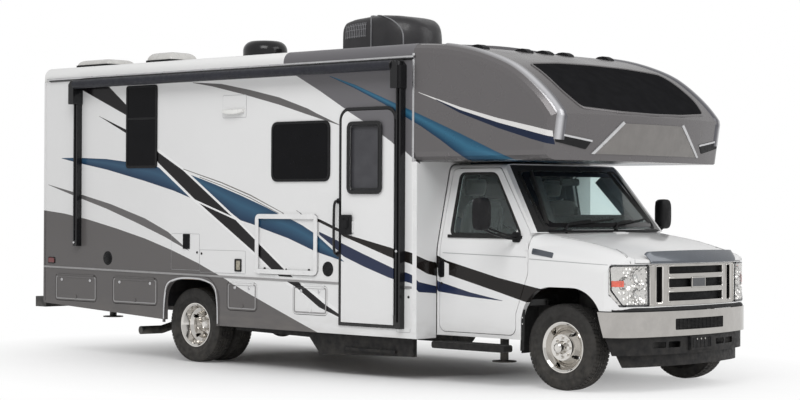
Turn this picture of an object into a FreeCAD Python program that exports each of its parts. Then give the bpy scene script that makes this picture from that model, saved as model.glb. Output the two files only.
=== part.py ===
import FreeCAD, Part
import math
import os

# A class C motorhome on a cutaway van chassis, in millimetres.
# +X is forward, +Y is the driver's (left) side, +Z is up.
# The origin is on the ground, midway along the vehicle's length and width.

V = FreeCAD.Vector
os.makedirs("parts", exist_ok=True)

# Overall places
total_length = 7820.0
front_overhang = 760.0
wheelbase = 4470.0
front_axle_x = total_length / 2 - front_overhang
rear_axle_x = front_axle_x - wheelbase
seat_gap = 0.3            # between pieces that rest on each other
panel_gap = 6.0           # round a door, lid or hood
overrun = 60.0            # how far a cutting shape passes the piece it cuts

# Coach box
coach_half_width = 1270.0
coach_rear_overhang = 2410.0
coach_front_setback = 1420.0
coach_rear_x = rear_axle_x - coach_rear_overhang
coach_front_x = front_axle_x - coach_front_setback
wall_thickness = 40.0
wall_top_z = 2900.0
floor_top_z = 885.0
floor_thickness = 60.0
skirt_low_z = 385.0
skirt_rear_rise = 125.0
skirt_thickness = 40.0
roof_edge_radius = 105.0
roof_edge_drop = 50.0
roof_crown_z = 3085.0
roof_panel_thickness = 70.0
cap_joint_setback = 50.0  # the cap's rear joint lies behind the coach's front wall
cap_joint_x = coach_front_x - cap_joint_setback

# Wheels and tyres, 225/75R16
tyre_radius = 372.0
tyre_width = 223.0
tyre_tread_width = 176.0
tyre_bead_radius = 203.0
tyre_bead_width = 152.0
tyre_shoulder_radius = 26.0
rim_lip_radius = 219.0
rim_thickness = 8.0
rim_drop_radius = 178.0
rim_lip_width = 12.0
disc_offset = 118.0       # the disc's mounting face from the rim's middle plane
disc_thickness = 14.0
disc_radius = 150.0
hub_flange_radius = 112.0
hub_cap_radius = 62.0
hub_cap_length = 62.0
lug_circle_radius = 82.5
lug_radius = 15.0
lug_length = 26.0
lug_count = 8
hand_hole_radius = 19.0
hand_hole_circle_radius = 138.0
hand_hole_count = 4
front_track = 1763.0
dual_track = 1980.0
dual_spacing = 256.0

# Steering and front suspension
kingpin_inset = 62.0      # kingpin inboard of the tyre's middle
kingpin_radius = 24.0
kingpin_height = 230.0
knuckle_thickness = 46.0
spindle_radius = 30.0
beam_height = 92.0
beam_thickness = 44.0
beam_split = 34.0         # half of the gap between the two beams, along X
beam_pivot_y = 250.0
spring_coil_radius = 62.0
spring_wire = 15.0
spring_turns = 6
radius_arm_width = 46.0
radius_arm_length = 880.0
spring_y = 600.0

# Rear axle
axle_tube_radius = 52.0
diff_radius = 172.0
diff_length = 190.0
leaf_y = 520.0
leaf_width = 76.0
leaf_pack_height = 62.0
leaf_half_length = 700.0
leaf_camber = 96.0

# Ladder frame
rail_y = 432.0            # outer face of each rail
rail_height = 178.0
rail_flange = 70.0
rail_wall = 8.0
rail_front_setback = 250.0
rail_rear_setback = 240.0
rail_top_z = 690.0
crossmember_size = 90.0
crossmember_shares = (0.03, 0.16, 0.30, 0.46, 0.62, 0.78, 0.97)
joist_width = 60.0
joist_shares = (0.0165, 0.189, 0.3535, 0.518, 0.665, 0.775, 0.958)
body_mount_radius = 42.0
body_mount_shares = (0.08, 0.5, 0.92)

# Hitch receiver, 2 inch
hitch_outer = 63.5
hitch_inner = 51.0
hitch_length = 330.0
hitch_z = 420.0
hitch_pin_radius = 8.2
hitch_pin_setback = 60.0

# Engine, gearbox and shaft
engine_length = 680.0
engine_width = 480.0
engine_height = 560.0
engine_low_z = 440.0
engine_front_gap = 90.0   # from the engine's front back to the front axle
gearbox_length = 720.0
gearbox_radius = 130.0
gearbox_z = 455.0
shaft_radius = 45.0

# Cab body
cab_half_width = 1000.0
cab_top_half_width = 815.0
cab_low_z = 415.0
cab_belt_z = 1190.0
cab_roof_z = 1955.0
cab_roof_radius = 90.0
cab_belt_radius = 500.0
cab_skin = 50.0
cab_floor_z = 762.0
cab_floor_thickness = 50.0
firewall_x = 2740.0
firewall_thickness = 40.0
engine_cover_half_width = 310.0
engine_cover_top_z = 1060.0
engine_cover_length = 420.0
engine_cover_wall = 20.0
glass_base_z = 1345.0
glass_base_centre_x = 2985.0
glass_base_side_x = 2850.0
glass_base_half_width = 850.0
glass_lean = 0.82         # how far the windshield leans back for each unit of height
nose_rear_x = 2788.0
nose_length = 1112.0
nose_side_drop = 190.0
nose_shoulder_drop = 260.0
nose_shoulder_half_width = 960.0
nose_narrowing = 160.0
# each section: along the nose, drop of the side's top, drop of the shoulder, narrowing at the shoulder
nose_section_shares = ((0.0, 0.0, 0.0, 0.0), (0.487, 0.421, 0.319, 0.688), (0.82, 0.737, 0.692, 0.812),
    (1.0, 1.0, 1.0, 1.0))
nose_crown = 34.0
nose_side_radius = 150.0
nose_shoulder_radius = 170.0
nose_crown_radius = 4000.0
nose_front_x = 3880.0
# plan outline of the nose, each as (share of the nose's depth, share of the half width)
nose_plan_depth = 380.0
nose_plan_shares = ((0.0, 1.0), (0.37, 0.985), (0.56, 0.925), (0.70, 0.82), (0.825, 0.65), (0.953, 0.33),
    (1.0, 0.0))

# Front wheel arch
front_arch_half_width = 440.0
front_arch_top_z = 885.0
front_arch_radius = 330.0
front_liner_radius = 446.0
front_liner_thickness = 6.0
front_liner_inner_y = 705.0
front_fender_low_z = 700.0

# Hood
hood_rear_x = 3035.0
hood_half_width = 790.0
hood_corner_radius = 90.0
hood_front_z = 1104.0
hood_hinge_radius = 4.0
hood_hinge_length = 180.0
deflector_half_width = 640.0
deflector_top_z = 1212.0
deflector_thickness = 8.0

# Front end
grille_half_width = 640.0
grille_low_z = 735.0
grille_top_z = 1092.0
grille_depth = 46.0
grille_border = 46.0
grille_side_slot = 84.0
grille_post = 70.0
grille_bar = 44.0
grille_slot_count = 3
grille_backing_thickness = 5.0
badge_half_width = 84.0
badge_half_height = 40.0
badge_depth = 12.0
lamp_low_z = 735.0
lamp_top_z = 1092.0
lamp_outer_x = 3640.0
lamp_cut = 150.0
lamp_depth = 70.0
bumper_low_z = 478.0
bumper_top_z = 692.0
bumper_front_x = 3910.0
bumper_side_x = 3540.0
bumper_end_slant = 65.0
dam_end_slant = 85.0
bumper_half_width = 1005.0
bumper_wall = 10.0
bumper_slot_half_width = 360.0
bumper_slot_low_z = 530.0
bumper_slot_height = 96.0
dam_low_z = 222.0
dam_step_z = 335.0
dam_step = 34.0
dam_setback = 22.0
dam_slot_width = 150.0
dam_slot_height = 52.0
dam_slot_shares = (-0.52, -0.34, 0.34, 0.52)
plate_bracket_width = 320.0
plate_bracket_height = 130.0
plate_bracket_thickness = 14.0
plate_hole_spacing = 178.0
plate_hole_radius = 3.6

# Cab doors
door_rear_x = 1770.0
door_front_x = 2784.0
door_heel_x = 2650.0
door_heel_z = 640.0
door_low_z = 452.0
door_top_z = 1915.0
door_top_front_x = 2335.0
door_belt_front_z = 1345.0
door_corner_radius = 70.0
door_frame = 98.0
door_window_low_z = 1319.0
door_header = 44.0
door_window_radius = 60.0
door_hinge_radius = 4.0
door_hinge_length = 70.0
door_hinge_shares = (1.4, 2.9)
glass_thickness = 6.0
glass_inset = 8.0

# Cab interior
seat_width = 480.0
seat_depth = 500.0
seat_y = 560.0
seat_top_z = 1105.0
seat_cushion_thickness = 150.0
seat_back_height = 540.0
seat_back_thickness = 130.0
seat_back_lean = 110.0
seat_rear_x = 1905.0
seat_pedestal = 260.0
headrest_height = 190.0
headrest_width = 280.0
dash_depth = 330.0
dash_top_z = 1290.0
dash_low_z = 930.0
dash_radius = 90.0
dash_half_width = 885.0
wheel_rim_radius = 190.0
wheel_rim_wire = 15.0
wheel_rim_sides = 10
wheel_x = 2330.0
wheel_z = 1290.0
wheel_tilt = 55.0
column_radius = 26.0

# Windshield opening
shield_low_z = 1372.0
shield_top_z = 1898.0
shield_low_half_width = 835.0
shield_top_half_width = 735.0
shield_radius = 70.0

# Mirrors
mirror_reach = 1430.0
mirror_width = 175.0
mirror_height = 290.0
mirror_depth = 85.0
mirror_low_z = 1368.0
mirror_x = 2455.0
mirror_arm_radius = 16.0
mirror_base_x = 2640.0
mirror_base_length = 90.0
mirror_base_height = 70.0
mirror_base_thickness = 40.0

# Front cap over the cab
cap_low_z = 1972.0
cap_corner_x = 3268.0
cap_corner_z = 2365.0
cap_nose_bulge = 150.0
cap_chin_setback = 60.0
cap_floor_thickness = 60.0
cap_wall = 45.0
cap_shoulder_radius = 85.0
cap_shoulder_steps = 4
cap_nose_inset_share = 0.7
cap_corner_inset_share = 0.45
cap_width_shares = (-1.0, -0.7, -0.35, 0.0, 0.35, 0.7, 1.0)
# roof line of the cap, each as (share of the way to the corner, share of the drop)
cap_roof_shares = ((0.0, 0.0), (0.20, 0.03), (0.40, 0.115), (0.555, 0.225), (0.71, 0.385), (0.83, 0.585),
    (0.93, 0.80), (1.0, 1.0))
cap_top_z = 3030.0

# Entry door
entry_rear_x = 790.0
entry_front_x = 1462.0
entry_low_z = 492.0
entry_top_z = 2452.0
entry_radius = 95.0
entry_frame_width = 26.0
entry_frame_proud = 14.0
entry_thickness = 38.0
entry_window_rear = 112.0
entry_window_front = 160.0
entry_window_low_z = 1702.0
entry_window_top_z = 2326.0
entry_window_radius = 55.0
entry_handle_length = 150.0
entry_handle_width = 105.0
entry_handle_z = 1325.0
well_depth = 420.0
well_wall = 12.0
well_step_z = 690.0

# Coach windows on the right wall
window_radius = 75.0
lounge_window_x = -143.0
lounge_window_width = 770.0
lounge_window_z = 1808.0
lounge_window_height = 552.0
tall_window_x = -2325.0
tall_window_width = 470.0
tall_window_z = 1957.0
tall_window_height = 830.0
window_thickness = 34.0
window_proud = 8.0
# and on the left and rear walls
galley_window_x = -900.0
galley_window_width = 760.0
galley_window_z = 1780.0
galley_window_height = 420.0
bedroom_window_x = -3200.0
bedroom_window_width = 620.0
dinette_window_x = 300.0
dinette_window_width = 1150.0
dinette_window_z = 1640.0
dinette_window_height = 720.0
rear_window_half_width = 460.0
rear_window_z = 1760.0
rear_window_height = 520.0

# Storage doors, right side from the rear, then the left side
bay_radius = 42.0
bay_thickness = 30.0
hinge_radius = 7.0
hinge_leaf = 26.0
bay_tub_depth = 430.0
bay_tub_wall = 12.0
bay_a_x = -3520.0
bay_a_width = 700.0
bay_b_x = -2549.0
bay_b_width = 710.0
bay_c_x = -779.0
bay_c_width = 422.0
bay_d_x = 147.0
bay_d_width = 458.0
bay_low_z = 548.0
bay_height = 270.0
locker_x = -365.0
locker_width = 846.0
locker_z = 916.0
locker_height = 572.0
locker_radius = 60.0
locker_depth = 520.0
left_bay_a_x = -3450.0
left_bay_a_width = 1050.0
left_bay_b_x = 250.0
left_bay_b_width = 900.0

# Rear wheel arch
rear_arch_half_width = 395.0
rear_arch_top_z = 835.0
rear_arch_radius = 235.0
arch_trim = 26.0
arch_trim_proud = 9.0

# Awning
awning_tube_radius = 44.0
awning_tube_y = 1378.0
awning_tube_z = 2838.0
awning_rear_x = -3110.0
awning_front_x = 1556.0
awning_arm_width = 60.0
awning_arm_depth = 66.0
awning_arm_low_z = 1130.0
awning_head_height = 210.0
awning_head_width = 84.0
awning_rail_height = 20.0
awning_rail_depth = 22.0
awning_rail_z = 2884.0

# Roof fittings
cooler_rear_x = -119.0
cooler_length = 1040.0
cooler_half_width = 360.0
cooler_top_z = 3452.0
cooler_tail = 250.0
cooler_radius = 150.0
cooler_fin_count = 9
cooler_fin_gap = 11.0
skylight_x = -3480.0
skylight_length = 720.0
skylight_width = 440.0
skylight_y = -860.0
skylight_height = 92.0
vent_size = 420.0
vent_height = 110.0
vent_y = -520.0
vent_x = -2420.0
fan_x = -340.0
antenna_x = -1010.0
antenna_y = -560.0
antenna_radius = 225.0
antenna_height = 150.0
marker_x = 2085.0
marker_length = 130.0
marker_width = 46.0
marker_height = 40.0
marker_centre_y = 235.0
marker_outer_y = 930.0

# Rear end
rear_bumper_height = 110.0
rear_bumper_z = 515.0
rear_bumper_half_width = 1240.0
ladder_y = 830.0
ladder_width = 330.0
ladder_tube_radius = 14.0
ladder_standoff = 110.0
ladder_low_z = 1000.0
ladder_rung_pitch = 290.0
ladder_top_reach = 260.0
tail_lamp_width = 150.0
tail_lamp_height = 230.0
tail_lamp_z = 960.0
tail_lamp_y = 1120.0
tail_lamp_thickness = 26.0

# Under the floor
tank_drop = 240.0
fuel_tank_x = -3300.0
fuel_tank_length = 950.0
waste_tank_x = 300.0
waste_tank_length = 850.0
waste_tank_width = 300.0
gas_tank_x = -560.0
gas_tank_length = 620.0
gas_tank_radius = 140.0
tank_radius = 50.0
exhaust_radius = 42.0
exhaust_z = 400.0
exhaust_y = -310.0
exhaust_end_x = -2235.0
exhaust_end_y = -1120.0
exhaust_end_z = 270.0
exhaust_start_x = 2300.0
silencer_radius = 110.0
silencer_length = 620.0
silencer_x = 900.0
jack_radius = 38.0
jack_foot_radius = 110.0
jack_foot_thickness = 10.0
jack_front_x = 2120.0
jack_rear_x = -3480.0
jack_front_z = 165.0
jack_rear_z = 335.0
jack_y = 510.0

# Steps
board_rear_x = 1798.0
board_front_x = 2640.0
board_y = 1085.0
board_width = 118.0
board_low_z = 305.0
board_height = 62.0
board_bracket = 50.0
step_rear_x = 800.0
step_front_x = 1430.0
step_z = 262.0
step_tread = 26.0
step_depth = 240.0
step_side = 8.0

# Fixed fittings on the walls
hatch_proud = 6.0
grab_handle_radius = 13.0
grab_handle_reach = 62.0
grab_handle_low_z = 1126.0
grab_handle_top_z = 1616.0
grab_handle_x = 742.0
flap_radius = 70.0
hatch_a_x = -1618.0
hatch_a_width = 424.0
hatch_a_z = 925.0
hatch_a_height = 356.0
hatch_b_x = -1187.0
hatch_b_width = 665.0
hatch_b_z = 906.0
hatch_b_height = 219.0
hood_vent_x = -854.0
hood_vent_width = 334.0
hood_vent_z = 2430.0
hood_vent_height = 216.0
speaker_x = 612.0
speaker_z = 982.0
filler_x = -2635.0
filler_z = 1012.0


# Basic shapes

def box(x0, x1, y0, y1, z0, z1):
    """A block between two corners, given in any order."""
    xs, ys, zs = sorted((x0, x1)), sorted((y0, y1)), sorted((z0, z1))
    return Part.makeBox(xs[1] - xs[0], ys[1] - ys[0], zs[1] - zs[0], V(xs[0], ys[0], zs[0]))


def mirrored(shape):
    """The same piece on the other side of the vehicle."""
    return shape.mirror(V(0, 0, 0), V(0, 1, 0))


def both_sides(shape):
    return Part.makeCompound([shape, mirrored(shape)])


def together(*shapes):
    """Separate solids of one kind, kept as one sub-part."""
    return Part.makeCompound([solid for shape in shapes for solid in shape.Solids])


def fused(shapes):
    """One solid out of pieces that touch or overlap."""
    whole = shapes[0].multiFuse(list(shapes[1:])) if len(shapes) > 1 else shapes[0]
    return whole.removeSplitter()


def rounded_wire(points, radii, place):
    """A closed outline of flat points, each corner rounded by its own radius; place turns (u, v) into a point."""
    count = len(points)
    starts, ends, middles = [], [], []
    for i, (u, v) in enumerate(points):
        here = V(u, v, 0)
        back = V(points[i - 1][0], points[i - 1][1], 0) - here
        on = V(points[(i + 1) % count][0], points[(i + 1) % count][1], 0) - here
        back.normalize()
        on.normalize()
        radius = radii[i]
        half = back.getAngle(on) / 2
        if radius <= 0 or half > math.pi / 2 * 0.9999:
            starts.append(here)
            ends.append(here)
            middles.append(None)
            continue
        reach = radius / math.tan(half)
        toward = back + on
        toward.normalize()
        starts.append(here + back * reach)
        ends.append(here + on * reach)
        middles.append(here + toward * (radius / math.sin(half) - radius))
    edges = []
    for i in range(count):
        a, b = starts[i], ends[i]
        if middles[i] is not None:
            m = middles[i]
            edges.append(Part.Arc(place(a.x, a.y), place(m.x, m.y), place(b.x, b.y)).toShape())
        c = starts[(i + 1) % count]
        if (c - b).Length > 1e-6:
            edges.append(Part.LineSegment(place(b.x, b.y), place(c.x, c.y)).toShape())
    return Part.Wire(edges)


def radii_for(points, radius):
    return [radius] * len(points)


def prism_xz(points, radii, y0, y1):
    """An outline seen from the side, given depth across the vehicle."""
    wire = rounded_wire(points, radii, lambda u, v: V(u, y0, v))
    return Part.Face(wire).extrude(V(0, y1 - y0, 0))


def prism_xy(points, radii, z0, z1):
    wire = rounded_wire(points, radii, lambda u, v: V(u, v, z0))
    return Part.Face(wire).extrude(V(0, 0, z1 - z0))


def prism_yz(points, radii, x0, x1):
    wire = rounded_wire(points, radii, lambda u, v: V(x0, u, v))
    return Part.Face(wire).extrude(V(x1 - x0, 0, 0))


def corners(u0, u1, v0, v1):
    return [(u0, v0), (u1, v0), (u1, v1), (u0, v1)]


def pane_xz(x0, x1, z0, z1, radius, y0, y1):
    """A rectangle with round corners on a side wall."""
    points = corners(x0, x1, z0, z1)
    return prism_xz(points, radii_for(points, radius), y0, y1)


def rod(start, end, radius):
    way = end - start
    return Part.makeCylinder(radius, way.Length, start, way)


def turned_y(profile, centre):
    """A profile of (radius, across) points turned about an axis that runs across the vehicle."""
    points = [V(centre.x + r, centre.y + w, centre.z) for r, w in profile]
    face = Part.Face(Part.makePolygon(points + [points[0]]))
    return face.revolve(centre, V(0, 1, 0), 360)


def bent_tube(points, radius, bend):
    """A round tube along straight runs joined by tangent arcs."""
    edges = []
    at = points[0]
    for i in range(1, len(points) - 1):
        here = points[i]
        back, on = points[i - 1] - here, points[i + 1] - here
        back.normalize()
        on.normalize()
        half = back.getAngle(on) / 2
        reach = bend / math.tan(half)
        toward = back + on
        toward.normalize()
        a, b = here + back * reach, here + on * reach
        m = here + toward * (bend / math.sin(half) - bend)
        edges.append(Part.LineSegment(at, a).toShape())
        edges.append(Part.Arc(a, m, b).toShape())
        at = b
    edges.append(Part.LineSegment(at, points[-1]).toShape())
    path = Part.Wire(edges)
    section = Part.Wire([Part.makeCircle(radius, points[0], points[1] - points[0])])
    return path.makePipeShell([section], True, False)


# Wheels

def tyre(centre):
    half, tread, bead = tyre_width / 2, tyre_tread_width / 2, tyre_bead_width / 2
    wall_radius = (tyre_radius + tyre_bead_radius) / 2
    outline = [
        (tyre_bead_radius, -bead), (rim_lip_radius + seat_gap, -bead), (wall_radius - tyre_shoulder_radius,
            -half), (wall_radius + tyre_shoulder_radius, -half),
        (tyre_radius - tyre_shoulder_radius, -tread - tyre_shoulder_radius / 2), (tyre_radius, -tread),
        (tyre_radius, tread), (tyre_radius - tyre_shoulder_radius, tread + tyre_shoulder_radius / 2),
        (wall_radius + tyre_shoulder_radius, half), (wall_radius - tyre_shoulder_radius, half),
        (rim_lip_radius + seat_gap, bead), (tyre_bead_radius, bead),
    ]
    return turned_y(outline, centre)


def rim(centre, side, face_out):
    """A dual wheel's rim and disc. face_out is 1 where the disc bulges away from the vehicle, and -1 where it is dished."""
    half = tyre_bead_width / 2
    out = side * face_out
    barrel_radius = tyre_bead_radius - seat_gap
    barrel = [
        (rim_lip_radius, -half - rim_lip_width), (rim_lip_radius, -half - seat_gap), (barrel_radius,
            -half - seat_gap),
        (rim_drop_radius, -half / 3), (rim_drop_radius, half / 3), (barrel_radius, half + seat_gap),
        (rim_lip_radius, half + seat_gap), (rim_lip_radius, half + rim_lip_width),
        (rim_lip_radius - rim_thickness, half + rim_lip_width), (barrel_radius - rim_thickness, half),
        (rim_drop_radius - rim_thickness, half / 3), (rim_drop_radius - rim_thickness, -half / 3),
        (barrel_radius - rim_thickness, -half), (rim_lip_radius - rim_thickness, -half - rim_lip_width),
    ]
    face = disc_offset - disc_thickness
    disc = [
        (0, out * face), (hub_flange_radius, out * face), (disc_radius,
            out * (half / 3)), (rim_drop_radius - rim_thickness / 2, 0),
        (rim_drop_radius - rim_thickness / 2, out * -disc_thickness), (disc_radius - disc_thickness,
            out * (half / 3 - disc_thickness)),
        (hub_flange_radius - disc_thickness, out * (face - disc_thickness)), (0,
            out * (face - disc_thickness)),
    ]
    whole = fused([turned_y(barrel, centre), turned_y(disc, centre)])
    holes = []
    for i in range(hand_hole_count):
        turn = 2 * math.pi * (i + 0.6) / hand_hole_count
        at = centre + V(hand_hole_circle_radius * math.cos(turn), 0,
            hand_hole_circle_radius * math.sin(turn))
        holes.append(rod(at - V(0, tyre_width, 0), at + V(0, tyre_width, 0), hand_hole_radius))
    return whole.cut(Part.makeCompound(holes))


def hub(centre, side, face_out):
    """The hub cap and the ring of nuts on the disc's outer face."""
    out = side * face_out
    face = out * (disc_offset - disc_thickness)
    start = centre + V(0, face - out * disc_thickness / 2, 0)
    cap_tip = hub_cap_radius * 2 / 3
    tip = start + V(0, side * hub_cap_length, 0)
    pieces = [
        Part.makeCone(hub_cap_radius, cap_tip, hub_cap_length, start, V(0, side, 0)),
        Part.makeCone(cap_tip, cap_tip * 2 / 3, cap_tip / 4, tip, V(0, side, 0)),
    ]
    for i in range(lug_count):
        turn = 2 * math.pi * i / lug_count
        at = start + V(lug_circle_radius * math.cos(turn), 0, lug_circle_radius * math.sin(turn))
        pieces.append(rod(at, at + V(0, side * lug_length, 0), lug_radius))
    return fused(pieces)


def front_wheel(side):
    centre = V(front_axle_x, side * front_track / 2, tyre_radius)
    body = fused([rim(centre, side, 1), hub(centre, side, 1)])
    return tyre(centre), body


def rear_wheels(side):
    """Twin wheels: the outer one dished, the inner one facing out, bolted disc to disc."""
    middle = side * dual_track / 2
    outer = V(rear_axle_x, middle + side * dual_spacing / 2, tyre_radius)
    inner = V(rear_axle_x, middle - side * dual_spacing / 2, tyre_radius)
    tyres = Part.makeCompound([tyre(outer), tyre(inner)])
    reach = dual_spacing / 2 - (disc_offset - disc_thickness)
    spacer = rod(inner + V(0, side * (disc_offset - disc_thickness * 2), 0),
                 inner + V(0, side * (disc_offset - disc_thickness + 2 * reach + disc_thickness),
                     0), hub_flange_radius)
    rims = fused([rim(outer, side, -1), rim(inner, side, 1), hub(outer, side, -1), spacer])
    return tyres, rims


# Steering and axles

def kingpin_point(side):
    return V(front_axle_x, side * (front_track / 2 - kingpin_inset), tyre_radius)


def knuckle(side):
    """The steered knuckle: its barrel on the kingpin, its arms and the spindle that carries the wheel."""
    pin = kingpin_point(side)
    low = pin - V(0, 0, kingpin_height / 2)
    bore = rod(low, low + V(0, 0, kingpin_height), kingpin_radius + seat_gap)
    ear = kingpin_height / 4
    barrels = [
        rod(low, low + V(0, 0, ear), knuckle_thickness),
        rod(low + V(0, 0, kingpin_height - ear), low + V(0, 0, kingpin_height), knuckle_thickness),
    ]
    web_y = pin.y + side * (knuckle_thickness + panel_gap)
    half = knuckle_thickness * 2 / 3
    web = box(pin.x - half, pin.x + half, web_y, web_y + side * disc_thickness * 2, low.z,
        low.z + kingpin_height)
    for z in (low.z, low.z + kingpin_height - ear):
        barrels.append(box(pin.x - half, pin.x + half, pin.y, web_y + side * disc_thickness, z, z + ear))
    tip = side * (front_track / 2 + disc_offset - disc_thickness * 2 - seat_gap)
    spindle = rod(V(pin.x, web_y, pin.z), V(pin.x, tip, pin.z), spindle_radius)
    arm_end = V(pin.x - tyre_radius / 2, pin.y - side * knuckle_thickness * 2, low.z + ear / 2)
    arm = rod(low + V(0, 0, ear / 2), arm_end, ear / 3)
    return fused(barrels + [web, spindle, arm]).cut(bore)


def beam(side):
    """One of the twin beams: from its pivot past the middle out to the kingpin."""
    pin = kingpin_point(side)
    eye = kingpin_height / 2 - 2 * seat_gap - kingpin_height / 4
    shift = side * beam_split
    x0, x1 = front_axle_x + shift - beam_thickness / 2, front_axle_x + shift + beam_thickness / 2
    end_y = pin.y
    low = tyre_radius - beam_height / 2
    outline = [
        (-side * beam_pivot_y, low + beam_height), (-side * beam_pivot_y, low + beam_height / 3),
        (side * beam_pivot_y, low - beam_height / 3), (end_y, low), (end_y,
            low + beam_height), (side * beam_pivot_y, low + beam_height * 2 / 3),
    ]
    wire = Part.makePolygon([V(x0, y, z) for y, z in outline + [outline[0]]])
    bar = Part.Face(wire).extrude(V(x1 - x0, 0, 0))
    kingpin = rod(pin - V(0, 0, kingpin_height / 2), pin + V(0, 0, kingpin_height / 2), kingpin_radius)
    head = rod(pin - V(0, 0, eye), pin + V(0, 0, eye), knuckle_thickness - seat_gap)
    return fused([bar, head, kingpin])


def coil_spring(side, low_z, high_z):
    """The front spring, drawn as stacked turns."""
    y = side * spring_y
    turns = []
    pitch = (high_z - low_z) / spring_turns
    for i in range(spring_turns):
        start = V(front_axle_x, y, low_z + (i + 1 / 2) * pitch)
        turns.append(rod(start, start + V(0, 0, spring_wire), spring_coil_radius + spring_wire))
    post = rod(V(front_axle_x, y, low_z), V(front_axle_x, y, high_z), spring_coil_radius - spring_wire / 3)
    return fused([post] + turns)


def front_suspension():
    """Twin beams, radius arms and springs. The frame carries them at the beams' inner pivots and the springs' towers."""
    pieces = []
    low, top = rail_top_z - rail_height, rail_top_z - rail_height / 3
    for side in (1, -1):
        y = side * spring_y
        seat_z = tyre_radius + beam_height / 2
        spring = coil_spring(side, seat_z - beam_height / 4, top)
        arm_y = side * (rail_y - rail_flange / 2)
        hanger_x = front_axle_x - radius_arm_length
        half = radius_arm_width / 2
        arm = rod(V(front_axle_x + side * beam_split, y, tyre_radius), V(hanger_x, arm_y,
            tyre_radius + beam_height), half)
        hanger = box(hanger_x - half, hanger_x + half, arm_y - half, arm_y + half,
            tyre_radius + beam_height / 2, low - seat_gap)
        pad = rod(V(front_axle_x, y, seat_z - beam_height / 2), V(front_axle_x, y, seat_z),
            spring_coil_radius + spring_wire)
        tower = box(front_axle_x - spring_coil_radius, front_axle_x + spring_coil_radius,
            side * (rail_y + seat_gap), y + side * spring_coil_radius,
                    top, rail_top_z)
        pivot_x, pivot_y = beam_split * 2, -side * beam_pivot_y
        pivot = box(front_axle_x - pivot_x, front_axle_x + pivot_x, pivot_y - beam_thickness,
            pivot_y + beam_thickness,
                    tyre_radius, low + crossmember_size / 3)
        pieces += [beam(side), spring, arm, hanger, pad, tower, pivot]
    reach = rail_y - rail_wall - seat_gap
    cross_low = low + rail_wall + seat_gap
    cross = box(front_axle_x - beam_split * 2, front_axle_x + beam_split * 2, -reach, reach, cross_low,
        cross_low + crossmember_size / 2)
    return fused(pieces + [cross])


def rear_axle():
    """Axle tube, differential and leaf springs."""
    inner_hub = dual_track / 2 - dual_spacing / 2 - tyre_bead_width / 2
    tube = rod(V(rear_axle_x, -inner_hub, tyre_radius), V(rear_axle_x, inner_hub, tyre_radius),
        axle_tube_radius)
    ends = [rod(V(rear_axle_x, s * inner_hub, tyre_radius),
                V(rear_axle_x, s * (dual_track / 2 - dual_spacing / 2 + disc_offset - disc_thickness * 2
                    - seat_gap), tyre_radius), spindle_radius * 3 / 2)
            for s in (1, -1)]
    ball = Part.makeSphere(diff_radius, V(rear_axle_x, 0, tyre_radius)).common(
        box(rear_axle_x - diff_radius, rear_axle_x + diff_radius, -diff_length / 2, diff_length / 2, 0,
            tyre_radius * 2))
    snout = rod(V(rear_axle_x, 0, tyre_radius), V(rear_axle_x + diff_radius * 3 / 2, 0, tyre_radius),
        diff_radius / 2)
    pieces = [tube, ball, snout] + ends
    perch_z = tyre_radius + axle_tube_radius
    rail_low = rail_top_z - rail_height
    for side in (1, -1):
        y0, y1 = side * (leaf_y - leaf_width / 2), side * (leaf_y + leaf_width / 2)
        end_z = perch_z + leaf_camber
        for i in range(3):
            share = 1 - i / 4
            half = leaf_half_length * share
            step = leaf_pack_height / 3
            lift = leaf_camber * share * share
            low = perch_z + (2 - i) * step
            points = [V(rear_axle_x - half, y0, low + lift), V(rear_axle_x, y0, low), V(rear_axle_x + half,
                y0, low + lift)]
            upper = [p + V(0, 0, step) for p in points]
            edges = [Part.Arc(points[0], points[1], points[2]).toShape(), Part.LineSegment(points[2],
                upper[2]).toShape(),
                     Part.Arc(upper[2], upper[1], upper[0]).toShape(), Part.LineSegment(upper[0],
                         points[0]).toShape()]
            pieces.append(Part.Face(Part.Wire(edges)).extrude(V(0, y1 - y0, 0)))
        pieces.append(box(rear_axle_x - leaf_width, rear_axle_x + leaf_width, y0, y1, tyre_radius,
            perch_z + leaf_pack_height / 3))
        for end in (-1, 1):
            x = rear_axle_x + end * (leaf_half_length - leaf_width / 2)
            pieces.append(box(x - leaf_width / 2, x + leaf_width / 2, side * (rail_y + seat_gap), y1, end_z,
                rail_low + rail_height / 3))
    return fused(pieces)


# Frame and drive line

def rail_span():
    front = total_length / 2 - rail_front_setback
    rear = -total_length / 2 + rail_rear_setback
    return rear, front


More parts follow.
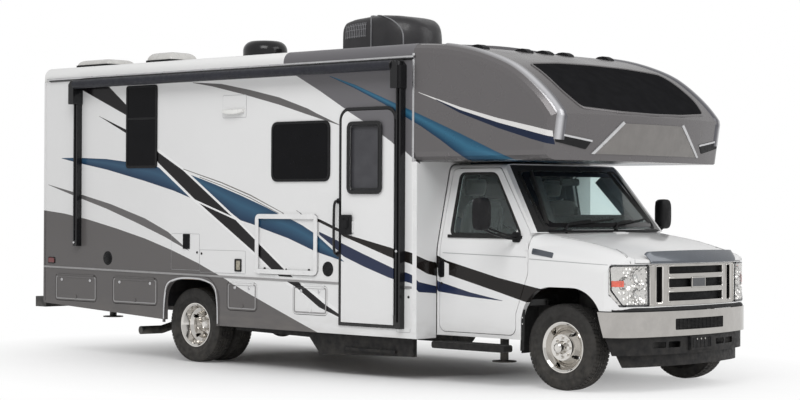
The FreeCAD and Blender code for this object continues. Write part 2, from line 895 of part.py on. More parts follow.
def frame():
    """The ladder frame with its outriggers and the hitch receiver."""
    rear, front = rail_span()
    low, top = rail_top_z - rail_height, rail_top_z
    pieces = []
    for side in (1, -1):
        web = box(rear, front, side * rail_y, side * (rail_y - rail_wall), low, top)
        flanges = [box(rear, front, side * rail_y, side * (rail_y - rail_flange), z,
            z + rail_wall) for z in (low, top - rail_wall)]
        pieces += [web] + flanges
    for share in crossmember_shares:
        x = rear + share * (front - rear)
        pieces.append(box(x - crossmember_size / 2, x + crossmember_size / 2, -rail_y + rail_wall / 2,
            rail_y - rail_wall / 2,
                          top - crossmember_size / 2, top))
    tip = -total_length / 2
    half, hollow = hitch_outer / 2, hitch_inner / 2
    tube = box(tip, tip + hitch_length, -half, half, hitch_z - half, hitch_z + half)
    tube = tube.cut(box(tip - overrun, tip + hitch_length - hitch_outer, -hollow, hollow, hitch_z - hollow,
        hitch_z + hollow))
    pin_x = tip + hitch_pin_setback
    tube = tube.cut(rod(V(pin_x, -hitch_outer, hitch_z), V(pin_x, hitch_outer, hitch_z), hitch_pin_radius))
    bar_x = tip + hitch_length - hitch_outer
    bar = box(bar_x, bar_x + hitch_outer, -rail_y - rail_wall, rail_y + rail_wall, hitch_z - half,
        hitch_z + half)
    drops = [box(bar_x, bar_x + hitch_outer, side * rail_y - rail_wall, side * rail_y + rail_wall, hitch_z,
        rail_top_z - rail_height / 2)
             for side in (1, -1)]
    return fused(pieces + [tube, bar] + drops)


def joists():
    """Cross beams from the rails up to the coach floor, and the cab's rubber mounts."""
    reach = coach_half_width - skirt_thickness - seat_gap
    low, top = rail_top_z + seat_gap, floor_top_z - floor_thickness - seat_gap
    pieces = []
    boxes = Part.makeCompound([bay_block(side, x, width, seat_gap) for side, bays in ((-1, right_bays()),
        (1, left_bays())) for x, width in bays])
    for share in joist_shares:
        x = coach_rear_x + share * (coach_front_x - coach_rear_x)
        joist = box(x, x + joist_width, -reach, reach, low, top)
        pieces.append(joist.cut(boxes).cut(boxes.translated(V(0, 0, floor_thickness))))
    y = rail_y - rail_flange / 2
    cab_length = firewall_x - coach_front_x
    for share in body_mount_shares:
        x = coach_front_x + share * cab_length
        for side in (1, -1):
            pieces.append(rod(V(x, side * y, low), V(x, side * y,
                cab_floor_z - cab_floor_thickness - seat_gap), body_mount_radius))
    return Part.makeCompound(pieces)


def engine_and_gearbox():
    """The engine as one plain block, with the gearbox and shaft behind it."""
    front = front_axle_x - engine_front_gap
    rear = front - engine_length
    block = box(rear, front, -engine_width / 2, engine_width / 2, engine_low_z,
        engine_low_z + engine_height)
    gearbox = Part.makeCone(gearbox_radius, gearbox_radius * 2 / 3, gearbox_length, V(rear, 0, gearbox_z),
        V(-1, 0, 0))
    start = V(rear - gearbox_length, 0, gearbox_z)
    end = V(rear_axle_x + diff_radius * 3 / 2 + seat_gap, 0, tyre_radius)
    shaft = rod(start, end + (start - end).normalize() * shaft_radius, shaft_radius)
    mid_x, reach = (rear + front) / 2, rail_y - rail_wall - seat_gap
    mount_z = rail_top_z - rail_height / 2
    mounts = box(mid_x - rail_wall * 4, mid_x + rail_wall * 4, -reach, reach, mount_z,
        mount_z + rail_wall * 2)
    return fused([block, gearbox, shaft, mounts])


# Cab body

def cabin_hull(inset):
    """The cab behind the nose as one closed form, moved in by inset."""
    half, top = cab_half_width - inset, cab_top_half_width - inset
    outline = [(-half, cab_low_z), (-half, cab_belt_z), (-top, cab_roof_z - inset), (top,
        cab_roof_z - inset), (half, cab_belt_z), (half, cab_low_z)]
    radii = [0, cab_belt_radius, cab_roof_radius - inset / 2, cab_roof_radius - inset / 2, cab_belt_radius,
        0]
    body = prism_yz(outline, radii, coach_front_x + panel_gap, glass_base_centre_x + cab_half_width)
    drop = glass_base_z - cab_low_z
    rise = cab_roof_z - cab_low_z + overrun
    side_x, centre_x = glass_base_side_x - inset + glass_lean * drop, glass_base_centre_x - inset + glass_lean * drop
    wide = cab_half_width + overrun
    bulge = centre_x - side_x
    far_x = centre_x - bulge * (wide / glass_base_half_width) ** 2
    back_x = coach_front_x - cab_half_width
    arc = Part.Arc(V(far_x, -wide, cab_low_z), V(centre_x, 0, cab_low_z), V(far_x, wide,
        cab_low_z)).toShape()
    sides = Part.makePolygon([V(far_x, wide, cab_low_z), V(back_x, wide, cab_low_z), V(back_x, -wide,
        cab_low_z), V(far_x, -wide, cab_low_z)])
    plan = Part.Face(Part.Wire([arc] + sides.Edges))
    leaning = plan.extrude(V(-glass_lean * rise, 0, rise))
    hull = body.common(leaning)
    ahead = box(nose_rear_x + seat_gap, far_x + cab_half_width * 2, -wide, wide, 0, glass_base_z)
    return hull.cut(ahead)


def nose_section(x, side_z, shoulder_z, shoulder_y, inset):
    half, shoulder = cab_half_width - inset, shoulder_y - inset
    top = shoulder_z + nose_crown
    points = [(-half, cab_low_z), (-half, side_z), (-shoulder, shoulder_z - inset), (0, top - inset),
        (shoulder, shoulder_z - inset), (half, side_z), (half, cab_low_z)]
    bend, turn = nose_side_radius - inset, nose_shoulder_radius - inset
    radii = [0, bend, turn, nose_crown_radius, turn, bend, 0]
    return rounded_wire(points, radii, lambda u, v: V(x, u, v))


def nose_plan(inset):
    """The nose seen from above, from its rear edge round its curved front."""
    depth_x = nose_front_x - nose_plan_depth
    half = cab_half_width - inset
    curve = [(depth_x - inset + d * nose_plan_depth, w * half) for d, w in nose_plan_shares]
    points = [V(x, -y, cab_low_z) for x, y in curve] + [V(x, y, cab_low_z) for x, y in reversed(curve[:-1])]
    spline = Part.BSplineCurve()
    spline.interpolate(points)
    rear = nose_rear_x - overrun
    last, first = points[-1], points[0]
    rest = Part.makePolygon([last, V(rear, last.y, cab_low_z), V(rear, first.y, cab_low_z), first])
    return Part.Face(Part.Wire([spline.toShape()] + rest.Edges))


def nose_hull(inset):
    """The hood and fenders as one closed form, moved in by inset."""
    sections = []
    for along, side, shoulder, narrow in nose_section_shares:
        side_z, shoulder_z = cab_belt_z - side * nose_side_drop, glass_base_z - shoulder * nose_shoulder_drop
        shoulder_y = nose_shoulder_half_width - narrow * nose_narrowing
        sections.append(nose_section(nose_rear_x + along * nose_length, side_z, shoulder_z, shoulder_y,
            inset))
    body = Part.makeLoft(sections, True, False)
    prism = nose_plan(inset).extrude(V(0, 0, cab_roof_z))
    return body.common(prism)


def cab_door_outline(grow):
    """Side view of a front door, grown by grow all round."""
    points = [
        (door_rear_x - grow, door_low_z - grow), (door_heel_x + grow,
            door_low_z - grow), (door_heel_x + grow, door_heel_z),
        (door_front_x + grow, (door_heel_z + door_belt_front_z) / 2), (door_front_x + grow,
            door_belt_front_z),
        (door_top_front_x + grow, door_top_z + grow), (door_rear_x - grow, door_top_z + grow),
    ]
    r = door_corner_radius
    return points, [r, r, r, r * 3, r * 3 / 2, r, r]


def door_window_outline(shrink):
    frame_in = door_frame + shrink
    low, top = door_window_low_z + shrink, door_top_z - door_header - shrink
    points = [(door_rear_x + frame_in, low), (door_front_x - frame_in, low),
        (door_top_front_x - frame_in / 2, top), (door_rear_x + frame_in, top)]
    return points, radii_for(points, door_window_radius)


def hood_outline(grow):
    """Plan view of the hood."""
    front = nose_front_x + overrun
    points = [(hood_rear_x - grow, -hood_half_width - grow), (front, -hood_half_width - grow), (front,
        hood_half_width + grow), (hood_rear_x - grow, hood_half_width + grow)]
    return points, [hood_corner_radius, 0, 0, hood_corner_radius]


def shield_outline(grow):
    """Front view of the windshield."""
    points = [
        (-shield_low_half_width - grow, shield_low_z - grow), (shield_low_half_width + grow,
            shield_low_z - grow),
        (shield_top_half_width + grow, shield_top_z + grow), (-shield_top_half_width - grow,
            shield_top_z + grow),
    ]
    return points, radii_for(points, shield_radius)


def front_arch_outline():
    x0, x1 = front_axle_x - front_arch_half_width, front_axle_x + front_arch_half_width
    points = [(x0, cab_low_z - overrun), (x1, cab_low_z - overrun), (x1, front_arch_top_z), (x0,
        front_arch_top_z)]
    return points, [0, 0, front_arch_radius, front_arch_radius]


# The forms that the cab, its doors, hood, lamps and glass are all cut from
cab_outer = cabin_hull(0)
cab_inner = cabin_hull(cab_skin)
nose_outer = nose_hull(0)
nose_inner = nose_hull(cab_skin)


def lamp_corner(grow):
    """The corner of the nose under each lamp's slanted lower edge."""
    wide = cab_half_width + overrun
    points = [(wide, lamp_low_z - overrun), (cab_half_width - lamp_cut, lamp_low_z - overrun),
        (cab_half_width - lamp_cut / 2, lamp_low_z + grow), (wide, lamp_low_z + lamp_cut * 3 / 2 + grow)]
    return both_sides(prism_yz(points, radii_for(points, 0), lamp_outer_x - overrun,
        nose_front_x + overrun))


def lamp_region():
    """The block of the nose that the headlamps and grille fill."""
    wide = cab_half_width + overrun
    whole = box(lamp_outer_x - seat_gap, nose_front_x + overrun, -wide, wide, lamp_low_z - seat_gap,
        lamp_top_z + seat_gap)
    return whole.cut(lamp_corner(-seat_gap))


def cab_shell():
    """Fenders, cowl, pillars, roof, floor and firewall, open at the back to the coach."""
    wide = cab_half_width + overrun
    outer = cab_outer.fuse(nose_outer)
    rear = coach_front_x - overrun
    sill = glass_base_z + nose_crown + seat_gap
    cabin_room = cab_inner.common(box(rear, firewall_x, -wide, wide, cab_floor_z, sill).fuse(
        box(rear, nose_front_x, -wide, wide, sill, cab_roof_z)))
    nose_room = nose_inner.common(box(firewall_x + firewall_thickness, nose_front_x + overrun, -wide, wide,
        0, cab_roof_z))
    under = box(rear, nose_rear_x + overrun, -cab_half_width + cab_skin, cab_half_width - cab_skin, 0,
        cab_floor_z - cab_floor_thickness)
    tunnel_reach = firewall_x - engine_cover_length
    cover = box(tunnel_reach, firewall_x + firewall_thickness, -engine_cover_half_width,
        engine_cover_half_width, cab_floor_z - cab_floor_thickness, engine_cover_top_z)
    cover_room = box(tunnel_reach + engine_cover_wall, firewall_x + firewall_thickness + overrun,
        -engine_cover_half_width + engine_cover_wall,
                     engine_cover_half_width - engine_cover_wall, 0, engine_cover_top_z - engine_cover_wall)
    shell = outer.cut(Part.makeCompound([under])).cut(cabin_room).cut(nose_room)
    shell = shell.fuse(cover).cut(cover_room)
    cuts = [box(front_axle_x, nose_front_x + overrun, -wide, wide, 0, front_fender_low_z), lamp_region()]
    for side in (1, -1):
        y1 = side * wide
        cuts.append(door_room(side, panel_gap).common(outer).cut(cab_inner))
        points, radii = front_arch_outline()
        cuts.append(prism_xz(points, radii, side * front_liner_inner_y, y1))
    points, radii = hood_outline(panel_gap)
    cuts.append(prism_xy(points, radii, hood_front_z - panel_gap, cab_roof_z))
    points, radii = shield_outline(seat_gap)
    cuts.append(prism_yz(points, radii, firewall_x - glass_lean * cab_half_width, nose_front_x))
    for cutter in cuts:
        shell = shell.cut(cutter)
    pieces = [shell] + [arch_liner(side) for side in (1, -1)]
    whole = fused(pieces)
    solids = sorted(whole.Solids, key=lambda s: -s.Volume)
    return solids[0]


def arch_liner(side):
    """The half round wheel house inside a front fender."""
    inner, outer_y = side * front_liner_inner_y, side * (cab_half_width - cab_skin / 2)
    start = V(front_axle_x, min(inner, outer_y), tyre_radius)
    width = abs(outer_y - inner)
    big = Part.makeCylinder(front_liner_radius + front_liner_thickness, width, start, V(0, 1, 0))
    small = Part.makeCylinder(front_liner_radius, width + overrun * 2, start - V(0, overrun, 0), V(0, 1, 0))
    low = tyre_radius + beam_height * 2
    reach = front_liner_radius * 2
    keep = box(front_axle_x - reach, front_axle_x + reach, inner, outer_y, low, tyre_radius + reach)
    return big.cut(small).common(keep)


def door_pin(side):
    """The middle of a front door's hinge, seated on the door's face ahead of its front edge."""
    return V(door_front_x + panel_gap / 2, side * (cab_half_width + seat_gap + door_hinge_radius), 0)


def door_room(side, grow):
    """What a front door may fill and still swing clear of the pillar behind it, grown by grow all round."""
    points, radii = cab_door_outline(grow)
    y0 = side * (cab_top_half_width - cab_skin - grow)
    pin = door_pin(side)
    swing = Part.makeCylinder(pin.x - door_rear_x + grow, cab_roof_z, pin, V(0, 0, 1))
    return prism_xz(points, radii, y0, side * (cab_half_width + overrun)).common(swing)


def cab_door(side):
    """A front door: the shell inside its outline, with the window cut and two hinge barrels."""
    y0, y1 = side * (engine_cover_half_width + overrun), side * (cab_half_width + overrun)
    panel = cab_outer.common(door_room(side, 0)).cut(cab_inner)
    points, radii = door_window_outline(0)
    panel = panel.cut(prism_xz(points, radii, y0, y1))
    pin = door_pin(side)
    pieces = [panel]
    for share in door_hinge_shares:
        z = (door_heel_z + door_belt_front_z) / 2 + door_hinge_length * share
        at = pin + V(0, 0, z)
        pieces.append(rod(at, at + V(0, 0, door_hinge_length), door_hinge_radius))
        pieces.append(box(pin.x - hinge_leaf, pin.x, side * (cab_half_width - seat_gap), pin.y, z,
            z + door_hinge_length))
        foot = side * (cab_half_width - cab_skin / 2)
        pieces.append(box(pin.x - hinge_leaf, pin.x - hinge_leaf / 2, foot, pin.y, z,
            z + door_hinge_length))
    return fused(pieces)


def cab_door_glass(side):
    wide = cab_half_width + overrun
    y0, y1 = side * (engine_cover_half_width + overrun), side * wide
    points, radii = door_window_outline(seat_gap)
    region = prism_xz(points, radii, y0, y1)
    outer = cabin_hull(glass_inset)
    return outer.common(region).cut(cabin_hull(glass_inset + glass_thickness))


def top_of(shape, x, y):
    """The height of a shape's top above a place."""
    line = Part.makeLine(V(x, y, 0), V(x, y, shape.BoundBox.ZMax + overrun))
    return max(v.Z for v in line.common(shape).Vertexes)


def hood_pin():
    """The middle of the hood's hinge, seated on the cowl behind the gap."""
    x = hood_rear_x - panel_gap - hood_hinge_radius
    return V(x, 0, top_of(nose_outer, x, 0) + seat_gap + hood_hinge_radius)


def hood():
    """The hood: the nose's skin inside its plan outline, with its hinge barrel and leaf."""
    points, radii = hood_outline(0)
    region = prism_xy(points, radii, hood_front_z, cab_roof_z)
    skin = nose_outer.common(region).cut(nose_inner)
    pin = hood_pin()
    reach = V(0, hood_hinge_length / 2, 0)
    barrel = rod(pin - reach, pin + reach, hood_hinge_radius)
    leaf = box(pin.x, hood_rear_x + hinge_leaf, -reach.y, reach.y, pin.z - hood_hinge_radius * 4, pin.z)
    leaf = leaf.cut(box(pin.x - overrun, hood_rear_x, -reach.y, reach.y, pin.z - hood_hinge_radius * 5,
        pin.z - hood_hinge_radius / 2))
    return fused([skin, barrel, leaf])


def hood_deflector():
    """The dark strip that stands up from the hood's front edge."""
    z0 = hood_front_z
    region = box(lamp_outer_x, nose_front_x + overrun, -deflector_half_width, deflector_half_width, z0,
        deflector_top_z)
    outer, inner = nose_plan(-deflector_thickness - seat_gap), nose_plan(-seat_gap)
    strip = outer.extrude(V(0, 0, cab_roof_z)).cut(inner.extrude(V(0, 0, cab_roof_z))).common(region)
    return strip.cut(nose_outer)


def windshield():
    points, radii = shield_outline(0)
    region = prism_yz(points, radii, firewall_x - glass_lean * cab_half_width, nose_front_x)
    return cabin_hull(glass_inset).common(region).cut(cabin_hull(glass_inset + glass_thickness))


def dashboard():
    """Dashboard, steering column and wheel."""
    rear = firewall_x - dash_depth
    points = [(rear, dash_low_z), (firewall_x - seat_gap, dash_low_z), (firewall_x - seat_gap, dash_top_z),
        (rear + dash_depth / 4, dash_top_z), (rear, dash_top_z - dash_radius)]
    body = prism_xz(points, [dash_radius / 2, 0, 0, dash_radius, dash_radius / 2], -dash_half_width,
        dash_half_width)
    room = box(rear - overrun, firewall_x, -engine_cover_half_width - panel_gap,
        engine_cover_half_width + panel_gap, 0, engine_cover_top_z + panel_gap)
    lean = math.radians(wheel_tilt)
    centre = V(wheel_x, seat_y, wheel_z)
    axis = V(-math.cos(lean), 0, math.sin(lean))
    along = V(axis.z, 0, -axis.x)
    turns = [2 * math.pi * i / wheel_rim_sides for i in range(wheel_rim_sides)]
    grip = [centre + along * (wheel_rim_radius + wheel_rim_wire * math.cos(t)) + axis * (wheel_rim_wire
        * math.sin(t)) for t in turns]
    rim_ring = Part.Face(Part.makePolygon(grip + [grip[0]])).revolve(centre, axis, 360)
    boss = rod(centre - axis * wheel_rim_wire, centre + axis * wheel_rim_wire, wheel_rim_radius / 3)
    spokes = [rod(centre, centre + d * wheel_rim_radius, wheel_rim_wire) for d in (V(0, 1, 0), V(0, -1, 0),
        along)]
    column = rod(centre, centre - axis * (wheel_rim_radius * 2), column_radius)
    return fused([body.cut(room), rim_ring, boss, column] + spokes)


def seat(side):
    """A front seat on its pedestal, with its back and headrest."""
    y0, y1 = side * seat_y - seat_width / 2, side * seat_y + seat_width / 2
    cushion_low = seat_top_z - seat_cushion_thickness
    points = corners(seat_rear_x, seat_rear_x + seat_depth, cushion_low, seat_top_z)
    cushion = prism_xz(points, radii_for(points, seat_cushion_thickness / 3), y0, y1)
    foot = seat_rear_x + seat_back_thickness
    top_x = seat_rear_x - seat_back_lean
    top_z = seat_top_z + seat_back_height
    points = [(seat_rear_x, cushion_low), (foot, cushion_low), (top_x + seat_back_thickness, top_z), (top_x,
        top_z)]
    back = prism_xz(points, [0, 0, seat_back_thickness / 3, seat_back_thickness / 3], y0, y1)
    head_y0 = side * seat_y - headrest_width / 2
    head = prism_xz([(top_x, top_z), (top_x + seat_back_thickness, top_z), (top_x + seat_back_thickness,
        top_z + headrest_height), (top_x, top_z + headrest_height)],
                    [0, 0, seat_back_thickness / 3,
                        seat_back_thickness / 3], head_y0, head_y0 + headrest_width)
    mid_x = seat_rear_x + seat_depth / 2
    post = box(mid_x - seat_pedestal / 2, mid_x + seat_pedestal / 2, side * seat_y - seat_pedestal / 2,
        side * seat_y + seat_pedestal / 2,
               cab_floor_z + seat_gap, cushion_low)
    return fused([cushion, back, head, post])


def front_seats():
    return Part.makeCompound([seat(1), seat(-1)])


# Front end

def grille_blank(z0, z1, half_width, inset, depth):
    """A slice of the nose's front, between two heights, as deep as depth."""
    wide = half_width
    region = box(lamp_outer_x, nose_front_x + overrun, -wide, wide, z0, z1)
    outer = nose_plan(inset).extrude(V(0, 0, cab_roof_z))
    inner = nose_plan(inset + depth).extrude(V(0, 0, cab_roof_z))
    return outer.common(region).cut(inner)


def grille():
    """The chrome surround with its slots, and a blank badge plate in the middle."""
    whole = grille_blank(grille_low_z, grille_top_z, grille_half_width, 0, grille_depth)
    x0, x1 = lamp_outer_x, nose_front_x + overrun
    cuts = []
    low, top = grille_low_z + grille_border, grille_top_z - grille_border
    outer = grille_half_width - grille_border
    for side in (1, -1):
        points = corners(side * (outer - grille_side_slot), side * outer, low, top)
        cuts.append(prism_yz(points, radii_for(points, grille_bar / 4), x0, x1))
    inner = outer - grille_side_slot - grille_post
    slot = (top - low - (grille_slot_count - 1) * grille_bar) / grille_slot_count
    for i in range(grille_slot_count):
        z = low + i * (slot + grille_bar)
        points = corners(-inner, inner, z, z + slot)
        cuts.append(prism_yz(points, radii_for(points, grille_bar / 4), x0, x1))
    body = whole
    for cutter in cuts:
        body = body.cut(cutter)
    mid = (low + top) / 2
    points = corners(-badge_half_width, badge_half_width, mid - badge_half_height, mid + badge_half_height)
    badge = prism_yz(points, radii_for(points, badge_half_height / 2), nose_front_x - grille_depth,
        nose_front_x + badge_depth)
    return fused([body, badge])


def grille_backing():
    """The dark mesh panel behind the grille."""
    return grille_blank(grille_low_z, grille_top_z, grille_half_width, grille_depth + seat_gap,
        grille_backing_thickness)


def headlamps():
    """Both headlamps, wrapped round the nose's corners."""
    wide = cab_half_width + overrun
    region = box(lamp_outer_x, nose_front_x, grille_half_width + seat_gap, wide, lamp_low_z, lamp_top_z)
    outer = nose_plan(0).extrude(V(0, 0, cab_roof_z)).common(nose_outer)
    lamp = outer.common(region).cut(nose_plan(lamp_depth).extrude(V(0, 0, cab_roof_z)))
    lamp = lamp.cut(lamp_corner(0))
    return both_sides(lamp)


def bumper_plan(inset):
    """The bumper seen from above."""
    half = bumper_half_width - inset
    front = bumper_front_x - inset
    depth = bumper_front_x - bumper_side_x
    curve = [(front - depth * (1 - d), w * half) for d, w in ((0.0, 1.0), (0.30, 0.985), (0.52, 0.92),
        (0.80, 0.66), (0.95, 0.33), (1.0, 0.0))]
    points = [V(x, -y, 0) for x, y in curve] + [V(x, y, 0) for x, y in reversed(curve[:-1])]
    spline = Part.BSplineCurve()
    spline.interpolate(points)
    close = Part.LineSegment(points[-1], points[0]).toShape()
    return Part.Face(Part.Wire([spline.toShape(), close]))


def bumper_shell(z0, z1, inset, wall):
    outer = bumper_plan(inset)
    inner = bumper_plan(inset + wall)
    outer.translate(V(0, 0, z0))
    inner.translate(V(0, 0, z0 - overrun))
    return outer.extrude(V(0, 0, z1 - z0)).cut(inner.extrude(V(0, 0, z1 - z0 + 2 * overrun)))


def slant_ends(shell, low, low_x, top, top_x):
    """Trims a wrapped shell's ends along a line that leans back towards its top."""
    back, wide = bumper_side_x - bumper_half_width, bumper_half_width + overrun
    points = [(back, low - overrun), (low_x, low - overrun), (low_x, low), (top_x, top), (top_x,
        top + overrun), (back, top + overrun)]
    return shell.cut(prism_xz(points, radii_for(points, 0), -wide, wide))


def front_bumper():
    """The chrome bumper with its slot, and brackets to the frame."""
    shell = bumper_shell(bumper_low_z, bumper_top_z, 0, bumper_wall)
    shell = slant_ends(shell, bumper_low_z, bumper_side_x + bumper_end_slant, bumper_top_z, bumper_side_x)
    points = corners(-bumper_slot_half_width, bumper_slot_half_width, bumper_slot_low_z,
        bumper_slot_low_z + bumper_slot_height)
    shell = shell.cut(prism_yz(points, radii_for(points, bumper_wall), bumper_side_x,
        bumper_front_x + overrun))
    front = total_length / 2 - rail_front_setback
    brackets = []
    for side in (1, -1):
        y0 = side * (rail_y - rail_flange + rail_wall)
        brackets.append(box(front + seat_gap, bumper_front_x - bumper_wall / 2, y0,
            side * (rail_y - rail_wall), bumper_low_z + rail_wall * 3, bumper_top_z - rail_wall * 2))
    inner = bumper_plan(bumper_wall / 2)
    inner.translate(V(0, 0, bumper_low_z))
    trimmed = [b.common(inner.extrude(V(0, 0, bumper_top_z - bumper_low_z))) for b in brackets]
    return fused([shell] + trimmed)


def air_dam():
    """The dark valance under the bumper with its slots, and the blank plate bracket."""
    upper = bumper_shell(dam_step_z, bumper_low_z - seat_gap, dam_setback, bumper_wall)
    lower = bumper_shell(dam_low_z, dam_step_z, dam_setback + dam_step, bumper_wall)
    ledge = bumper_shell(dam_step_z - bumper_wall, dam_step_z + bumper_wall, dam_setback,
        dam_step + bumper_wall)
    body = fused([upper, lower, ledge])
    high_x = bumper_side_x + bumper_end_slant
    body = slant_ends(body, dam_low_z, high_x + dam_end_slant, bumper_low_z, high_x)
    mid = (dam_step_z + bumper_low_z) / 2
    for share in dam_slot_shares:
        y = share * bumper_half_width
        points = corners(y - dam_slot_width / 2, y + dam_slot_width / 2, mid - dam_slot_height / 2,
            mid + dam_slot_height / 2)
        body = body.cut(prism_yz(points, radii_for(points, bumper_wall), bumper_side_x,
            bumper_front_x + overrun))
    return body


def plate_bracket():
    """A blank number plate bracket against the valance, with two bolt holes."""
    half = plate_bracket_width / 2
    top = bumper_low_z - seat_gap
    front = bumper_front_x - dam_setback + plate_bracket_thickness
    plate = box(bumper_side_x, front, -half, half, top - plate_bracket_height, top)
    behind = bumper_plan(dam_setback - seat_gap)
    behind.translate(V(0, 0, dam_low_z))
    plate = plate.cut(behind.extrude(V(0, 0, bumper_top_z)))
    for side in (1, -1):
        at = V(bumper_side_x, side * plate_hole_spacing / 2, top - plate_bracket_height / 2)
        plate = plate.cut(rod(at, V(front + overrun, at.y, at.z), plate_hole_radius))
    return plate


# Coach

def skirt_outline():
    """Side view of the panel under the floor line."""
    top = floor_top_z
    return [
        (coach_rear_x, skirt_low_z + skirt_rear_rise), (rear_axle_x - rear_arch_half_width,
            skirt_low_z + arch_trim),
        (rear_axle_x + rear_arch_half_width, skirt_low_z), (coach_front_x, skirt_low_z), (coach_front_x,
            top), (coach_rear_x, top),
    ]


def rear_arch_outline(grow):
    x0, x1 = rear_axle_x - rear_arch_half_width - grow, rear_axle_x + rear_arch_half_width + grow
    points = [(x0, skirt_low_z - overrun), (x1, skirt_low_z - overrun), (x1, rear_arch_top_z + grow), (x0,
        rear_arch_top_z + grow)]
    return points, [0, 0, rear_arch_radius, rear_arch_radius]


def right_bays():
    return ((bay_a_x, bay_a_width), (bay_b_x, bay_b_width), (bay_c_x, bay_c_width), (bay_d_x, bay_d_width))


def left_bays():
    return ((left_bay_a_x, left_bay_a_width), (left_bay_b_x, left_bay_b_width))


def entry_outline(grow):
    x0, x1 = entry_rear_x - grow, entry_front_x + grow
    points = corners(x0, x1, entry_low_z - grow, entry_top_z + grow)
    return points, [0, 0, entry_radius + grow, entry_radius + grow]


def skirt(side):
    """The lower side panel with its wheel arch, storage door openings and arch trim."""
    y0, y1 = side * (coach_half_width - skirt_thickness), side * coach_half_width
    far0, far1 = side * (coach_half_width - skirt_thickness - overrun), side * (coach_half_width + overrun)
    points = skirt_outline()
    panel = prism_xz(points, radii_for(points, 0), y0, y1)
    trim_points, trim_radii = rear_arch_outline(arch_trim)
    trim = prism_xz(trim_points, trim_radii, y1 - side * arch_trim_proud, y1 + side * arch_trim_proud)
    trim = trim.common(box(coach_rear_x, coach_front_x, far0, far1, skirt_low_z, floor_top_z))
    panel = panel.fuse(trim)
    arch_points, arch_radii = rear_arch_outline(0)
    panel = panel.cut(prism_xz(arch_points, arch_radii, far0, far1))
    for x, width in (right_bays() if side < 0 else left_bays()):
        panel = panel.cut(pane_xz(x - panel_gap, x + width + panel_gap, bay_low_z - panel_gap,
            bay_low_z + bay_height + panel_gap,
                                  bay_radius + panel_gap, far0, far1))
    if side < 0:
        points, radii = entry_outline(entry_frame_width)
        panel = panel.cut(prism_xz(points, radii, far0, far1))
    return panel.removeSplitter()


def coach_windows(side):
    """Every window on one side wall, as (x, width, z, height)."""
    if side < 0:
        return ((lounge_window_x, lounge_window_width, lounge_window_z, lounge_window_height),
                (tall_window_x, tall_window_width, tall_window_z, tall_window_height))
    return ((galley_window_x, galley_window_width, galley_window_z, galley_window_height),
            (bedroom_window_x, bedroom_window_width, galley_window_z, galley_window_height),
            (dinette_window_x, dinette_window_width, dinette_window_z, dinette_window_height))


def side_wall(side):
    """A laminated side wall from the floor line to the roof, with its windows and doors cut."""
    y0, y1 = side * (coach_half_width - wall_thickness), side * coach_half_width
    far0, far1 = side * (coach_half_width - wall_thickness - overrun), side * (coach_half_width + overrun)
    low = floor_top_z + seat_gap
    panel = box(coach_rear_x, cap_joint_x, y0, y1, low, wall_top_z)
    panel = panel.fuse(box(cap_joint_x, coach_front_x, y0, y1, low, cap_low_z - seat_gap))
    for x, width, z, height in coach_windows(side):
        panel = panel.cut(pane_xz(x, x + width, z, z + height, window_radius, far0, far1))
    if side < 0:
        points, radii = entry_outline(entry_frame_width)
        panel = panel.cut(prism_xz(points, radii, far0, far1))
        panel = panel.cut(pane_xz(locker_x - panel_gap, locker_x + locker_width + panel_gap,
            locker_z - panel_gap,
                                  locker_z + locker_height + panel_gap, locker_radius + panel_gap, far0, far1))
    return panel.removeSplitter()


def window_glass():
    """The dark coach windows, each in its frame, on both walls and the rear."""
    panes = []
    for side in (1, -1):
        inner = side * (coach_half_width + window_proud - window_thickness)
        outer = side * (coach_half_width + window_proud)
        for x, width, z, height in coach_windows(side):
            panes.append(pane_xz(x + seat_gap, x + width - seat_gap, z + seat_gap, z + height - seat_gap,
                window_radius - seat_gap, inner, outer))
    points = corners(-rear_window_half_width + seat_gap, rear_window_half_width - seat_gap,
        rear_window_z + seat_gap, rear_window_z + rear_window_height - seat_gap)
    panes.append(prism_yz(points, radii_for(points, window_radius - seat_gap), coach_rear_x - window_proud,
        coach_rear_x - window_proud + window_thickness))
    return Part.makeCompound(panes)


def rear_wall():
    inner = coach_half_width - wall_thickness - seat_gap
    low = skirt_low_z + skirt_rear_rise
    wall = box(coach_rear_x, coach_rear_x + wall_thickness, -inner, inner, low, wall_top_z)
    points = corners(-rear_window_half_width, rear_window_half_width, rear_window_z,
        rear_window_z + rear_window_height)
    return wall.cut(prism_yz(points, radii_for(points, window_radius), coach_rear_x - overrun,
        coach_rear_x + wall_thickness + overrun))


def front_wall():
    """The wall each side of the cab, facing forward, from skirt to cap."""
    inner = coach_half_width - wall_thickness - seat_gap
    x0, x1 = coach_front_x - wall_thickness, coach_front_x
    wall = box(x0, x1, -inner, inner, skirt_low_z, cap_low_z - seat_gap)
    half, top = cab_half_width + panel_gap, cab_top_half_width + panel_gap
    outline = [(-half, skirt_low_z - overrun), (-half, cab_belt_z), (-top, cab_roof_z + panel_gap), (top,
        cab_roof_z + panel_gap), (half, cab_belt_z), (half, skirt_low_z - overrun)]
    way = prism_yz(outline, [0, cab_belt_radius, cab_roof_radius, cab_roof_radius, cab_belt_radius, 0],
        x0 - overrun, x1 + overrun)
    return wall.cut(way)


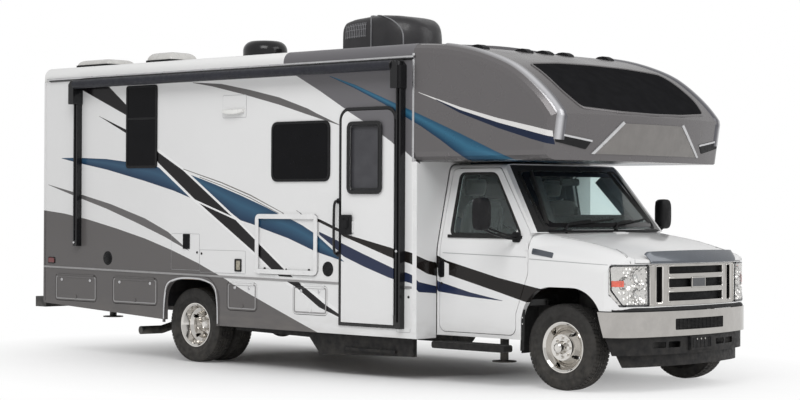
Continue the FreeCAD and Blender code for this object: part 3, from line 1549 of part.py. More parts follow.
def coach_floor():
    """The floor slab, cut back for the entry well, with the well hung under it."""
    inner = coach_half_width - wall_thickness - seat_gap
    x0, x1 = coach_rear_x + wall_thickness + seat_gap, coach_front_x - wall_thickness - seat_gap
    low = floor_top_z - floor_thickness
    slab = box(x0, x1, -inner, inner, low, floor_top_z)
    w0, w1 = entry_rear_x, entry_front_x
    slab = slab.cut(box(w0, w1, -inner - overrun, -inner + well_depth, low - overrun,
        floor_top_z + overrun))
    well = box(w0 - well_wall, w1 + well_wall, -inner, -inner + well_depth + well_wall,
        entry_low_z - well_wall, low)
    well = well.cut(box(w0, w1, -inner - overrun, -inner + well_depth, entry_low_z, floor_top_z))
    tread = box(w0, w1, -inner + well_depth / 2, -inner + well_depth, entry_low_z - well_wall, well_step_z)
    return fused([slab, well, tread])


def roof_form():
    """The crowned roof with its rounded sides, not yet hollowed."""
    half = coach_half_width
    low = wall_top_z + seat_gap
    edge_z = roof_crown_z - roof_edge_drop
    outline = [(-half, low), (-half, edge_z), (0, roof_crown_z), (half, edge_z), (half, low)]
    radii = [0, roof_edge_radius, half * 6, roof_edge_radius, 0]
    return prism_yz(outline, radii, coach_rear_x, cap_joint_x - seat_gap)


def roof():
    inner = coach_half_width - wall_thickness
    top = roof_crown_z - roof_edge_drop - roof_panel_thickness
    room = box(coach_rear_x + wall_thickness, cap_joint_x + overrun, -inner, inner, wall_top_z - overrun,
        top)
    return roof_solid.cut(room)


# Front cap

def cap_profile(inset, shrink, lean):
    """Side view of the cap at one station: inset moves the whole outline in, shrink rounds it at the shoulders, lean pushes the nose out."""
    off = inset + shrink
    rear = cap_joint_x
    low = cap_low_z + (cap_floor_thickness if inset else 0) + shrink
    reach, drop = cap_corner_x - cap_joint_x, cap_top_z - cap_corner_z
    top = []
    for along, down in cap_roof_shares:
        x = cap_joint_x + along * (reach - off * cap_nose_inset_share * along) + lean * along * along
        z = cap_top_z - off - down * (drop - off * cap_corner_inset_share)
        top.append(V(x, 0, z))
    curve = Part.BSplineCurve()
    curve.interpolate(top)
    nose = top[-1]
    chin = V(nose.x - cap_chin_setback * (nose.z - low) / (cap_corner_z - cap_low_z), 0, low)
    edges = [curve.toShape(), Part.LineSegment(nose, chin).toShape(),
             Part.LineSegment(chin, V(rear, 0, low)).toShape(), Part.LineSegment(V(rear, 0, low),
                 top[0]).toShape()]
    return Part.Wire(edges)


def cap_form(inset):
    """The cap as one closed form: a smooth middle and two rounded shoulders, lofted through side profiles."""
    half = coach_half_width - inset
    radius = cap_shoulder_radius - inset / 2
    flat = half - radius
    middle = [(flat * k, 0.0) for k in cap_width_shares]
    turns = [math.pi / 2 * i / (cap_shoulder_steps - 1) for i in range(cap_shoulder_steps)]
    shoulder = [(flat + radius * math.sin(t), radius * (1 - math.cos(t))) for t in turns]
    runs = [middle, shoulder, [(-y, s) for y, s in reversed(shoulder)]]
    pieces = []
    for run in runs:
        wires = []
        for y, shrink in run:
            lean = cap_nose_bulge * (1 - (y / half) ** 2)
            wire = cap_profile(inset, shrink, lean)
            wire.translate(V(0, y, 0))
            wires.append(wire)
        pieces.append(Part.makeLoft(wires, True, run is not middle))
    return fused(pieces)


def front_cap():
    """The moulded cap over the cab: walls, nose and bunk floor, open at the back."""
    return cap_outer.cut(cap_form(cap_wall))


# The roof and cap as closed forms, for what stands on them
roof_solid = roof_form()
cap_outer = cap_form(0)


# Hinges

def bay_hinge(side, x, width, top):
    """A barrel along the top of a storage door, with its leaf on the door's face."""
    y = side * (coach_half_width + hinge_radius + seat_gap)
    z = top + panel_gap / 2
    barrel = rod(V(x + bay_radius, y, z), V(x + width - bay_radius, y, z), hinge_radius)
    leaf = box(x + bay_radius, x + width - bay_radius, side * coach_half_width, y, z - hinge_leaf, z)
    return [barrel, leaf]


def entry_hinge():
    """The entry door's long hinge at its front edge."""
    y = -(coach_half_width + entry_frame_proud + hinge_radius + seat_gap)
    x = entry_front_x
    z0, z1 = entry_low_z + entry_radius, entry_top_z - entry_radius
    barrel = rod(V(x, y, z0), V(x, y, z1), hinge_radius)
    leaf = box(x - hinge_leaf, x - hinge_radius / 2, -(coach_half_width + entry_frame_proud), y, z0, z1)
    bridge = box(x - hinge_leaf, x, y, y + hinge_radius / 2, z0, z1)
    return [barrel, leaf, bridge]


# Entry door

def entry_frame():
    """The raised frame round the entry door."""
    y0, y1 = -(coach_half_width - wall_thickness), -(coach_half_width + entry_frame_proud)
    points, radii = entry_outline(entry_frame_width - seat_gap)
    ring = prism_xz(points, radii, y0, y1)
    points, radii = entry_outline(0)
    return ring.cut(prism_xz(points, radii, y0 + overrun, y1 - overrun))


def entry_window_span():
    return entry_rear_x + entry_window_rear, entry_front_x - entry_window_front


def entry_leaf_span():
    outer = -(coach_half_width + entry_frame_proud)
    return outer + entry_thickness, outer


def entry_door():
    """The entry door's leaf with its window cut, its handle plate and its hinge barrels."""
    y0, y1 = entry_leaf_span()
    points, radii = entry_outline(-panel_gap)
    leaf = prism_xz(points, radii, y0, y1)
    x0, x1 = entry_window_span()
    leaf = leaf.cut(pane_xz(x0, x1, entry_window_low_z, entry_window_top_z, entry_window_radius,
        y0 + overrun, y1 - overrun))
    hx = entry_rear_x + panel_gap * 3
    plate = pane_xz(hx, hx + entry_handle_length, entry_handle_z, entry_handle_z + entry_handle_width,
        panel_gap, y1, y1 - entry_frame_proud)
    return fused([leaf, plate] + entry_hinge())


def entry_window():
    y0, y1 = entry_leaf_span()
    x0, x1 = entry_window_span()
    return pane_xz(x0 + seat_gap, x1 - seat_gap, entry_window_low_z + seat_gap,
        entry_window_top_z - seat_gap,
                   entry_window_radius - seat_gap, y0 + panel_gap, y1 + panel_gap)


def entry_step():
    """The folding step under the entry, held out by its two side arms."""
    y_out = -(coach_half_width - skirt_thickness)
    tread = box(step_rear_x, step_front_x, y_out, y_out + step_depth, step_z - step_tread, step_z)
    arms = []
    top = entry_low_z - well_wall - seat_gap
    for x in (step_rear_x, step_front_x - step_side):
        points = [(y_out + step_tread, step_z - step_tread), (y_out + step_depth, step_z - step_tread),
            (y_out + step_depth, top), (y_out + step_depth / 2, top)]
        arms.append(prism_yz(points, radii_for(points, 0), x, x + step_side))
    return fused([tread] + arms)


# Storage bays

def bay_leaf(side, x, width, z, height, radius):
    """A storage door with a thumb latch near its lower edge."""
    y1 = side * coach_half_width
    leaf = pane_xz(x, x + width, z, z + height, radius, y1 - side * bay_thickness, y1)
    latch_z = z + radius
    mid = x + width / 2
    latch = rod(V(mid, y1 - side * panel_gap, latch_z), V(mid, y1 + side * hatch_proud, latch_z),
        radius / 2)
    return fused([leaf, latch] + bay_hinge(side, x, width, z + height))


def bay_block(side, x, width, grow):
    """The whole block that a storage box fills, grown by grow."""
    wall_y = side * (coach_half_width - skirt_thickness - seat_gap)
    reach = bay_tub_wall + grow
    return box(x - reach, x + width + reach, wall_y + side * grow, wall_y - side * (bay_tub_depth + grow),
               bay_low_z - reach, bay_low_z + bay_height + grow)


def bay_tub(side, x, width):
    """The box behind a storage door, open at the side wall."""
    wall_y = side * (coach_half_width - skirt_thickness - seat_gap)
    t = bay_tub_wall
    room = box(x, x + width, wall_y + side * overrun, wall_y - side * (bay_tub_depth - t), bay_low_z,
        bay_low_z + bay_height - t)
    return bay_block(side, x, width, 0).cut(room)


def bay_tubs():
    tubs = []
    for x, width in right_bays():
        tubs.append(bay_tub(-1, x, width))
    for x, width in left_bays():
        tubs.append(bay_tub(1, x, width))
    return Part.makeCompound(tubs)


def locker_box():
    """The large locker above the floor line on the right side."""
    wall_y = coach_half_width - wall_thickness - seat_gap
    t = bay_tub_wall
    x0, x1, z0, z1 = locker_x - panel_gap, locker_x + locker_width + panel_gap, locker_z - panel_gap, locker_z + locker_height + panel_gap
    outer = box(x0 - t, x1 + t, -wall_y, -(wall_y - locker_depth), floor_top_z + seat_gap, z1 + t)
    return outer.cut(box(x0, x1, -wall_y - overrun, -(wall_y - locker_depth + t), z0, z1))


# Awning

def awning_arm(x, top, low):
    """One folded arm: its rail down the wall, its head at the roller and its foot bracket."""
    wall = -(coach_half_width + seat_gap)
    y_out = wall - awning_arm_depth
    rail = box(x - awning_arm_width / 2, x + awning_arm_width / 2, wall, y_out, low, top)
    groove = box(x - awning_arm_width / 5, x + awning_arm_width / 5, y_out + awning_arm_depth / 4,
        y_out - overrun, low + awning_arm_width, top - awning_arm_width)
    head_low = awning_tube_z - awning_head_height
    points = [(x - awning_head_width / 2, head_low), (x + awning_head_width / 2, head_low),
        (x + awning_head_width / 2, awning_tube_z), (x, awning_tube_z + awning_tube_radius),
        (x - awning_head_width / 2, awning_tube_z)]
    head = prism_xz(points, radii_for(points, awning_head_width / 8), wall,
        -(awning_tube_y + awning_tube_radius / 2))
    return fused([rail.cut(groove), head])


def awning_arms():
    right_low = skirt_low_z + awning_head_width
    return Part.makeCompound([
        awning_arm(awning_rear_x, awning_tube_z, awning_arm_low_z),
        awning_arm(awning_front_x, awning_tube_z, right_low),
    ])


def awning_roller():
    """The rolled awning on its tube, between the arms' heads."""
    x0 = awning_rear_x + awning_head_width / 2 + seat_gap
    x1 = awning_front_x - awning_head_width / 2 - seat_gap
    return rod(V(x0, -awning_tube_y, awning_tube_z), V(x1, -awning_tube_y, awning_tube_z),
        awning_tube_radius)


def gutter_rails():
    """The awning rail on the right and the drip rail on the left, along the roof's edge."""
    reach = coach_half_width + seat_gap
    rails = []
    for side in (1, -1):
        points = [(side * reach, awning_rail_z), (side * (reach + awning_rail_depth),
            awning_rail_z + awning_rail_height / 2),
                  (side * (reach + awning_rail_depth), awning_rail_z + awning_rail_height), (side * reach,
                      awning_rail_z + awning_rail_height)]
        rails.append(prism_yz(points, radii_for(points, 0), coach_rear_x + roof_edge_radius,
            coach_front_x - cap_joint_setback - seat_gap))
    return Part.makeCompound(rails)


# Roof fittings

def roof_height(y):
    """The height of the roof's crown at a distance from the middle."""
    half = coach_half_width
    rise = roof_edge_drop
    return roof_crown_z - rise * abs(y) / half


def on_roof(x0, x1, y0, y1, top, draft, radius):
    """A raised lid with sloping sides that sits on the roof, cut to the roof's crown."""
    low = roof_height(max(abs(y0), abs(y1))) - roof_edge_drop
    def ring(inset, z):
        points = corners(x0 + inset, x1 - inset, y0 + inset, y1 - inset)
        return rounded_wire(points, radii_for(points, radius), lambda u, v: V(u, v, z))
    body = Part.makeLoft([ring(0, low), ring(draft, top)], True, True)
    return body.cut(roof_solid)


def air_conditioner():
    """The roof air conditioner's moulded shroud, louvred at its tail."""
    rear, front = cooler_rear_x, cooler_rear_x + cooler_length
    low = roof_crown_z - roof_edge_drop
    tail = cooler_top_z - cooler_tail / 4
    height = cooler_top_z - roof_crown_z
    points = [(rear, low), (front, low), (front - cooler_radius / 6, roof_crown_z + height / 2),
        (front - cooler_length / 2, cooler_top_z - height / 16),
              (rear + cooler_tail, cooler_top_z), (rear, tail)]
    side = prism_xz(points, [0, 0, cooler_radius, cooler_length / 2, cooler_radius / 2, cooler_radius / 4],
        -cooler_half_width, cooler_half_width)
    half, top = cooler_half_width, cooler_top_z
    end = [(-half, low), (-half, roof_crown_z + height / 3), (-half + cooler_radius * 2 / 3, top),
        (half - cooler_radius * 2 / 3, top), (half, roof_crown_z + height / 3), (half, low)]
    section = prism_yz(end, [0, cooler_radius, cooler_radius, cooler_radius, cooler_radius, 0],
        rear - overrun, front + overrun)
    body = side.common(section)
    pitch = (2 * half - cooler_radius * 2) / cooler_fin_count
    for i in range(cooler_fin_count):
        y = -half + cooler_radius + (i + 0.5) * pitch
        body = body.cut(box(rear - overrun, rear + cooler_tail / 3, y - pitch / 2 + cooler_fin_gap,
            y + pitch / 2, roof_crown_z + height / 6, tail - height / 6))
    return body.cut(roof_solid)


def roof_vents():
    """The lidded vents and the skylight dome on the roof."""
    half = vent_size / 2
    top = roof_crown_z + vent_height
    pieces = []
    for x, y in ((vent_x, vent_y), (fan_x, -vent_y)):
        pieces.append(on_roof(x - half, x + half, y - half, y + half, top, vent_height / 3, vent_size / 8))
    return Part.makeCompound(pieces)


def skylight():
    y0, y1 = skylight_y - skylight_width / 2, skylight_y + skylight_width / 2
    return on_roof(skylight_x, skylight_x + skylight_length, y0, y1, roof_crown_z + skylight_height,
        skylight_height / 2, skylight_width / 4)


def roof_dome():
    """The round dark dome on the roof."""
    low = roof_height(antenna_y) - roof_edge_drop
    points = corners(antenna_x, antenna_x + antenna_radius, low, roof_crown_z + antenna_height)
    wire = rounded_wire(points, [0, 0, antenna_height * 2 / 3, 0], lambda u, v: V(u, antenna_y, v))
    body = Part.Face(wire).revolve(V(antenna_x, antenna_y, 0), V(0, 0, 1), 360)
    return body.cut(roof_solid)


def marker_lamps():
    """Five clearance lamps across the cap's brow."""
    lamps = []
    for y in (-marker_outer_y, -marker_centre_y, 0, marker_centre_y, marker_outer_y):
        z = top_of(cap_outer, marker_x, y)
        body = box(marker_x - marker_length / 2, marker_x + marker_length / 2, y - marker_width / 2,
            y + marker_width / 2, z - marker_height, z + marker_height)
        lamps.append(body.cut(cap_outer))
    return Part.makeCompound(lamps)


# Rear end

def rear_bumper():
    """The rear bumper beam on its two arms from the frame."""
    tip = -total_length / 2
    z0, z1 = rear_bumper_z - rear_bumper_height / 2, rear_bumper_z + rear_bumper_height / 2
    x1 = coach_rear_x - seat_gap
    return box(tip, x1, -rear_bumper_half_width, rear_bumper_half_width, z0, z1)


def ladder():
    """The rear ladder of bent tube with its rungs and feet."""
    x = coach_rear_x - ladder_standoff
    top = roof_crown_z + ladder_standoff
    pieces = []
    for y in (ladder_y - ladder_width / 2, ladder_y + ladder_width / 2):
        pieces.append(bent_tube([V(coach_rear_x, y, ladder_low_z), V(x, y, ladder_low_z), V(x, y, top),
            V(coach_rear_x + ladder_top_reach, y, top),
                                 V(coach_rear_x + ladder_top_reach, y,
                                     roof_height(y) - roof_edge_drop / 3)], ladder_tube_radius,
                                     ladder_tube_radius * 4))
    count = int((top - ladder_low_z) / ladder_rung_pitch)
    for i in range(1, count):
        z = ladder_low_z + i * ladder_rung_pitch
        pieces.append(rod(V(x, ladder_y - ladder_width / 2, z), V(x, ladder_y + ladder_width / 2, z),
            ladder_tube_radius * 3 / 4))
    return fused(pieces).cut(roof_solid)


def tail_lamps():
    x0 = coach_rear_x - tail_lamp_thickness
    lamps = []
    for side in (1, -1):
        points = corners(side * (tail_lamp_y - tail_lamp_width / 2),
            side * (tail_lamp_y + tail_lamp_width / 2), tail_lamp_z, tail_lamp_z + tail_lamp_height)
        lamps.append(prism_yz(points, radii_for(points, tail_lamp_width / 5), x0, coach_rear_x - seat_gap))
    return Part.makeCompound(lamps)


# Under the floor

def tanks():
    """The fuel, waste and gas tanks hung under the floor."""
    low = rail_top_z - rail_height
    half = rail_y - rail_flange - seat_gap
    points = corners(-half, half, low - tank_drop / 3, rail_top_z - crossmember_size / 2 - seat_gap)
    fuel = prism_yz(points, radii_for(points, tank_radius), fuel_tank_x, fuel_tank_x + fuel_tank_length)
    inner = rail_y + seat_gap
    points = corners(inner, inner + waste_tank_width, low - tank_drop / 3, rail_top_z)
    waste = prism_yz(points, radii_for(points, tank_radius), waste_tank_x, waste_tank_x + waste_tank_length)
    y = rail_y + gas_tank_radius + seat_gap
    z = rail_top_z - gas_tank_radius
    gas = rod(V(gas_tank_x, y, z), V(gas_tank_x + gas_tank_length, y, z), gas_tank_radius)
    return Part.makeCompound([fuel, waste, gas])


def exhaust():
    """The exhaust from the engine back past the rear axle, out at the right side."""
    clear_z = tyre_radius + axle_tube_radius + exhaust_radius * 5 / 2
    near, past = rear_axle_x + diff_radius * 5 / 2, rear_axle_x - diff_radius * 5 / 2
    route = [
        V(exhaust_start_x, exhaust_y, exhaust_z), V(near + diff_radius, exhaust_y,
            exhaust_z), V(near - diff_radius / 2, exhaust_y, clear_z),
        V(past + diff_radius / 2, exhaust_y, clear_z), V(past - diff_radius, exhaust_y,
            exhaust_z), V(exhaust_end_x, exhaust_y, exhaust_z),
        V(exhaust_end_x, exhaust_end_y + exhaust_radius * 6,
            exhaust_end_z), V(exhaust_end_x - exhaust_radius, exhaust_end_y, exhaust_end_z),
    ]
    pipe = bent_tube(route, exhaust_radius, exhaust_radius * 2)
    box_end = silencer_x + silencer_length
    silencer = rod(V(silencer_x, exhaust_y, exhaust_z), V(box_end, exhaust_y, exhaust_z), silencer_radius)
    hangers = []
    for x in (silencer_x - exhaust_radius, rear_axle_x - leaf_half_length):
        hangers.append(box(x, x + rail_wall, rail_flange - rail_y + seat_gap, exhaust_y + rail_wall,
            exhaust_z, rail_top_z - rail_height / 2))
    return fused([pipe, silencer] + hangers)


def jacks():
    """The four levelling jacks under the frame, drawn up."""
    low = rail_top_z - rail_height
    pieces = []
    for x, foot_z in ((jack_front_x, jack_front_z), (jack_rear_x, jack_rear_z)):
        for side in (1, -1):
            at = V(x, side * jack_y, foot_z)
            foot = rod(at, at + V(0, 0, jack_foot_thickness), jack_foot_radius)
            leg = rod(at, V(x, side * jack_y, rail_top_z - rail_height / 4), jack_radius)
            bracket = box(x - jack_radius * 2, x + jack_radius * 2, side * (rail_y + seat_gap),
                side * (jack_y + jack_radius), low, low + rail_height / 2)
            pieces.append(fused([foot, leg, bracket]))
    return Part.makeCompound(pieces)


# Steps and mirrors

def running_boards():
    """The steps under the cab doors on their brackets."""
    top = board_low_z + board_height
    inner = board_y - board_width / 2
    points = corners(board_rear_x, board_front_x, board_low_z, top)
    tread = prism_xz(points, radii_for(points, board_height / 3), -inner, -inner - board_width)
    pieces = [tread]
    for share in (0.15, 0.85):
        x = board_rear_x + share * (board_front_x - board_rear_x)
        arm = box(x - board_bracket / 2, x + board_bracket / 2, -inner, -(cab_half_width - cab_skin / 2) ,
            board_low_z, board_low_z + board_height / 3)
        strut = box(x - board_bracket / 2, x + board_bracket / 2, -(cab_half_width - cab_skin / 2),
            -(cab_half_width - cab_skin), board_low_z, cab_low_z - seat_gap)
        pieces += [arm, strut]
    return both_sides(fused(pieces))


def mirror(side):
    """A towing mirror: its head, its two arms and its base on the door."""
    top = mirror_low_z + mirror_height
    y_out, y_in = side * mirror_reach, side * (mirror_reach - mirror_width)
    points = corners(y_in, y_out, mirror_low_z, top)
    head = prism_yz(points, radii_for(points, mirror_width / 4), mirror_x - mirror_depth / 2,
        mirror_x + mirror_depth / 2)
    pieces = [head]
    base_y = side * (cab_half_width - cab_skin / 2)
    for z in (mirror_low_z + mirror_height / 5, top - mirror_height / 3):
        pieces.append(rod(V(mirror_x, side * (mirror_reach - mirror_width / 2), z), V(mirror_base_x,
            side * cab_half_width, mirror_low_z - mirror_base_height / 2), mirror_arm_radius))
    base = box(mirror_base_x - mirror_base_length / 2, mirror_base_x + mirror_base_length / 2, base_y,
        side * (cab_half_width + mirror_base_thickness),
               mirror_low_z - mirror_base_height * 3 / 2, mirror_low_z - mirror_base_height / 2 + mirror_arm_radius)
    return fused(pieces + [base]).cut(cab_outer)


# Fittings on the walls

def grab_handle():
    y = -(coach_half_width + seat_gap)
    out = -(coach_half_width + grab_handle_reach)
    z0, z1 = grab_handle_low_z, grab_handle_top_z
    return bent_tube([V(grab_handle_x, y, z0), V(grab_handle_x, out, z0), V(grab_handle_x, out, z1),
        V(grab_handle_x, y, z1)], grab_handle_radius, grab_handle_radius * 2)


def wall_fittings():
    """Hatches, flaps, vents and lamps that stand a little proud of the walls."""
    reach = coach_half_width + seat_gap
    far = -(reach + hatch_proud)
    pieces = []
    for x0, x1, z0, z1 in ((hatch_a_x, hatch_a_x + hatch_a_width, hatch_a_z, hatch_a_z + hatch_a_height),
                           (hatch_b_x, hatch_b_x + hatch_b_width, hatch_b_z, hatch_b_z + hatch_b_height),
                           (hood_vent_x, hood_vent_x + hood_vent_width, hood_vent_z,
                               hood_vent_z + hood_vent_height)):
        pieces.append(pane_xz(x0, x1, z0, z1, panel_gap * 2, -reach, far))
    for x, z in ((speaker_x, speaker_z), (filler_x, filler_z)):
        pieces.append(rod(V(x, -reach, z), V(x, far - hatch_proud, z), flap_radius))
    pieces.append(grab_handle())
    return Part.makeCompound(pieces)


nodes = {}


def build():
    nodes["frame"] = together(frame(), joists())
    nodes["front_suspension"] = front_suspension()
    nodes["rear_axle"] = rear_axle()
    nodes["engine_and_gearbox"] = engine_and_gearbox()
    nodes["under_floor_gear"] = together(tanks(), exhaust(), jacks())
    nodes["cab_shell"] = cab_shell()
    nodes["windshield"] = windshield()
    nodes["dashboard"] = dashboard()
    nodes["front_seats"] = front_seats()
    nodes["hood"] = hood()
    nodes["hood_deflector"] = hood_deflector()
    nodes["grille"] = grille()
    nodes["grille_backing"] = grille_backing()
    nodes["headlamps"] = headlamps()
    nodes["front_bumper"] = front_bumper()
    nodes["air_dam"] = together(air_dam(), plate_bracket())
    nodes["steps"] = together(running_boards(), entry_step())
    for name, side in (("left", 1), ("right", -1)):
        nodes[f"cab_door_{name}"] = cab_door(side)
        nodes[f"cab_door_glass_{name}"] = cab_door_glass(side)
        nodes[f"mirror_{name}"] = mirror(side)
        nodes[f"knuckle_{name}"] = knuckle(side)
        nodes[f"front_tyre_{name}"], nodes[f"front_rim_{name}"] = front_wheel(side)
        nodes[f"rear_tyres_{name}"], nodes[f"rear_rims_{name}"] = rear_wheels(side)
    nodes["side_walls"] = together(side_wall(1), side_wall(-1))
    nodes["skirts"] = together(skirt(1), skirt(-1))
    nodes["coach_windows"] = window_glass()
    nodes["end_walls"] = together(rear_wall(), front_wall())
    nodes["coach_floor"] = coach_floor()
    nodes["roof"] = roof()
    nodes["front_cap"] = front_cap()
    nodes["entry_frame"] = entry_frame()
    nodes["entry_door"] = entry_door()
    nodes["entry_window"] = entry_window()
    for letter, (x, width) in zip("abcd", right_bays()):
        nodes[f"bay_door_right_{letter}"] = bay_leaf(-1, x, width, bay_low_z, bay_height, bay_radius)
    nodes["locker_door"] = bay_leaf(-1, locker_x, locker_width, locker_z, locker_height, locker_radius)
    for letter, (x, width) in zip("ab", left_bays()):
        nodes[f"bay_door_left_{letter}"] = bay_leaf(1, x, width, bay_low_z, bay_height, bay_radius)
    nodes["storage_boxes"] = together(bay_tubs(), locker_box())
    nodes["awning_arms"] = together(awning_arms(), gutter_rails())
    nodes["awning_roller"] = awning_roller()
    nodes["air_conditioner"] = air_conditioner()
    nodes["roof_vents"] = together(roof_vents(), skylight())
    nodes["roof_dome"] = roof_dome()
    nodes["lamps"] = together(marker_lamps(), tail_lamps())
    nodes["rear_bumper"] = rear_bumper()
    nodes["ladder"] = ladder()
    nodes["wall_fittings"] = wall_fittings()


build()
for name, shape in nodes.items():
    shape.exportStep(f"parts/{name}.step")
    print(name, len(shape.Solids), "solids, volume", round(shape.Volume / 1e6, 2), "litres, valid",
        shape.isValid())
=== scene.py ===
import bpy, bmesh, math
from mathutils import Matrix, Vector
from mathutils.bvhtree import BVHTree
from mathutils.geometry import delaunay_2d_cdt


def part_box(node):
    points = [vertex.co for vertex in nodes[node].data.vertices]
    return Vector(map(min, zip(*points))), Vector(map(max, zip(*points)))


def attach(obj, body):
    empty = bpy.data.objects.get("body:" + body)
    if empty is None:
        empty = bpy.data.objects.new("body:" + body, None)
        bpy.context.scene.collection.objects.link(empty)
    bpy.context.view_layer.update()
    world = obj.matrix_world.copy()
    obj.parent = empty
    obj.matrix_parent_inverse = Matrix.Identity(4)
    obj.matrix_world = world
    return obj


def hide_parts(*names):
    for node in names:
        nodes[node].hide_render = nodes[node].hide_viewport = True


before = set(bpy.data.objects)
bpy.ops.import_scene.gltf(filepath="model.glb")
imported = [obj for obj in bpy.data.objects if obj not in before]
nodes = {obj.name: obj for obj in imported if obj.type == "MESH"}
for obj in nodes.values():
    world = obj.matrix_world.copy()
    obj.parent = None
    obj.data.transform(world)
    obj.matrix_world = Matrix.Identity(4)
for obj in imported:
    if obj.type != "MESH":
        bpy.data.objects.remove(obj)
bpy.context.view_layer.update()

wallFace, rearFace = 1.27, 3.73  # how far out the coach's side walls and its rear wall stand
sunk, clear = 0.0004, 0.0002  # how far backs of fittings reach into a wall, and of lamps stand off it
axles = {
    "front": 3.15, "rear": -1.32, "height": 0.372, "frontTrack": 0.8815, "rearTrack": 0.99, "twin": 0.128,
}
print("frame loaded")

# camera, where the photograph was taken from
cameraAt = {
    "place": (13.597, -14.301, 1.5845), "turn": 133.251, "tilt": 0.298, "roll": 0.294, "lens": 88.771,
    "shift": (0.01862, -0.00697),
}


def placeCamera(c):
    turn, tilt, roll = (math.radians(c[k]) for k in ("turn", "tilt", "roll"))
    ahead = Vector((math.cos(turn) * math.cos(tilt), math.sin(turn) * math.cos(tilt), math.sin(tilt)))
    side = ahead.cross(Vector((0, 0, 1))).normalized()
    up = side.cross(ahead)
    right = side * math.cos(roll) + up * math.sin(roll)
    top = right.cross(ahead)
    camera = bpy.data.objects.new("camera", bpy.data.cameras.new("camera"))
    bpy.context.scene.collection.objects.link(camera)
    spin = Matrix((right, top, -ahead)).transposed().to_4x4()
    camera.matrix_world = Matrix.Translation(c["place"]) @ spin
    camera.data.lens = c["lens"]
    camera.data.sensor_width = 36
    camera.data.shift_x, camera.data.shift_y = c["shift"]
    camera.data.clip_end = 200
    bpy.context.scene.camera = camera


placeCamera(cameraAt)


# material building: small helpers that add nodes to one material's tree
class Tree:
    def __init__(self, name):
        self.material = bpy.data.materials.new(name)
        self.material.use_nodes = True
        self.nodes = self.material.node_tree.nodes
        self.links = self.material.node_tree.links
        self.shader = self.nodes["Principled BSDF"]
        self.place = self.add("ShaderNodeTexCoord").outputs["Object"]
        split = self.add("ShaderNodeSeparateXYZ", self.place)
        self.x, self.y, self.z = split.outputs

    def add(self, kind, *sources, **settings):
        node = self.nodes.new(kind)
        for key, value in settings.items():
            setattr(node, key, value)
        for i, source in enumerate(sources):
            self.plug(source, node.inputs[i])
        return node

    def plug(self, source, socket):
        if isinstance(source, bpy.types.NodeSocket):
            self.links.new(source, socket)
        elif source is not None:
            socket.default_value = source

    def math(self, operation, *sources):
        return self.add("ShaderNodeMath", *sources, operation=operation).outputs[0]

    def mix(self, share, a, b):
        node = self.add("ShaderNodeMix", data_type="RGBA")
        for source, socket in zip((share, a, b), (node.inputs[0], node.inputs[6], node.inputs[7])):
            self.plug(source, socket)
        return node.outputs[2]

    def noise(self, scale, detail=3, stretch=None):
        place = self.place
        if stretch:
            place = self.add("ShaderNodeMapping", place).outputs[0]
            place.node.inputs["Scale"].default_value = stretch
        node = self.add("ShaderNodeTexNoise", place)
        node.inputs["Scale"].default_value = scale
        node.inputs["Detail"].default_value = detail
        return node.outputs[0]

    def between(self, value, low, high, start=0.0, end=1.0):
        return self.add("ShaderNodeMapRange", value, low, high, start, end).outputs[0]

    def times(self, first, *factors):
        for factor in factors:
            first = self.math("MULTIPLY", first, factor)
        return first

    def above(self, value, limit):
        return self.math("GREATER_THAN", value, limit)

    def below(self, value, limit):
        return self.math("LESS_THAN", value, limit)

    def away(self, value, place):
        return self.math("SUBTRACT", value, place)

    def set(self, **values):
        for key, value in values.items():
            self.plug(value, self.shader.inputs[key.replace("_", " ")])

    def bump(self, height, strength, distance):
        node = self.add("ShaderNodeBump")
        node.inputs["Strength"].default_value = strength
        node.inputs["Distance"].default_value = distance
        self.plug(height, node.inputs["Height"])
        self.plug(node.outputs[0], self.shader.inputs["Normal"])


def rgb(*c):
    return (*c[:3], 1) if len(c) > 1 else (c[0], c[0], c[0], 1)


def surface(name, colour, rough, metal=0.0, vary=0.06, grain=None, dust=0.0, coat=0.0, **more):
    t = Tree(name)
    dark, light = (rgb(*(min(1, c * share) for c in colour)) for share in (1 - vary, 1 + vary))
    base = t.mix(t.between(t.noise(9, 5), 0.35, 0.65), dark, light)
    if dust:
        low = t.times(t.between(t.z, 0.75, 0.15), dust)
        base = t.mix(t.times(low, t.between(t.noise(14, 6), 0.3, 0.7)), base, rgb(0.32, 0.29, 0.25))
    wear = t.between(t.noise(30, 4), 0.3, 0.7, max(0.02, rough * 0.8), min(1, rough * 1.25))
    t.set(Base_Color=base, Roughness=wear, Metallic=metal, Coat_Weight=coat, Coat_Roughness=0.05, **more)
    if grain:
        scale, strength, distance = grain
        t.bump(t.noise(scale, 4), strength, distance)
    return t.material


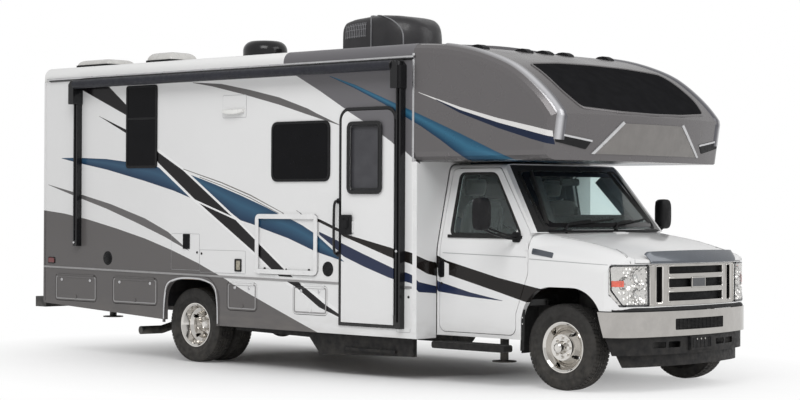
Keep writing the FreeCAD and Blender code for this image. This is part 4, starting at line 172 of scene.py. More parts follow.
# the painted graphics, and the painted highlight and painted shade of the ledge on the cap's side, as
# outlines seen from the side: each has its upper and lower edge as (x, z) in metres
graphicsAndLedgeLight = [
    {"name": "greyLow", "colour": (0.118, 0.111, 0.11),
        "top": [(-3.78, 1.51), (-3.37, 1.472), (-2.977, 1.414), (-2.499, 1.324), (-2.035, 1.226),
                (-1.585, 1.108), (-1.206, 0.992), (-0.865, 0.868), (-0.532, 0.738), (-0.18, 0.613),
                (0.216, 0.474), (0.448, 0.395), (0.6, 0.35)],
        "low": [(-3.78, 0.2), (0.6, 0.2)]},
    {"name": "greyTop", "colour": (0.134, 0.13, 0.138),
        "top": [(0.0, 3.2), (1.76, 3.2)],
        "low": [(-0.51, 3.04), (-0.07, 2.902), (0.199, 2.791), (0.495, 2.645), (0.798, 2.483), (1.118, 2.325),
                (1.394, 2.171), (1.548, 2.09), (1.7, 1.985), (1.76, 1.95)]},
    {"name": "blueRear", "colour": (0.008, 0.028, 0.07), "light": (0.032, 0.085, 0.15),
        "top": [(-3.426, 2.067), (-3.146, 2.067), (-2.663, 2.047), (-2.318, 2.013), (-1.89, 1.969),
                (-1.681, 1.909), (-1.255, 1.62)],
        "low": [(-3.426, 2.062), (-3.145, 2.012), (-2.662, 1.937), (-2.04, 1.814), (-1.59, 1.715),
                (-1.255, 1.62)]},
    {"name": "blueMiddle", "colour": (0.008, 0.028, 0.07), "light": (0.03, 0.095, 0.165),
        "top": [(-1.42, 1.9), (-1.314, 1.868), (-0.985, 1.781), (-0.594, 1.668), (-0.241, 1.557),
                (-0.05, 1.49), (0.091, 1.45), (0.261, 1.388), (0.454, 1.301), (0.756, 1.11), (0.83, 1.06)],
        "low": [(-1.42, 1.85), (-1.314, 1.8), (-0.592, 1.425), (-0.347, 1.372), (-0.306, 1.354),
                (0.08, 1.259), (0.455, 1.139), (0.83, 1.055)]},
    {"name": "edgeWhite", "colour": (0.8, 0.8, 0.8),
        "top": [(-1.85, 2.15), (-1.446, 1.945), (-0.703, 1.481), (0.029, 0.986), (0.317, 0.822),
                (0.8, 0.585)],
        "low": [(-1.85, 1.97), (-1.269, 1.601), (-1.139, 1.525), (-0.371, 1.076), (-0.156, 0.934),
                (-0.023, 0.855), (0.187, 0.771), (0.8, 0.5)]},
    {"name": "blackSlash", "colour": (0.006, 0.005, 0.006),
        "top": [(-3.104, 2.804), (-2.638, 2.807), (-2.323, 2.587), (-1.832, 2.105), (-1.446, 1.917),
                (-0.703, 1.453), (0.029, 0.958), (0.317, 0.794), (0.573, 0.651), (0.787, 0.556)],
        "low": [(-3.104, 2.793), (-2.322, 2.488), (-1.831, 1.998), (-1.269, 1.629), (-1.139, 1.553),
                (-0.371, 1.104), (-0.156, 0.962), (-0.023, 0.883), (0.187, 0.799), (0.497, 0.621),
                (0.787, 0.53)]},
    {"name": "crossWhite", "colour": (0.8, 0.8, 0.8),
        "top": [(-1.3, 1.637), (-0.55, 1.412)],
        "low": [(-1.3, 1.619), (-0.55, 1.394)]},
    {"name": "breakWhite", "colour": (0.8, 0.8, 0.8),
        "top": [(-0.4, 0.945), (0.4, 0.925)],
        "low": [(-0.4, 0.93), (0.4, 0.91)]},
    {"name": "breakWhiteLow", "colour": (0.8, 0.8, 0.8),
        "top": [(-0.1, 0.897), (0.4, 0.885)],
        "low": [(-0.1, 0.868), (0.4, 0.86)]},
    {"name": "thinBlack", "colour": (0.008, 0.007, 0.008),
        "top": [(-2.794, 2.501), (-2.321, 2.339), (-1.9, 2.17)],
        "low": [(-2.794, 2.498), (-2.321, 2.3), (-1.9, 2.1)]},
    {"name": "greySweep", "colour": (0.13, 0.125, 0.125),
        "top": [(-3.659, 1.784), (-3.142, 1.687), (-2.595, 1.577), (-2.037, 1.432), (-1.675, 1.299),
                (-1.351, 1.118)],
        "low": [(-3.659, 1.78), (-3.142, 1.646), (-2.658, 1.527), (-2.158, 1.382), (-1.734, 1.25),
                (-1.351, 1.114)]},
    {"name": "greyBow", "colour": (0.12, 0.115, 0.115),
        "top": [(-1.308, 2.796), (-0.881, 2.765), (-0.466, 2.691), (-0.062, 2.606), (0.329, 2.488),
                (0.446, 2.44), (0.774, 2.317)],
        "low": [(-1.308, 2.791), (-1.021, 2.746), (-0.602, 2.66), (-0.062, 2.536), (0.33, 2.43), (0.446, 2.4),
                (0.774, 2.313)]},
    {"name": "pinGrey", "colour": (0.16, 0.15, 0.14),
        "top": [(-1.446, 1.936), (-0.873, 1.799), (-0.457, 1.677), (0.025, 1.495)],
        "low": [(-1.446, 1.929), (-0.873, 1.788), (-0.457, 1.664), (0.025, 1.489)]},
    {"name": "pinDark", "colour": (0.1, 0.09, 0.08),
        "top": [(-1.2, 1.853), (-0.873, 1.77), (-0.457, 1.648), (-0.05, 1.497)],
        "low": [(-1.2, 1.847), (-0.873, 1.763), (-0.457, 1.64), (-0.05, 1.492)]},
    {"name": "blackStripe", "colour": (0.01, 0.008, 0.007),
        "top": [(0.183, 1.527), (0.33, 1.47), (0.504, 1.444), (0.756, 1.358), (0.831, 1.315), (1.401, 1.201),
                (1.671, 1.155), (1.843, 1.086), (2.449, 0.949), (2.812, 0.885), (3.02, 0.85)],
        "low": [(0.183, 1.523), (0.33, 1.462), (0.492, 1.417), (0.744, 1.331), (0.831, 1.288), (1.402, 1.115),
                (1.672, 1.052), (1.843, 0.965), (2.449, 0.823), (2.774, 0.743), (3.02, 0.7)]},
    {"name": "navyStripe", "colour": (0.018, 0.026, 0.062),
        "top": [(0.493, 1.328), (0.807, 1.226), (1.053, 1.142), (1.402, 1.028), (1.673, 0.958),
                (1.752, 0.895), (2.117, 0.811), (2.505, 0.749)],
        "low": [(0.493, 1.301), (0.833, 1.103), (1.079, 1.02), (1.403, 0.925), (1.673, 0.881), (1.752, 0.804),
                (2.117, 0.769), (2.505, 0.746)]},
    {"name": "blueFront", "colour": (0.005, 0.03, 0.072), "light": (0.035, 0.14, 0.23),
        "top": [(0.621, 2.783), (0.944, 2.69), (1.392, 2.526), (1.779, 2.385), (2.232, 2.214), (2.756, 2.006),
                (2.85, 1.96)],
        "low": [(0.621, 2.777), (0.945, 2.655), (1.309, 2.503), (1.546, 2.392), (1.779, 2.283),
                (2.008, 2.159), (2.244, 2.018), (2.32, 1.96), (2.85, 1.95)]},
    # a painted highlight along the lit top of the moulded ledge on the cap's side, and below it painted shade
    # under the ledge, in dark navy
    {"name": "creaseLight", "colour": (0.72, 0.71, 0.7),
        "top": [(1.74, 2.592), (2.231, 2.445), (2.668, 2.335), (3.024, 2.262), (3.24, 2.215)],
        "low": [(1.74, 2.588), (2.231, 2.42), (2.668, 2.298), (3.024, 2.215), (3.24, 2.165)]},
    {"name": "creasePaintedShade", "colour": (0.01, 0.018, 0.045),
        "top": [(1.95, 2.52), (2.231, 2.42), (2.668, 2.298), (3.024, 2.215), (3.24, 2.165)],
        "low": [(1.95, 2.515), (2.231, 2.392), (2.668, 2.25), (3.024, 2.152), (3.24, 2.1)]},
]


def edgeHeight(t, points, low, high):
    # a float curve from the way along the edge to its height
    x0, x1 = points[0][0], points[-1][0]
    node = t.add("ShaderNodeFloatCurve")
    t.plug(t.between(t.x, x0, x1), node.inputs["Value"])
    curve = node.mapping.curves[0]
    spots = [((x - x0) / (x1 - x0), (z - low) / (high - low)) for x, z in points]
    curve.points[0].location, curve.points[1].location = spots[0], spots[-1]
    for spot in spots[1:-1]:
        curve.points.new(*spot)
    for p in curve.points:
        p.handle_type = "VECTOR"
    node.mapping.update()
    return t.between(node.outputs[0], 0.0, 1.0, low, high)


def paintGraphicOrLedgeLight(t, base, g):
    x0, x1 = max(g["top"][0][0], g["low"][0][0]), min(g["top"][-1][0], g["low"][-1][0])
    heights = [z for _, z in g["top"] + g["low"]]
    low, high = min(heights) - 0.01, max(heights) + 0.01
    top, bottom = (edgeHeight(t, points, low, high) for points in (g["top"], g["low"]))
    inside = t.times(t.below(t.z, top), t.above(t.z, bottom), t.above(t.x, x0), t.below(t.x, x1))
    colour = rgb(*g["colour"])
    if "light" in g:
        # the fade from dark at the edges to light under the upper one
        up = t.math("DIVIDE", t.away(t.z, bottom), t.math("MAXIMUM", t.away(top, bottom), 0.02))
        colour = t.mix(t.between(t.math("ABSOLUTE", t.away(up, 0.62)), 0.6, 0.0), colour, rgb(*g["light"]))
    return t.mix(inside, base, colour)


# where the stripes turn round the coach's front corner, and where the cab is bare black plastic
corner = {"from": 1.722, "edge": 1.268, "slide": 0.8}
cabLining = {
    "archInside": 0.945, "archRadius": 0.56, "wall": 0.925, "sill": 1.319, "lean": 0.25, "cowlX": 2.78,
    "cowlZ": 1.352, "dash": 0.13, "top": 1.945,
}


def turnCorner(t, c):
    inward = t.math("MAXIMUM", t.away(c["edge"], t.math("ABSOLUTE", t.y)), 0.0)
    return t.math("ADD", t.x, t.times(t.above(t.x, c["from"]), inward, c["slide"]))


def lineCab(t, base, c):
    across = t.math("ABSOLUTE", t.y)
    reach = [t.math("POWER", t.away(place, hub), 2.0) for place, hub in ((t.x, axles["front"]),
            (t.z, axles["height"]))]
    arch = t.below(t.math("SQRT", t.math("ADD", *reach)), c["archRadius"])
    base = t.mix(t.times(t.below(across, c["archInside"]), arch), base, rgb(0.012))
    wall = t.away(c["wall"], t.times(t.math("MAXIMUM", t.away(t.z, c["sill"]), 0.0), c["lean"]))
    ahead = t.math("ADD", c["cowlX"], t.times(t.above(t.z, c["cowlZ"]), c["dash"]))
    inside = t.times(t.below(across, wall), t.below(t.x, ahead), t.below(t.z, c["top"]))
    return t.mix(inside, base, rgb(0.03))


def bodyPaint(name, colour, layers, rough=0.22, flake=0.0):
    t = Tree(name)
    if name == "coachPaint":
        t.x = turnCorner(t, corner)
    clouds = t.between(t.noise(1.3, 4), 0.3, 0.7)
    base = t.mix(clouds, rgb(*(c * 0.975 for c in colour)), rgb(*colour))
    for g in graphicsAndLedgeLight:
        if g["name"] in layers:
            base = paintGraphicOrLedgeLight(t, base, g)
    if name == "cabPaint":
        base = lineCab(t, base, cabLining)
    dirt = t.times(t.between(t.z, 0.62, 0.36), t.between(t.noise(7, 6, (0.5, 1, 2)), 0.35, 0.75), 0.25)
    base = t.mix(dirt, base, rgb(0.3, 0.27, 0.23))
    wear = t.between(t.noise(3, 4), 0.3, 0.7, rough * 0.85, rough * 1.2)
    t.set(Base_Color=base, Roughness=wear, Metallic=flake, Coat_Weight=0.14, Coat_Roughness=0.06,
        Specular_IOR_Level=0.2)
    t.bump(t.noise(0.9, 2, (1, 1, 1.6)), 0.25, 0.01)
    return t.material


sideLayers = [g["name"] for g in graphicsAndLedgeLight if not g["name"].startswith("crease")]
white = (0.74, 0.74, 0.74)
coachPaint = bodyPaint("coachPaint", white, sideLayers)
cabPaint = bodyPaint("cabPaint", white, ["blackStripe", "navyStripe"], 0.18)
# the cap's paint carries the painted highlight and painted shade of its side ledge
capPaint = bodyPaint("capPaint", (0.135, 0.128, 0.13), ["blueFront", "creaseLight", "creasePaintedShade"], 0.26, 0.35)
roofPaint = bodyPaint("roofPaint", (0.78, 0.78, 0.775), ["greyTop"], 0.4)
# chrome's dark beige tone is a painted reflection of a dark ground, laid over the metal's own colour
chrome = surface("chrome", (0.43, 0.415, 0.395), 0.09, metal=1.0, vary=0.05)
wheelChrome = surface("wheelChrome", (0.66, 0.64, 0.61), 0.08, metal=1.0, vary=0.05)
brushed = surface("brushedAluminium", (0.62, 0.62, 0.63), 0.32, metal=1.0, grain=(180, 0.2, 0.001))
blackPlastic = surface("blackPlastic", (0.011, 0.011, 0.012), 0.5, vary=0.12, grain=(420, 0.25, 0.0008),
    dust=0.1, Specular_IOR_Level=0.16)
blackGloss = surface("blackGloss", (0.009, 0.009, 0.01), 0.2, vary=0.08, dust=0.05, coat=0.15,
    Specular_IOR_Level=0.3)
darkGlass = surface("darkGlass", (0.004, 0.004, 0.005), 0.06, vary=0.1, Specular_IOR_Level=0.1)
capGlass = surface("capGlass", (0.0125, 0.0125, 0.0135), 0.3, vary=0.1, Specular_IOR_Level=0.0)
# the beads' mid grey is painted light: a painted highlight where they cross the grey paint, and painted shade
# where they cross the white
beadGrey = surface("beadGrey", (0.26, 0.255, 0.255), 0.2, coat=0.4)
greyGlass = surface("greyGlass", (0.06, 0.06, 0.066), 0.12, vary=0.08, Specular_IOR_Level=0.2)
rubber = surface("rubber", (0.016, 0.016, 0.016), 0.7, vary=0.15, grain=(300, 0.3, 0.001),
    Specular_IOR_Level=0.3)
tyreRubber = surface("tyreRubber", (0.022, 0.021, 0.02), 0.72, vary=0.15, grain=(240, 0.3, 0.0012), dust=0.12,
    Specular_IOR_Level=0.3)
chassisBlack = surface("chassisBlack", (0.028, 0.028, 0.029), 0.6, metal=0.1, vary=0.25,
    grain=(90, 0.3, 0.002), dust=0.5)
castMetal = surface("castMetal", (0.16, 0.155, 0.15), 0.55, metal=0.7, vary=0.2, grain=(160, 0.5, 0.002),
    dust=0.3)
whitePlastic = surface("whitePlastic", (0.74, 0.74, 0.72), 0.32, vary=0.03, grain=(200, 0.1, 0.0006))
cabPlastic = surface("cabPlastic", (0.012, 0.012, 0.011), 0.6, vary=0.08, grain=(500, 0.35, 0.0006))
bayLiner = surface("bayLiner", (0.03, 0.03, 0.032), 0.7, vary=0.15, grain=(120, 0.3, 0.002))
floorBoard = surface("floorBoard", (0.28, 0.18, 0.1), 0.45, vary=0.2, grain=(60, 0.2, 0.001))
redLens = surface("redLens", (0.13, 0.003, 0.005), 0.14, vary=0.1, grain=(160, 0.2, 0.001), coat=0.5)
awningCloth = surface("awningCloth", (0.012, 0.013, 0.02), 0.55, vary=0.12, grain=(700, 0.4, 0.0006),
    Sheen_Weight=0.08, Specular_IOR_Level=0.3)
finSilver = surface("finSilver", (0.55, 0.55, 0.56), 0.22, metal=0.6, vary=0.05)
chinSilver = surface("chinSilver", (0.2, 0.19, 0.182), 0.36, metal=0.5, vary=0.05, grain=(260, 0.08, 0.0004))
blockGrey = surface("blockGrey", (0.06, 0.062, 0.068), 0.3, metal=0.4, grain=(300, 0.1, 0.0004), coat=0.5)
deflectorGloss = surface("deflectorGloss", (0.085, 0.095, 0.112), 0.2, metal=0.4, vary=0.04, coat=0.6)
orangeLens = surface("orangeLens", (0.72, 0.055, 0.002), 0.3, vary=0.12, grain=(220, 0.3, 0.001), coat=0.5)
plateWhite = surface("plateWhite", (0.74, 0.74, 0.74), 0.25, vary=0.03, coat=0.22, Specular_IOR_Level=0.2)
# creaseGrey: round the hatches it is their seam, and along the door's crease and the fender's fold it is
# painted shade in the crease
creaseGrey = surface("creaseGrey", (0.36, 0.365, 0.37), 0.4, vary=0.03)
outletBeige = surface("outletBeige", (0.38, 0.35, 0.28), 0.45, vary=0.08, grain=(300, 0.2, 0.0005))
coolerBlack = surface("coolerBlack", (0.022, 0.021, 0.023), 0.38, vary=0.12, grain=(260, 0.25, 0.0006),
    dust=0.1, coat=0.1, Specular_IOR_Level=0.35)
coolerGrey = surface("coolerGrey", (0.17, 0.17, 0.178), 0.45, vary=0.1, grain=(300, 0.2, 0.0006))
lidWhite = surface("lidWhite", (0.56, 0.55, 0.53), 0.3, grain=(90, 0.1, 0.0008), coat=0.2)
mirrorGlass = surface("mirrorGlass", (0.72, 0.73, 0.75), 0.03, metal=1.0, vary=0.02)


def clearGlass(name, tint, share):
    t = Tree(name)
    base = t.mix(t.between(t.noise(2.2, 3), 0.3, 0.7), rgb(*(c * 0.92 for c in tint)), rgb(*tint))
    t.set(Base_Color=base, Roughness=0.03, Transmission_Weight=share, IOR=1.05, Coat_Weight=0.35,
        Coat_Roughness=0.02)
    return t.material


shieldGlass = clearGlass("shieldGlass", (0.86, 0.96, 0.95), 0.97)
doorGlass = clearGlass("doorGlass", (0.8, 0.9, 0.89), 0.97)
lensGlass = clearGlass("lensGlass", (0.93, 0.94, 0.95), 0.92)


def wovenCloth(name, warp, weft, scale):
    t = Tree(name)
    bands = []
    for direction in ("X", "Z"):
        wave = t.add("ShaderNodeTexWave", t.place, bands_direction=direction)
        wave.inputs["Scale"].default_value = scale
        wave.inputs["Distortion"].default_value = 0.6
        bands.append(wave.outputs[1])
    weave = t.times(*bands)
    worn = t.times(t.between(t.noise(6, 5), 0.3, 0.7), 0.3)
    base = t.mix(worn, t.mix(weave, rgb(*warp), rgb(*weft)), rgb(*(c * 0.6 for c in warp)))
    t.set(Base_Color=base, Roughness=0.85, Sheen_Weight=0.4)
    t.bump(weave, 0.4, 0.001)
    return t.material


def rollPaintedLight(name):
    # a painted highlight along the top of the roll, growing toward the front corner, and painted shade,
    # darker toward the window
    t = Tree(name)
    across = t.math("ABSOLUTE", t.y)
    paintedHighlight = t.between(t.math("ABSOLUTE", t.away(across, 1.192)), 0.042, 0.008)
    paintedShade = t.mix(t.between(across, 1.2, 1.12), rgb(0.135, 0.128, 0.13), rgb(0.075, 0.075, 0.09))
    base = t.mix(t.times(paintedHighlight, t.between(t.x, 1.8, 2.85)), paintedShade, rgb(0.5, 0.5, 0.52))
    t.set(Base_Color=base, Roughness=0.24, Metallic=0.35, Coat_Weight=0.4)
    t.bump(t.noise(300, 2), 0.1, 0.0003)
    return t.material


seatCloth = wovenCloth("seatCloth", (0.016, 0.015, 0.014), (0.032, 0.03, 0.027), 160)
capShoulderPaintedLight = rollPaintedLight("capShoulderPaintedLight")

nodeFinish = {
    "frame": chassisBlack, "front_suspension": chassisBlack, "rear_axle": chassisBlack,
    "engine_and_gearbox": castMetal, "under_floor_gear": chassisBlack, "cab_shell": cabPaint,
    "windshield": shieldGlass, "dashboard": cabPlastic, "hood": cabPaint, "hood_deflector": blackGloss,
    "grille": chrome, "grille_backing": blackPlastic, "headlamps": lensGlass, "front_bumper": chrome,
    "air_dam": blackPlastic, "steps": blackPlastic, "side_walls": coachPaint, "skirts": coachPaint,
    "coach_windows": darkGlass, "end_walls": coachPaint, "coach_floor": floorBoard, "roof": roofPaint,
    "front_cap": capPaint, "entry_frame": blackGloss, "entry_door": coachPaint, "entry_window": greyGlass,
    "locker_door": coachPaint, "storage_boxes": bayLiner, "awning_arms": blackGloss,
    "awning_roller": awningCloth, "air_conditioner": blackPlastic, "roof_vents": whitePlastic,
    "roof_dome": blackGloss, "lamps": redLens, "rear_bumper": chassisBlack, "ladder": brushed,
    "wall_fittings": whitePlastic, "front_seats": seatCloth,
}
for side in ("left", "right"):
    nodeFinish.update({f"knuckle_{side}": chassisBlack, f"front_tyre_{side}": tyreRubber,
            f"rear_tyres_{side}": tyreRubber, f"front_rim_{side}": wheelChrome,
            f"rear_rims_{side}": wheelChrome, f"cab_door_{side}": cabPaint,
            f"cab_door_glass_{side}": doorGlass, f"mirror_{side}": blackPlastic})
for name, node in nodes.items():
    finish = nodeFinish.get(name, coachPaint)
    if not node.material_slots:
        node.data.materials.append(finish)
    for materialSlot in node.material_slots:
        materialSlot.material = finish
print("finishes on the frame's nodes")


def bend(start, corner, end, steps):
    shares = [k / steps for k in range(steps + 1)]
    return [start * (1 - t) ** 2 + corner * 2 * t * (1 - t) + end * t * t for t in shares]


tip = 0.0005  # the smallest radius: a panel's corner, or a turned form on its axis


def rounded(points, radius, steps=6):
    path = []
    for i, here in enumerate(points):
        here, back, on = Vector(here), Vector(points[i - 1]), Vector(points[(i + 1) % len(points)])
        r = min(radius, (back - here).length * 0.48, (on - here).length * 0.48)
        path += bend(here + (back - here).normalized() * r, here, here + (on - here).normalized() * r, steps)
    return path


def panel(x0, x1, z0, z1, radius, steps=6, grow=0.0):
    x0, x1, z0, z1 = x0 - grow, x1 + grow, z0 - grow, z1 + grow
    return rounded(corners(x0, x1, z0, z1), max(tip, radius + grow), steps)


# a flat shape's (across, up, out) in the frame's axes, for each face of the vehicle
def onRight(u, v, w):
    return Vector((u, -w, v))


def onLeft(u, v, w):
    return Vector((u, w, v))


def onFront(u, v, w):
    return Vector((w, u, v))


def onRear(u, v, w):
    return Vector((-w, u, v))


def onTop(u, v, w):
    return Vector((u, v, w))


acrossCab = onLeft  # for a side outline that runs across the cab


def corners(u0, u1, v0, v1):
    return [(u0, v0), (u1, v0), (u1, v1), (u0, v1)]


def loop(bm, points):
    return [bm.verts.new(p) for p in points]


def bridge(bm, a, b, closed=True):
    n = len(a)
    for i in range(n if closed else n - 1):
        j = (i + 1) % n
        bm.faces.new((a[i], a[j], b[j], b[i]))


def shell(bm, rows, closed=True, capped=True):
    for a, b in zip(rows, rows[1:]):
        bridge(bm, a, b, closed=closed)
    if capped:
        bm.faces.new(rows[0])
        bm.faces.new(rows[-1])


def slab(bm, outline, place, low, high):
    shell(bm, [loop(bm, [place(*p, w) for p in outline]) for w in (low, high)])


def ring(bm, outer, inner, place, low, high):
    turns = ((outer, low), (outer, high), (inner, high), (inner, low))
    sets = [loop(bm, [place(*p, w) for p in line]) for line, w in turns]
    shell(bm, sets + sets[:1], closed=True, capped=False)


def border(bm, box, radius, outside, inside, steps, place, low, high):
    # a flat frame whose two edges follow the same rounded box
    ring(bm, panel(*box, radius, steps, grow=outside), panel(*box, radius, steps, grow=inside), place, low,
        high)


def lathe(bm, profile, origin, axis, steps=48, capped=True):
    axis = Vector(axis).normalized()
    across = axis.orthogonal().normalized()
    up = axis.cross(across)
    around = [2 * math.pi * i / steps for i in range(steps)]
    rows = []
    for radius, along in profile:
        centre = Vector(origin) + axis * along
        rows.append(loop(bm, [centre + (across * math.cos(a) + up * math.sin(a)) * radius for a in around]))
    shell(bm, rows, closed=True, capped=capped)


def turned(bm, profile, origin, axis, steps, crown=0.0):
    # a lathe that closes on its own axis, where its end stands out by the crown
    ends = [(tip, profile[0][1])], [(tip, profile[-1][1] + crown)]
    lathe(bm, ends[0] + profile + ends[1], origin, axis, steps)


def stud(bm, radius, height, crown, top, origin, axis, steps):
    # a small round head, such as a screw's or a lock's
    turned(bm, [(radius, 0.0), (radius, height), (crown, top)], origin, axis, steps)


def sweep(bm, path, section, upright=(0, 0, 1), closed=False):
    path = [Vector(p) for p in path]
    rows, upright = [], Vector(upright)
    for i, p in enumerate(path):
        ahead = path[(i + 1) % len(path)] if closed or i < len(path) - 1 else p
        behind = path[i - 1] if closed or i else p
        run = (ahead - behind).normalized()
        side = run.cross(upright).normalized()
        rise = side.cross(run).normalized()
        rows.append(loop(bm, [p + side * u + rise * v for u, v in section]))
    shell(bm, rows + rows[:1] if closed else rows, closed=True, capped=not closed)


def disc(radius, steps=10):
    return [(radius * math.cos(2 * math.pi * i / steps), radius * math.sin(2 * math.pi * i / steps))
        for i in range(steps)]


def softPath(points, steps=8):
    # a smooth open line through a few corner points
    points = [Vector(p) for p in points]
    path = [points[0]]
    for i in range(1, len(points) - 1):
        here = points[i]
        path += bend(here.lerp(points[i - 1], 0.42), here, here.lerp(points[i + 1], 0.42), steps)
    return path + [points[-1]]


def makePiece(name, bm, finish, body="chassis", bevel=0.0, stands=(), crease=38):
    bmesh.ops.remove_doubles(bm, verts=bm.verts, dist=0.00001)
    bmesh.ops.recalc_face_normals(bm, faces=bm.faces)
    mesh = bpy.data.meshes.new(name)
    bm.to_mesh(mesh)
    bm.free()
    mesh.materials.append(finish)
    piece = bpy.data.objects.new(name, mesh)
    bpy.context.scene.collection.objects.link(piece)
    if bevel:
        edge = piece.modifiers.new("edge", "BEVEL")
        edge.width, edge.segments, edge.limit_method, edge.angle_limit = bevel, 2, "ANGLE", math.radians(40)
    for face in mesh.polygons:
        face.use_smooth = True
    mesh.set_sharp_from_angle(angle=math.radians(crease))
    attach(piece, body)
    if stands:
        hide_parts(*stands)
    return piece


# tyres: a carcass with ringed side walls, and blocks of tread round it
tyre = {
    "radius": 0.3718, "groove": 0.0095, "half": 0.1105, "tread": 0.083, "bead": 0.2035, "blocks": 64,
    "ribs": 5,
}


def makeTyre(bm, centre, t):
    r = t["radius"] - t["groove"]
    half, tread, bead = t["half"], t["tread"], t["bead"]
    side = [(bead, 0.074), (bead + 0.012, 0.083), (bead + 0.022, 0.088), (bead + 0.026, 0.0915),
        (bead + 0.034, 0.0915), (bead + 0.038, 0.0955), (bead + 0.07, half - 0.004),
        (bead + 0.074, half - 0.0005), (bead + 0.084, half), (bead + 0.088, half - 0.002),
        (bead + 0.115, half - 0.0035), (bead + 0.133, half - 0.009), (r - 0.014, half - 0.0145),
        (r - 0.005, half - 0.019), (r, tread)]
    profile = [(a, -b) for a, b in side] + [(a, b) for a, b in reversed(side)]
    lathe(bm, profile, centre, (0, 1, 0), 96, capped=False)
    width = 2 * t["tread"] / t["ribs"]
    for row in range(t["ribs"]):
        low, high = -t["tread"] + row * width + 0.003, -t["tread"] + (row + 1) * width - 0.003
        outer = row in (0, t["ribs"] - 1)
        if outer:
            low, high = (low - 0.014, high) if row == 0 else (low, high + 0.014)
        for i in range(t["blocks"]):
            a = 2 * math.pi * (i + 0.5 * (row % 2)) / t["blocks"]
            span = 2 * math.pi / t["blocks"] * (0.8 if outer else 0.88)
            lean = 0.35 * span * (1 if row % 2 else -1)
            c = []
            for y, shift in ((low, 0), (high, lean)):
                for turn in (a + shift, a + shift + span):
                    for reach in (t["radius"] - t["groove"] * 1.6, t["radius"]):
                        edge = outer and reach == t["radius"] and abs(y) > t["tread"]
                        rad = reach - (0.007 if edge else 0)
                        spot = Vector((rad * math.cos(turn), y, rad * math.sin(turn)))
                        c.append(bm.verts.new(Vector(centre) + spot))
            for f in ((0, 1, 3, 2), (4, 6, 7, 5), (0, 4, 5, 1), (2, 3, 7, 6), (1, 5, 7, 3)):
                bm.faces.new([c[k] for k in f])


for side, sign in (("right", -1), ("left", 1)):
    bm = bmesh.new()
    makeTyre(bm, (axles["front"], sign * axles["frontTrack"], axles["height"]), tyre)
    makePiece(f"frontTyre_{side}", bm, tyreRubber, f"front_wheel_{side}", stands=[f"front_tyre_{side}"])
    bm = bmesh.new()
    for y in (axles["rearTrack"] - axles["twin"], axles["rearTrack"] + axles["twin"]):
        makeTyre(bm, (axles["rear"], sign * y, axles["height"]), tyre)
    makePiece(f"rearTyres_{side}", bm, tyreRubber, f"rear_wheels_{side}", stands=[f"rear_tyres_{side}"])
print("tyres made")

# coach windows: a rubber frame round each pane, with its bars
coachWindows = {
    "lounge": (onRight, (-0.143, 0.627, 1.808, 2.36), 0.075, ()),
    "tall": (onRight, (-2.325, -1.855, 1.957, 2.787), 0.03, (2.454,)),
    "galley": (onLeft, (-0.9, -0.14, 1.78, 2.2), 0.075, ()),
    "bedroom": (onLeft, (-3.2, -2.58, 1.957, 2.787), 0.03, (2.454,)),
    "dinette": (onLeft, (0.3, 1.45, 1.64, 2.36), 0.075, ()),
    "rear": (onRear, (-0.46, 0.46, 1.76, 2.28), 0.075, ()),
}
windowFrame = {"outer": 0.010, "inner": 0.016, "proud": 0.013, "bar": 0.012}


def makeWindowFrames(windows, s):
    bm = bmesh.new()
    for place, (u0, u1, v0, v1), radius, bars in windows.values():
        base = rearFace if place is onRear else wallFace
        border(bm, (u0, u1, v0, v1), radius, s["outer"], -s["inner"], 8, place, base + 0.0004,
            base + s["proud"])
        for v in bars:
            slab(bm, panel(u0 + 0.01, u1 - 0.01, v - s["bar"], v + s["bar"], 0.002, 1), place, base + 0.004,
                base + s["proud"] - 0.001)
    makePiece("windowFrames", bm, blackPlastic, bevel=0.0028)


makeWindowFrames(coachWindows, windowFrame)
print("window frames made")

# entry door: window frame, lock, and a pull handle on the wall
entryDoor = {
    "window": (0.902, 1.302, 1.702, 2.326),
    "lock": (0.806, 0.946, 1.306, 1.49),
    "grabX": 0.742,
    "grabLow": 1.126,
    "grabTop": 1.616,
}


def makeEntryDoor(d):
    face = -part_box("entry_door")[0][1]
    bm = bmesh.new()
    for outside, inside, proud in ((0.022, -0.012, 0.009), (-0.02, -0.032, 0.003)):
        border(bm, d["window"], 0.05, outside, inside, 8, onRight, face - 0.003, face + proud)
    makePiece("entryWindowFrame", bm, blackGloss, "entry_door", bevel=0.003)
    x0, x1, z0, z1 = d["lock"]
    bm = bmesh.new()
    slab(bm, panel(x0, x1, z0, z1, 0.012, 4), onRight, face - 0.002, face + 0.012)
    ring(bm, panel(x0 + 0.03, x1 - 0.03, z0 + 0.07, z1 - 0.02, 0.01, 4),
        panel(x0 + 0.04, x1 - 0.04, z0 + 0.08, z1 - 0.03, 0.008, 4), onRight, face + 0.01, face + 0.017)
    slab(bm, panel(x0 + 0.044, x1 - 0.044, z0 + 0.062, z1 - 0.05, 0.006, 4), onRight, face + 0.01,
        face + 0.022)
    for z in (z0 + 0.026, z0 + 0.052):
        stud(bm, 0.011, 0.004, 0.0085, 0.006, onRight((x0 + x1) / 2, z, face + 0.011), (0, -1, 0), 20)
    makePiece("entryLock", bm, blackPlastic, "entry_door", bevel=0.0015)
    bm = bmesh.new()
    x, low, top, out = d["grabX"], d["grabLow"], d["grabTop"], wallFace
    path = softPath([onRight(x, low, out - 0.002), onRight(x, low + 0.004, out + 0.055),
            onRight(x, (low + top) / 2, out + 0.06), onRight(x, top - 0.004, out + 0.055),
            onRight(x, top, out - 0.002)], 10)
    sweep(bm, path, disc(0.0125, 14), (1, 0, 0))
    for z in (low, top):
        turned(bm, [(0.026, 0.0), (0.026, 0.004), (0.02, 0.009), (0.0125, 0.012)],
            onRight(x, z, out - 0.0005), (0, -1, 0), 28)
    makePiece("entryGrabHandle", bm, blackGloss)
    print("entry door dressed")


makeEntryDoor(entryDoor)

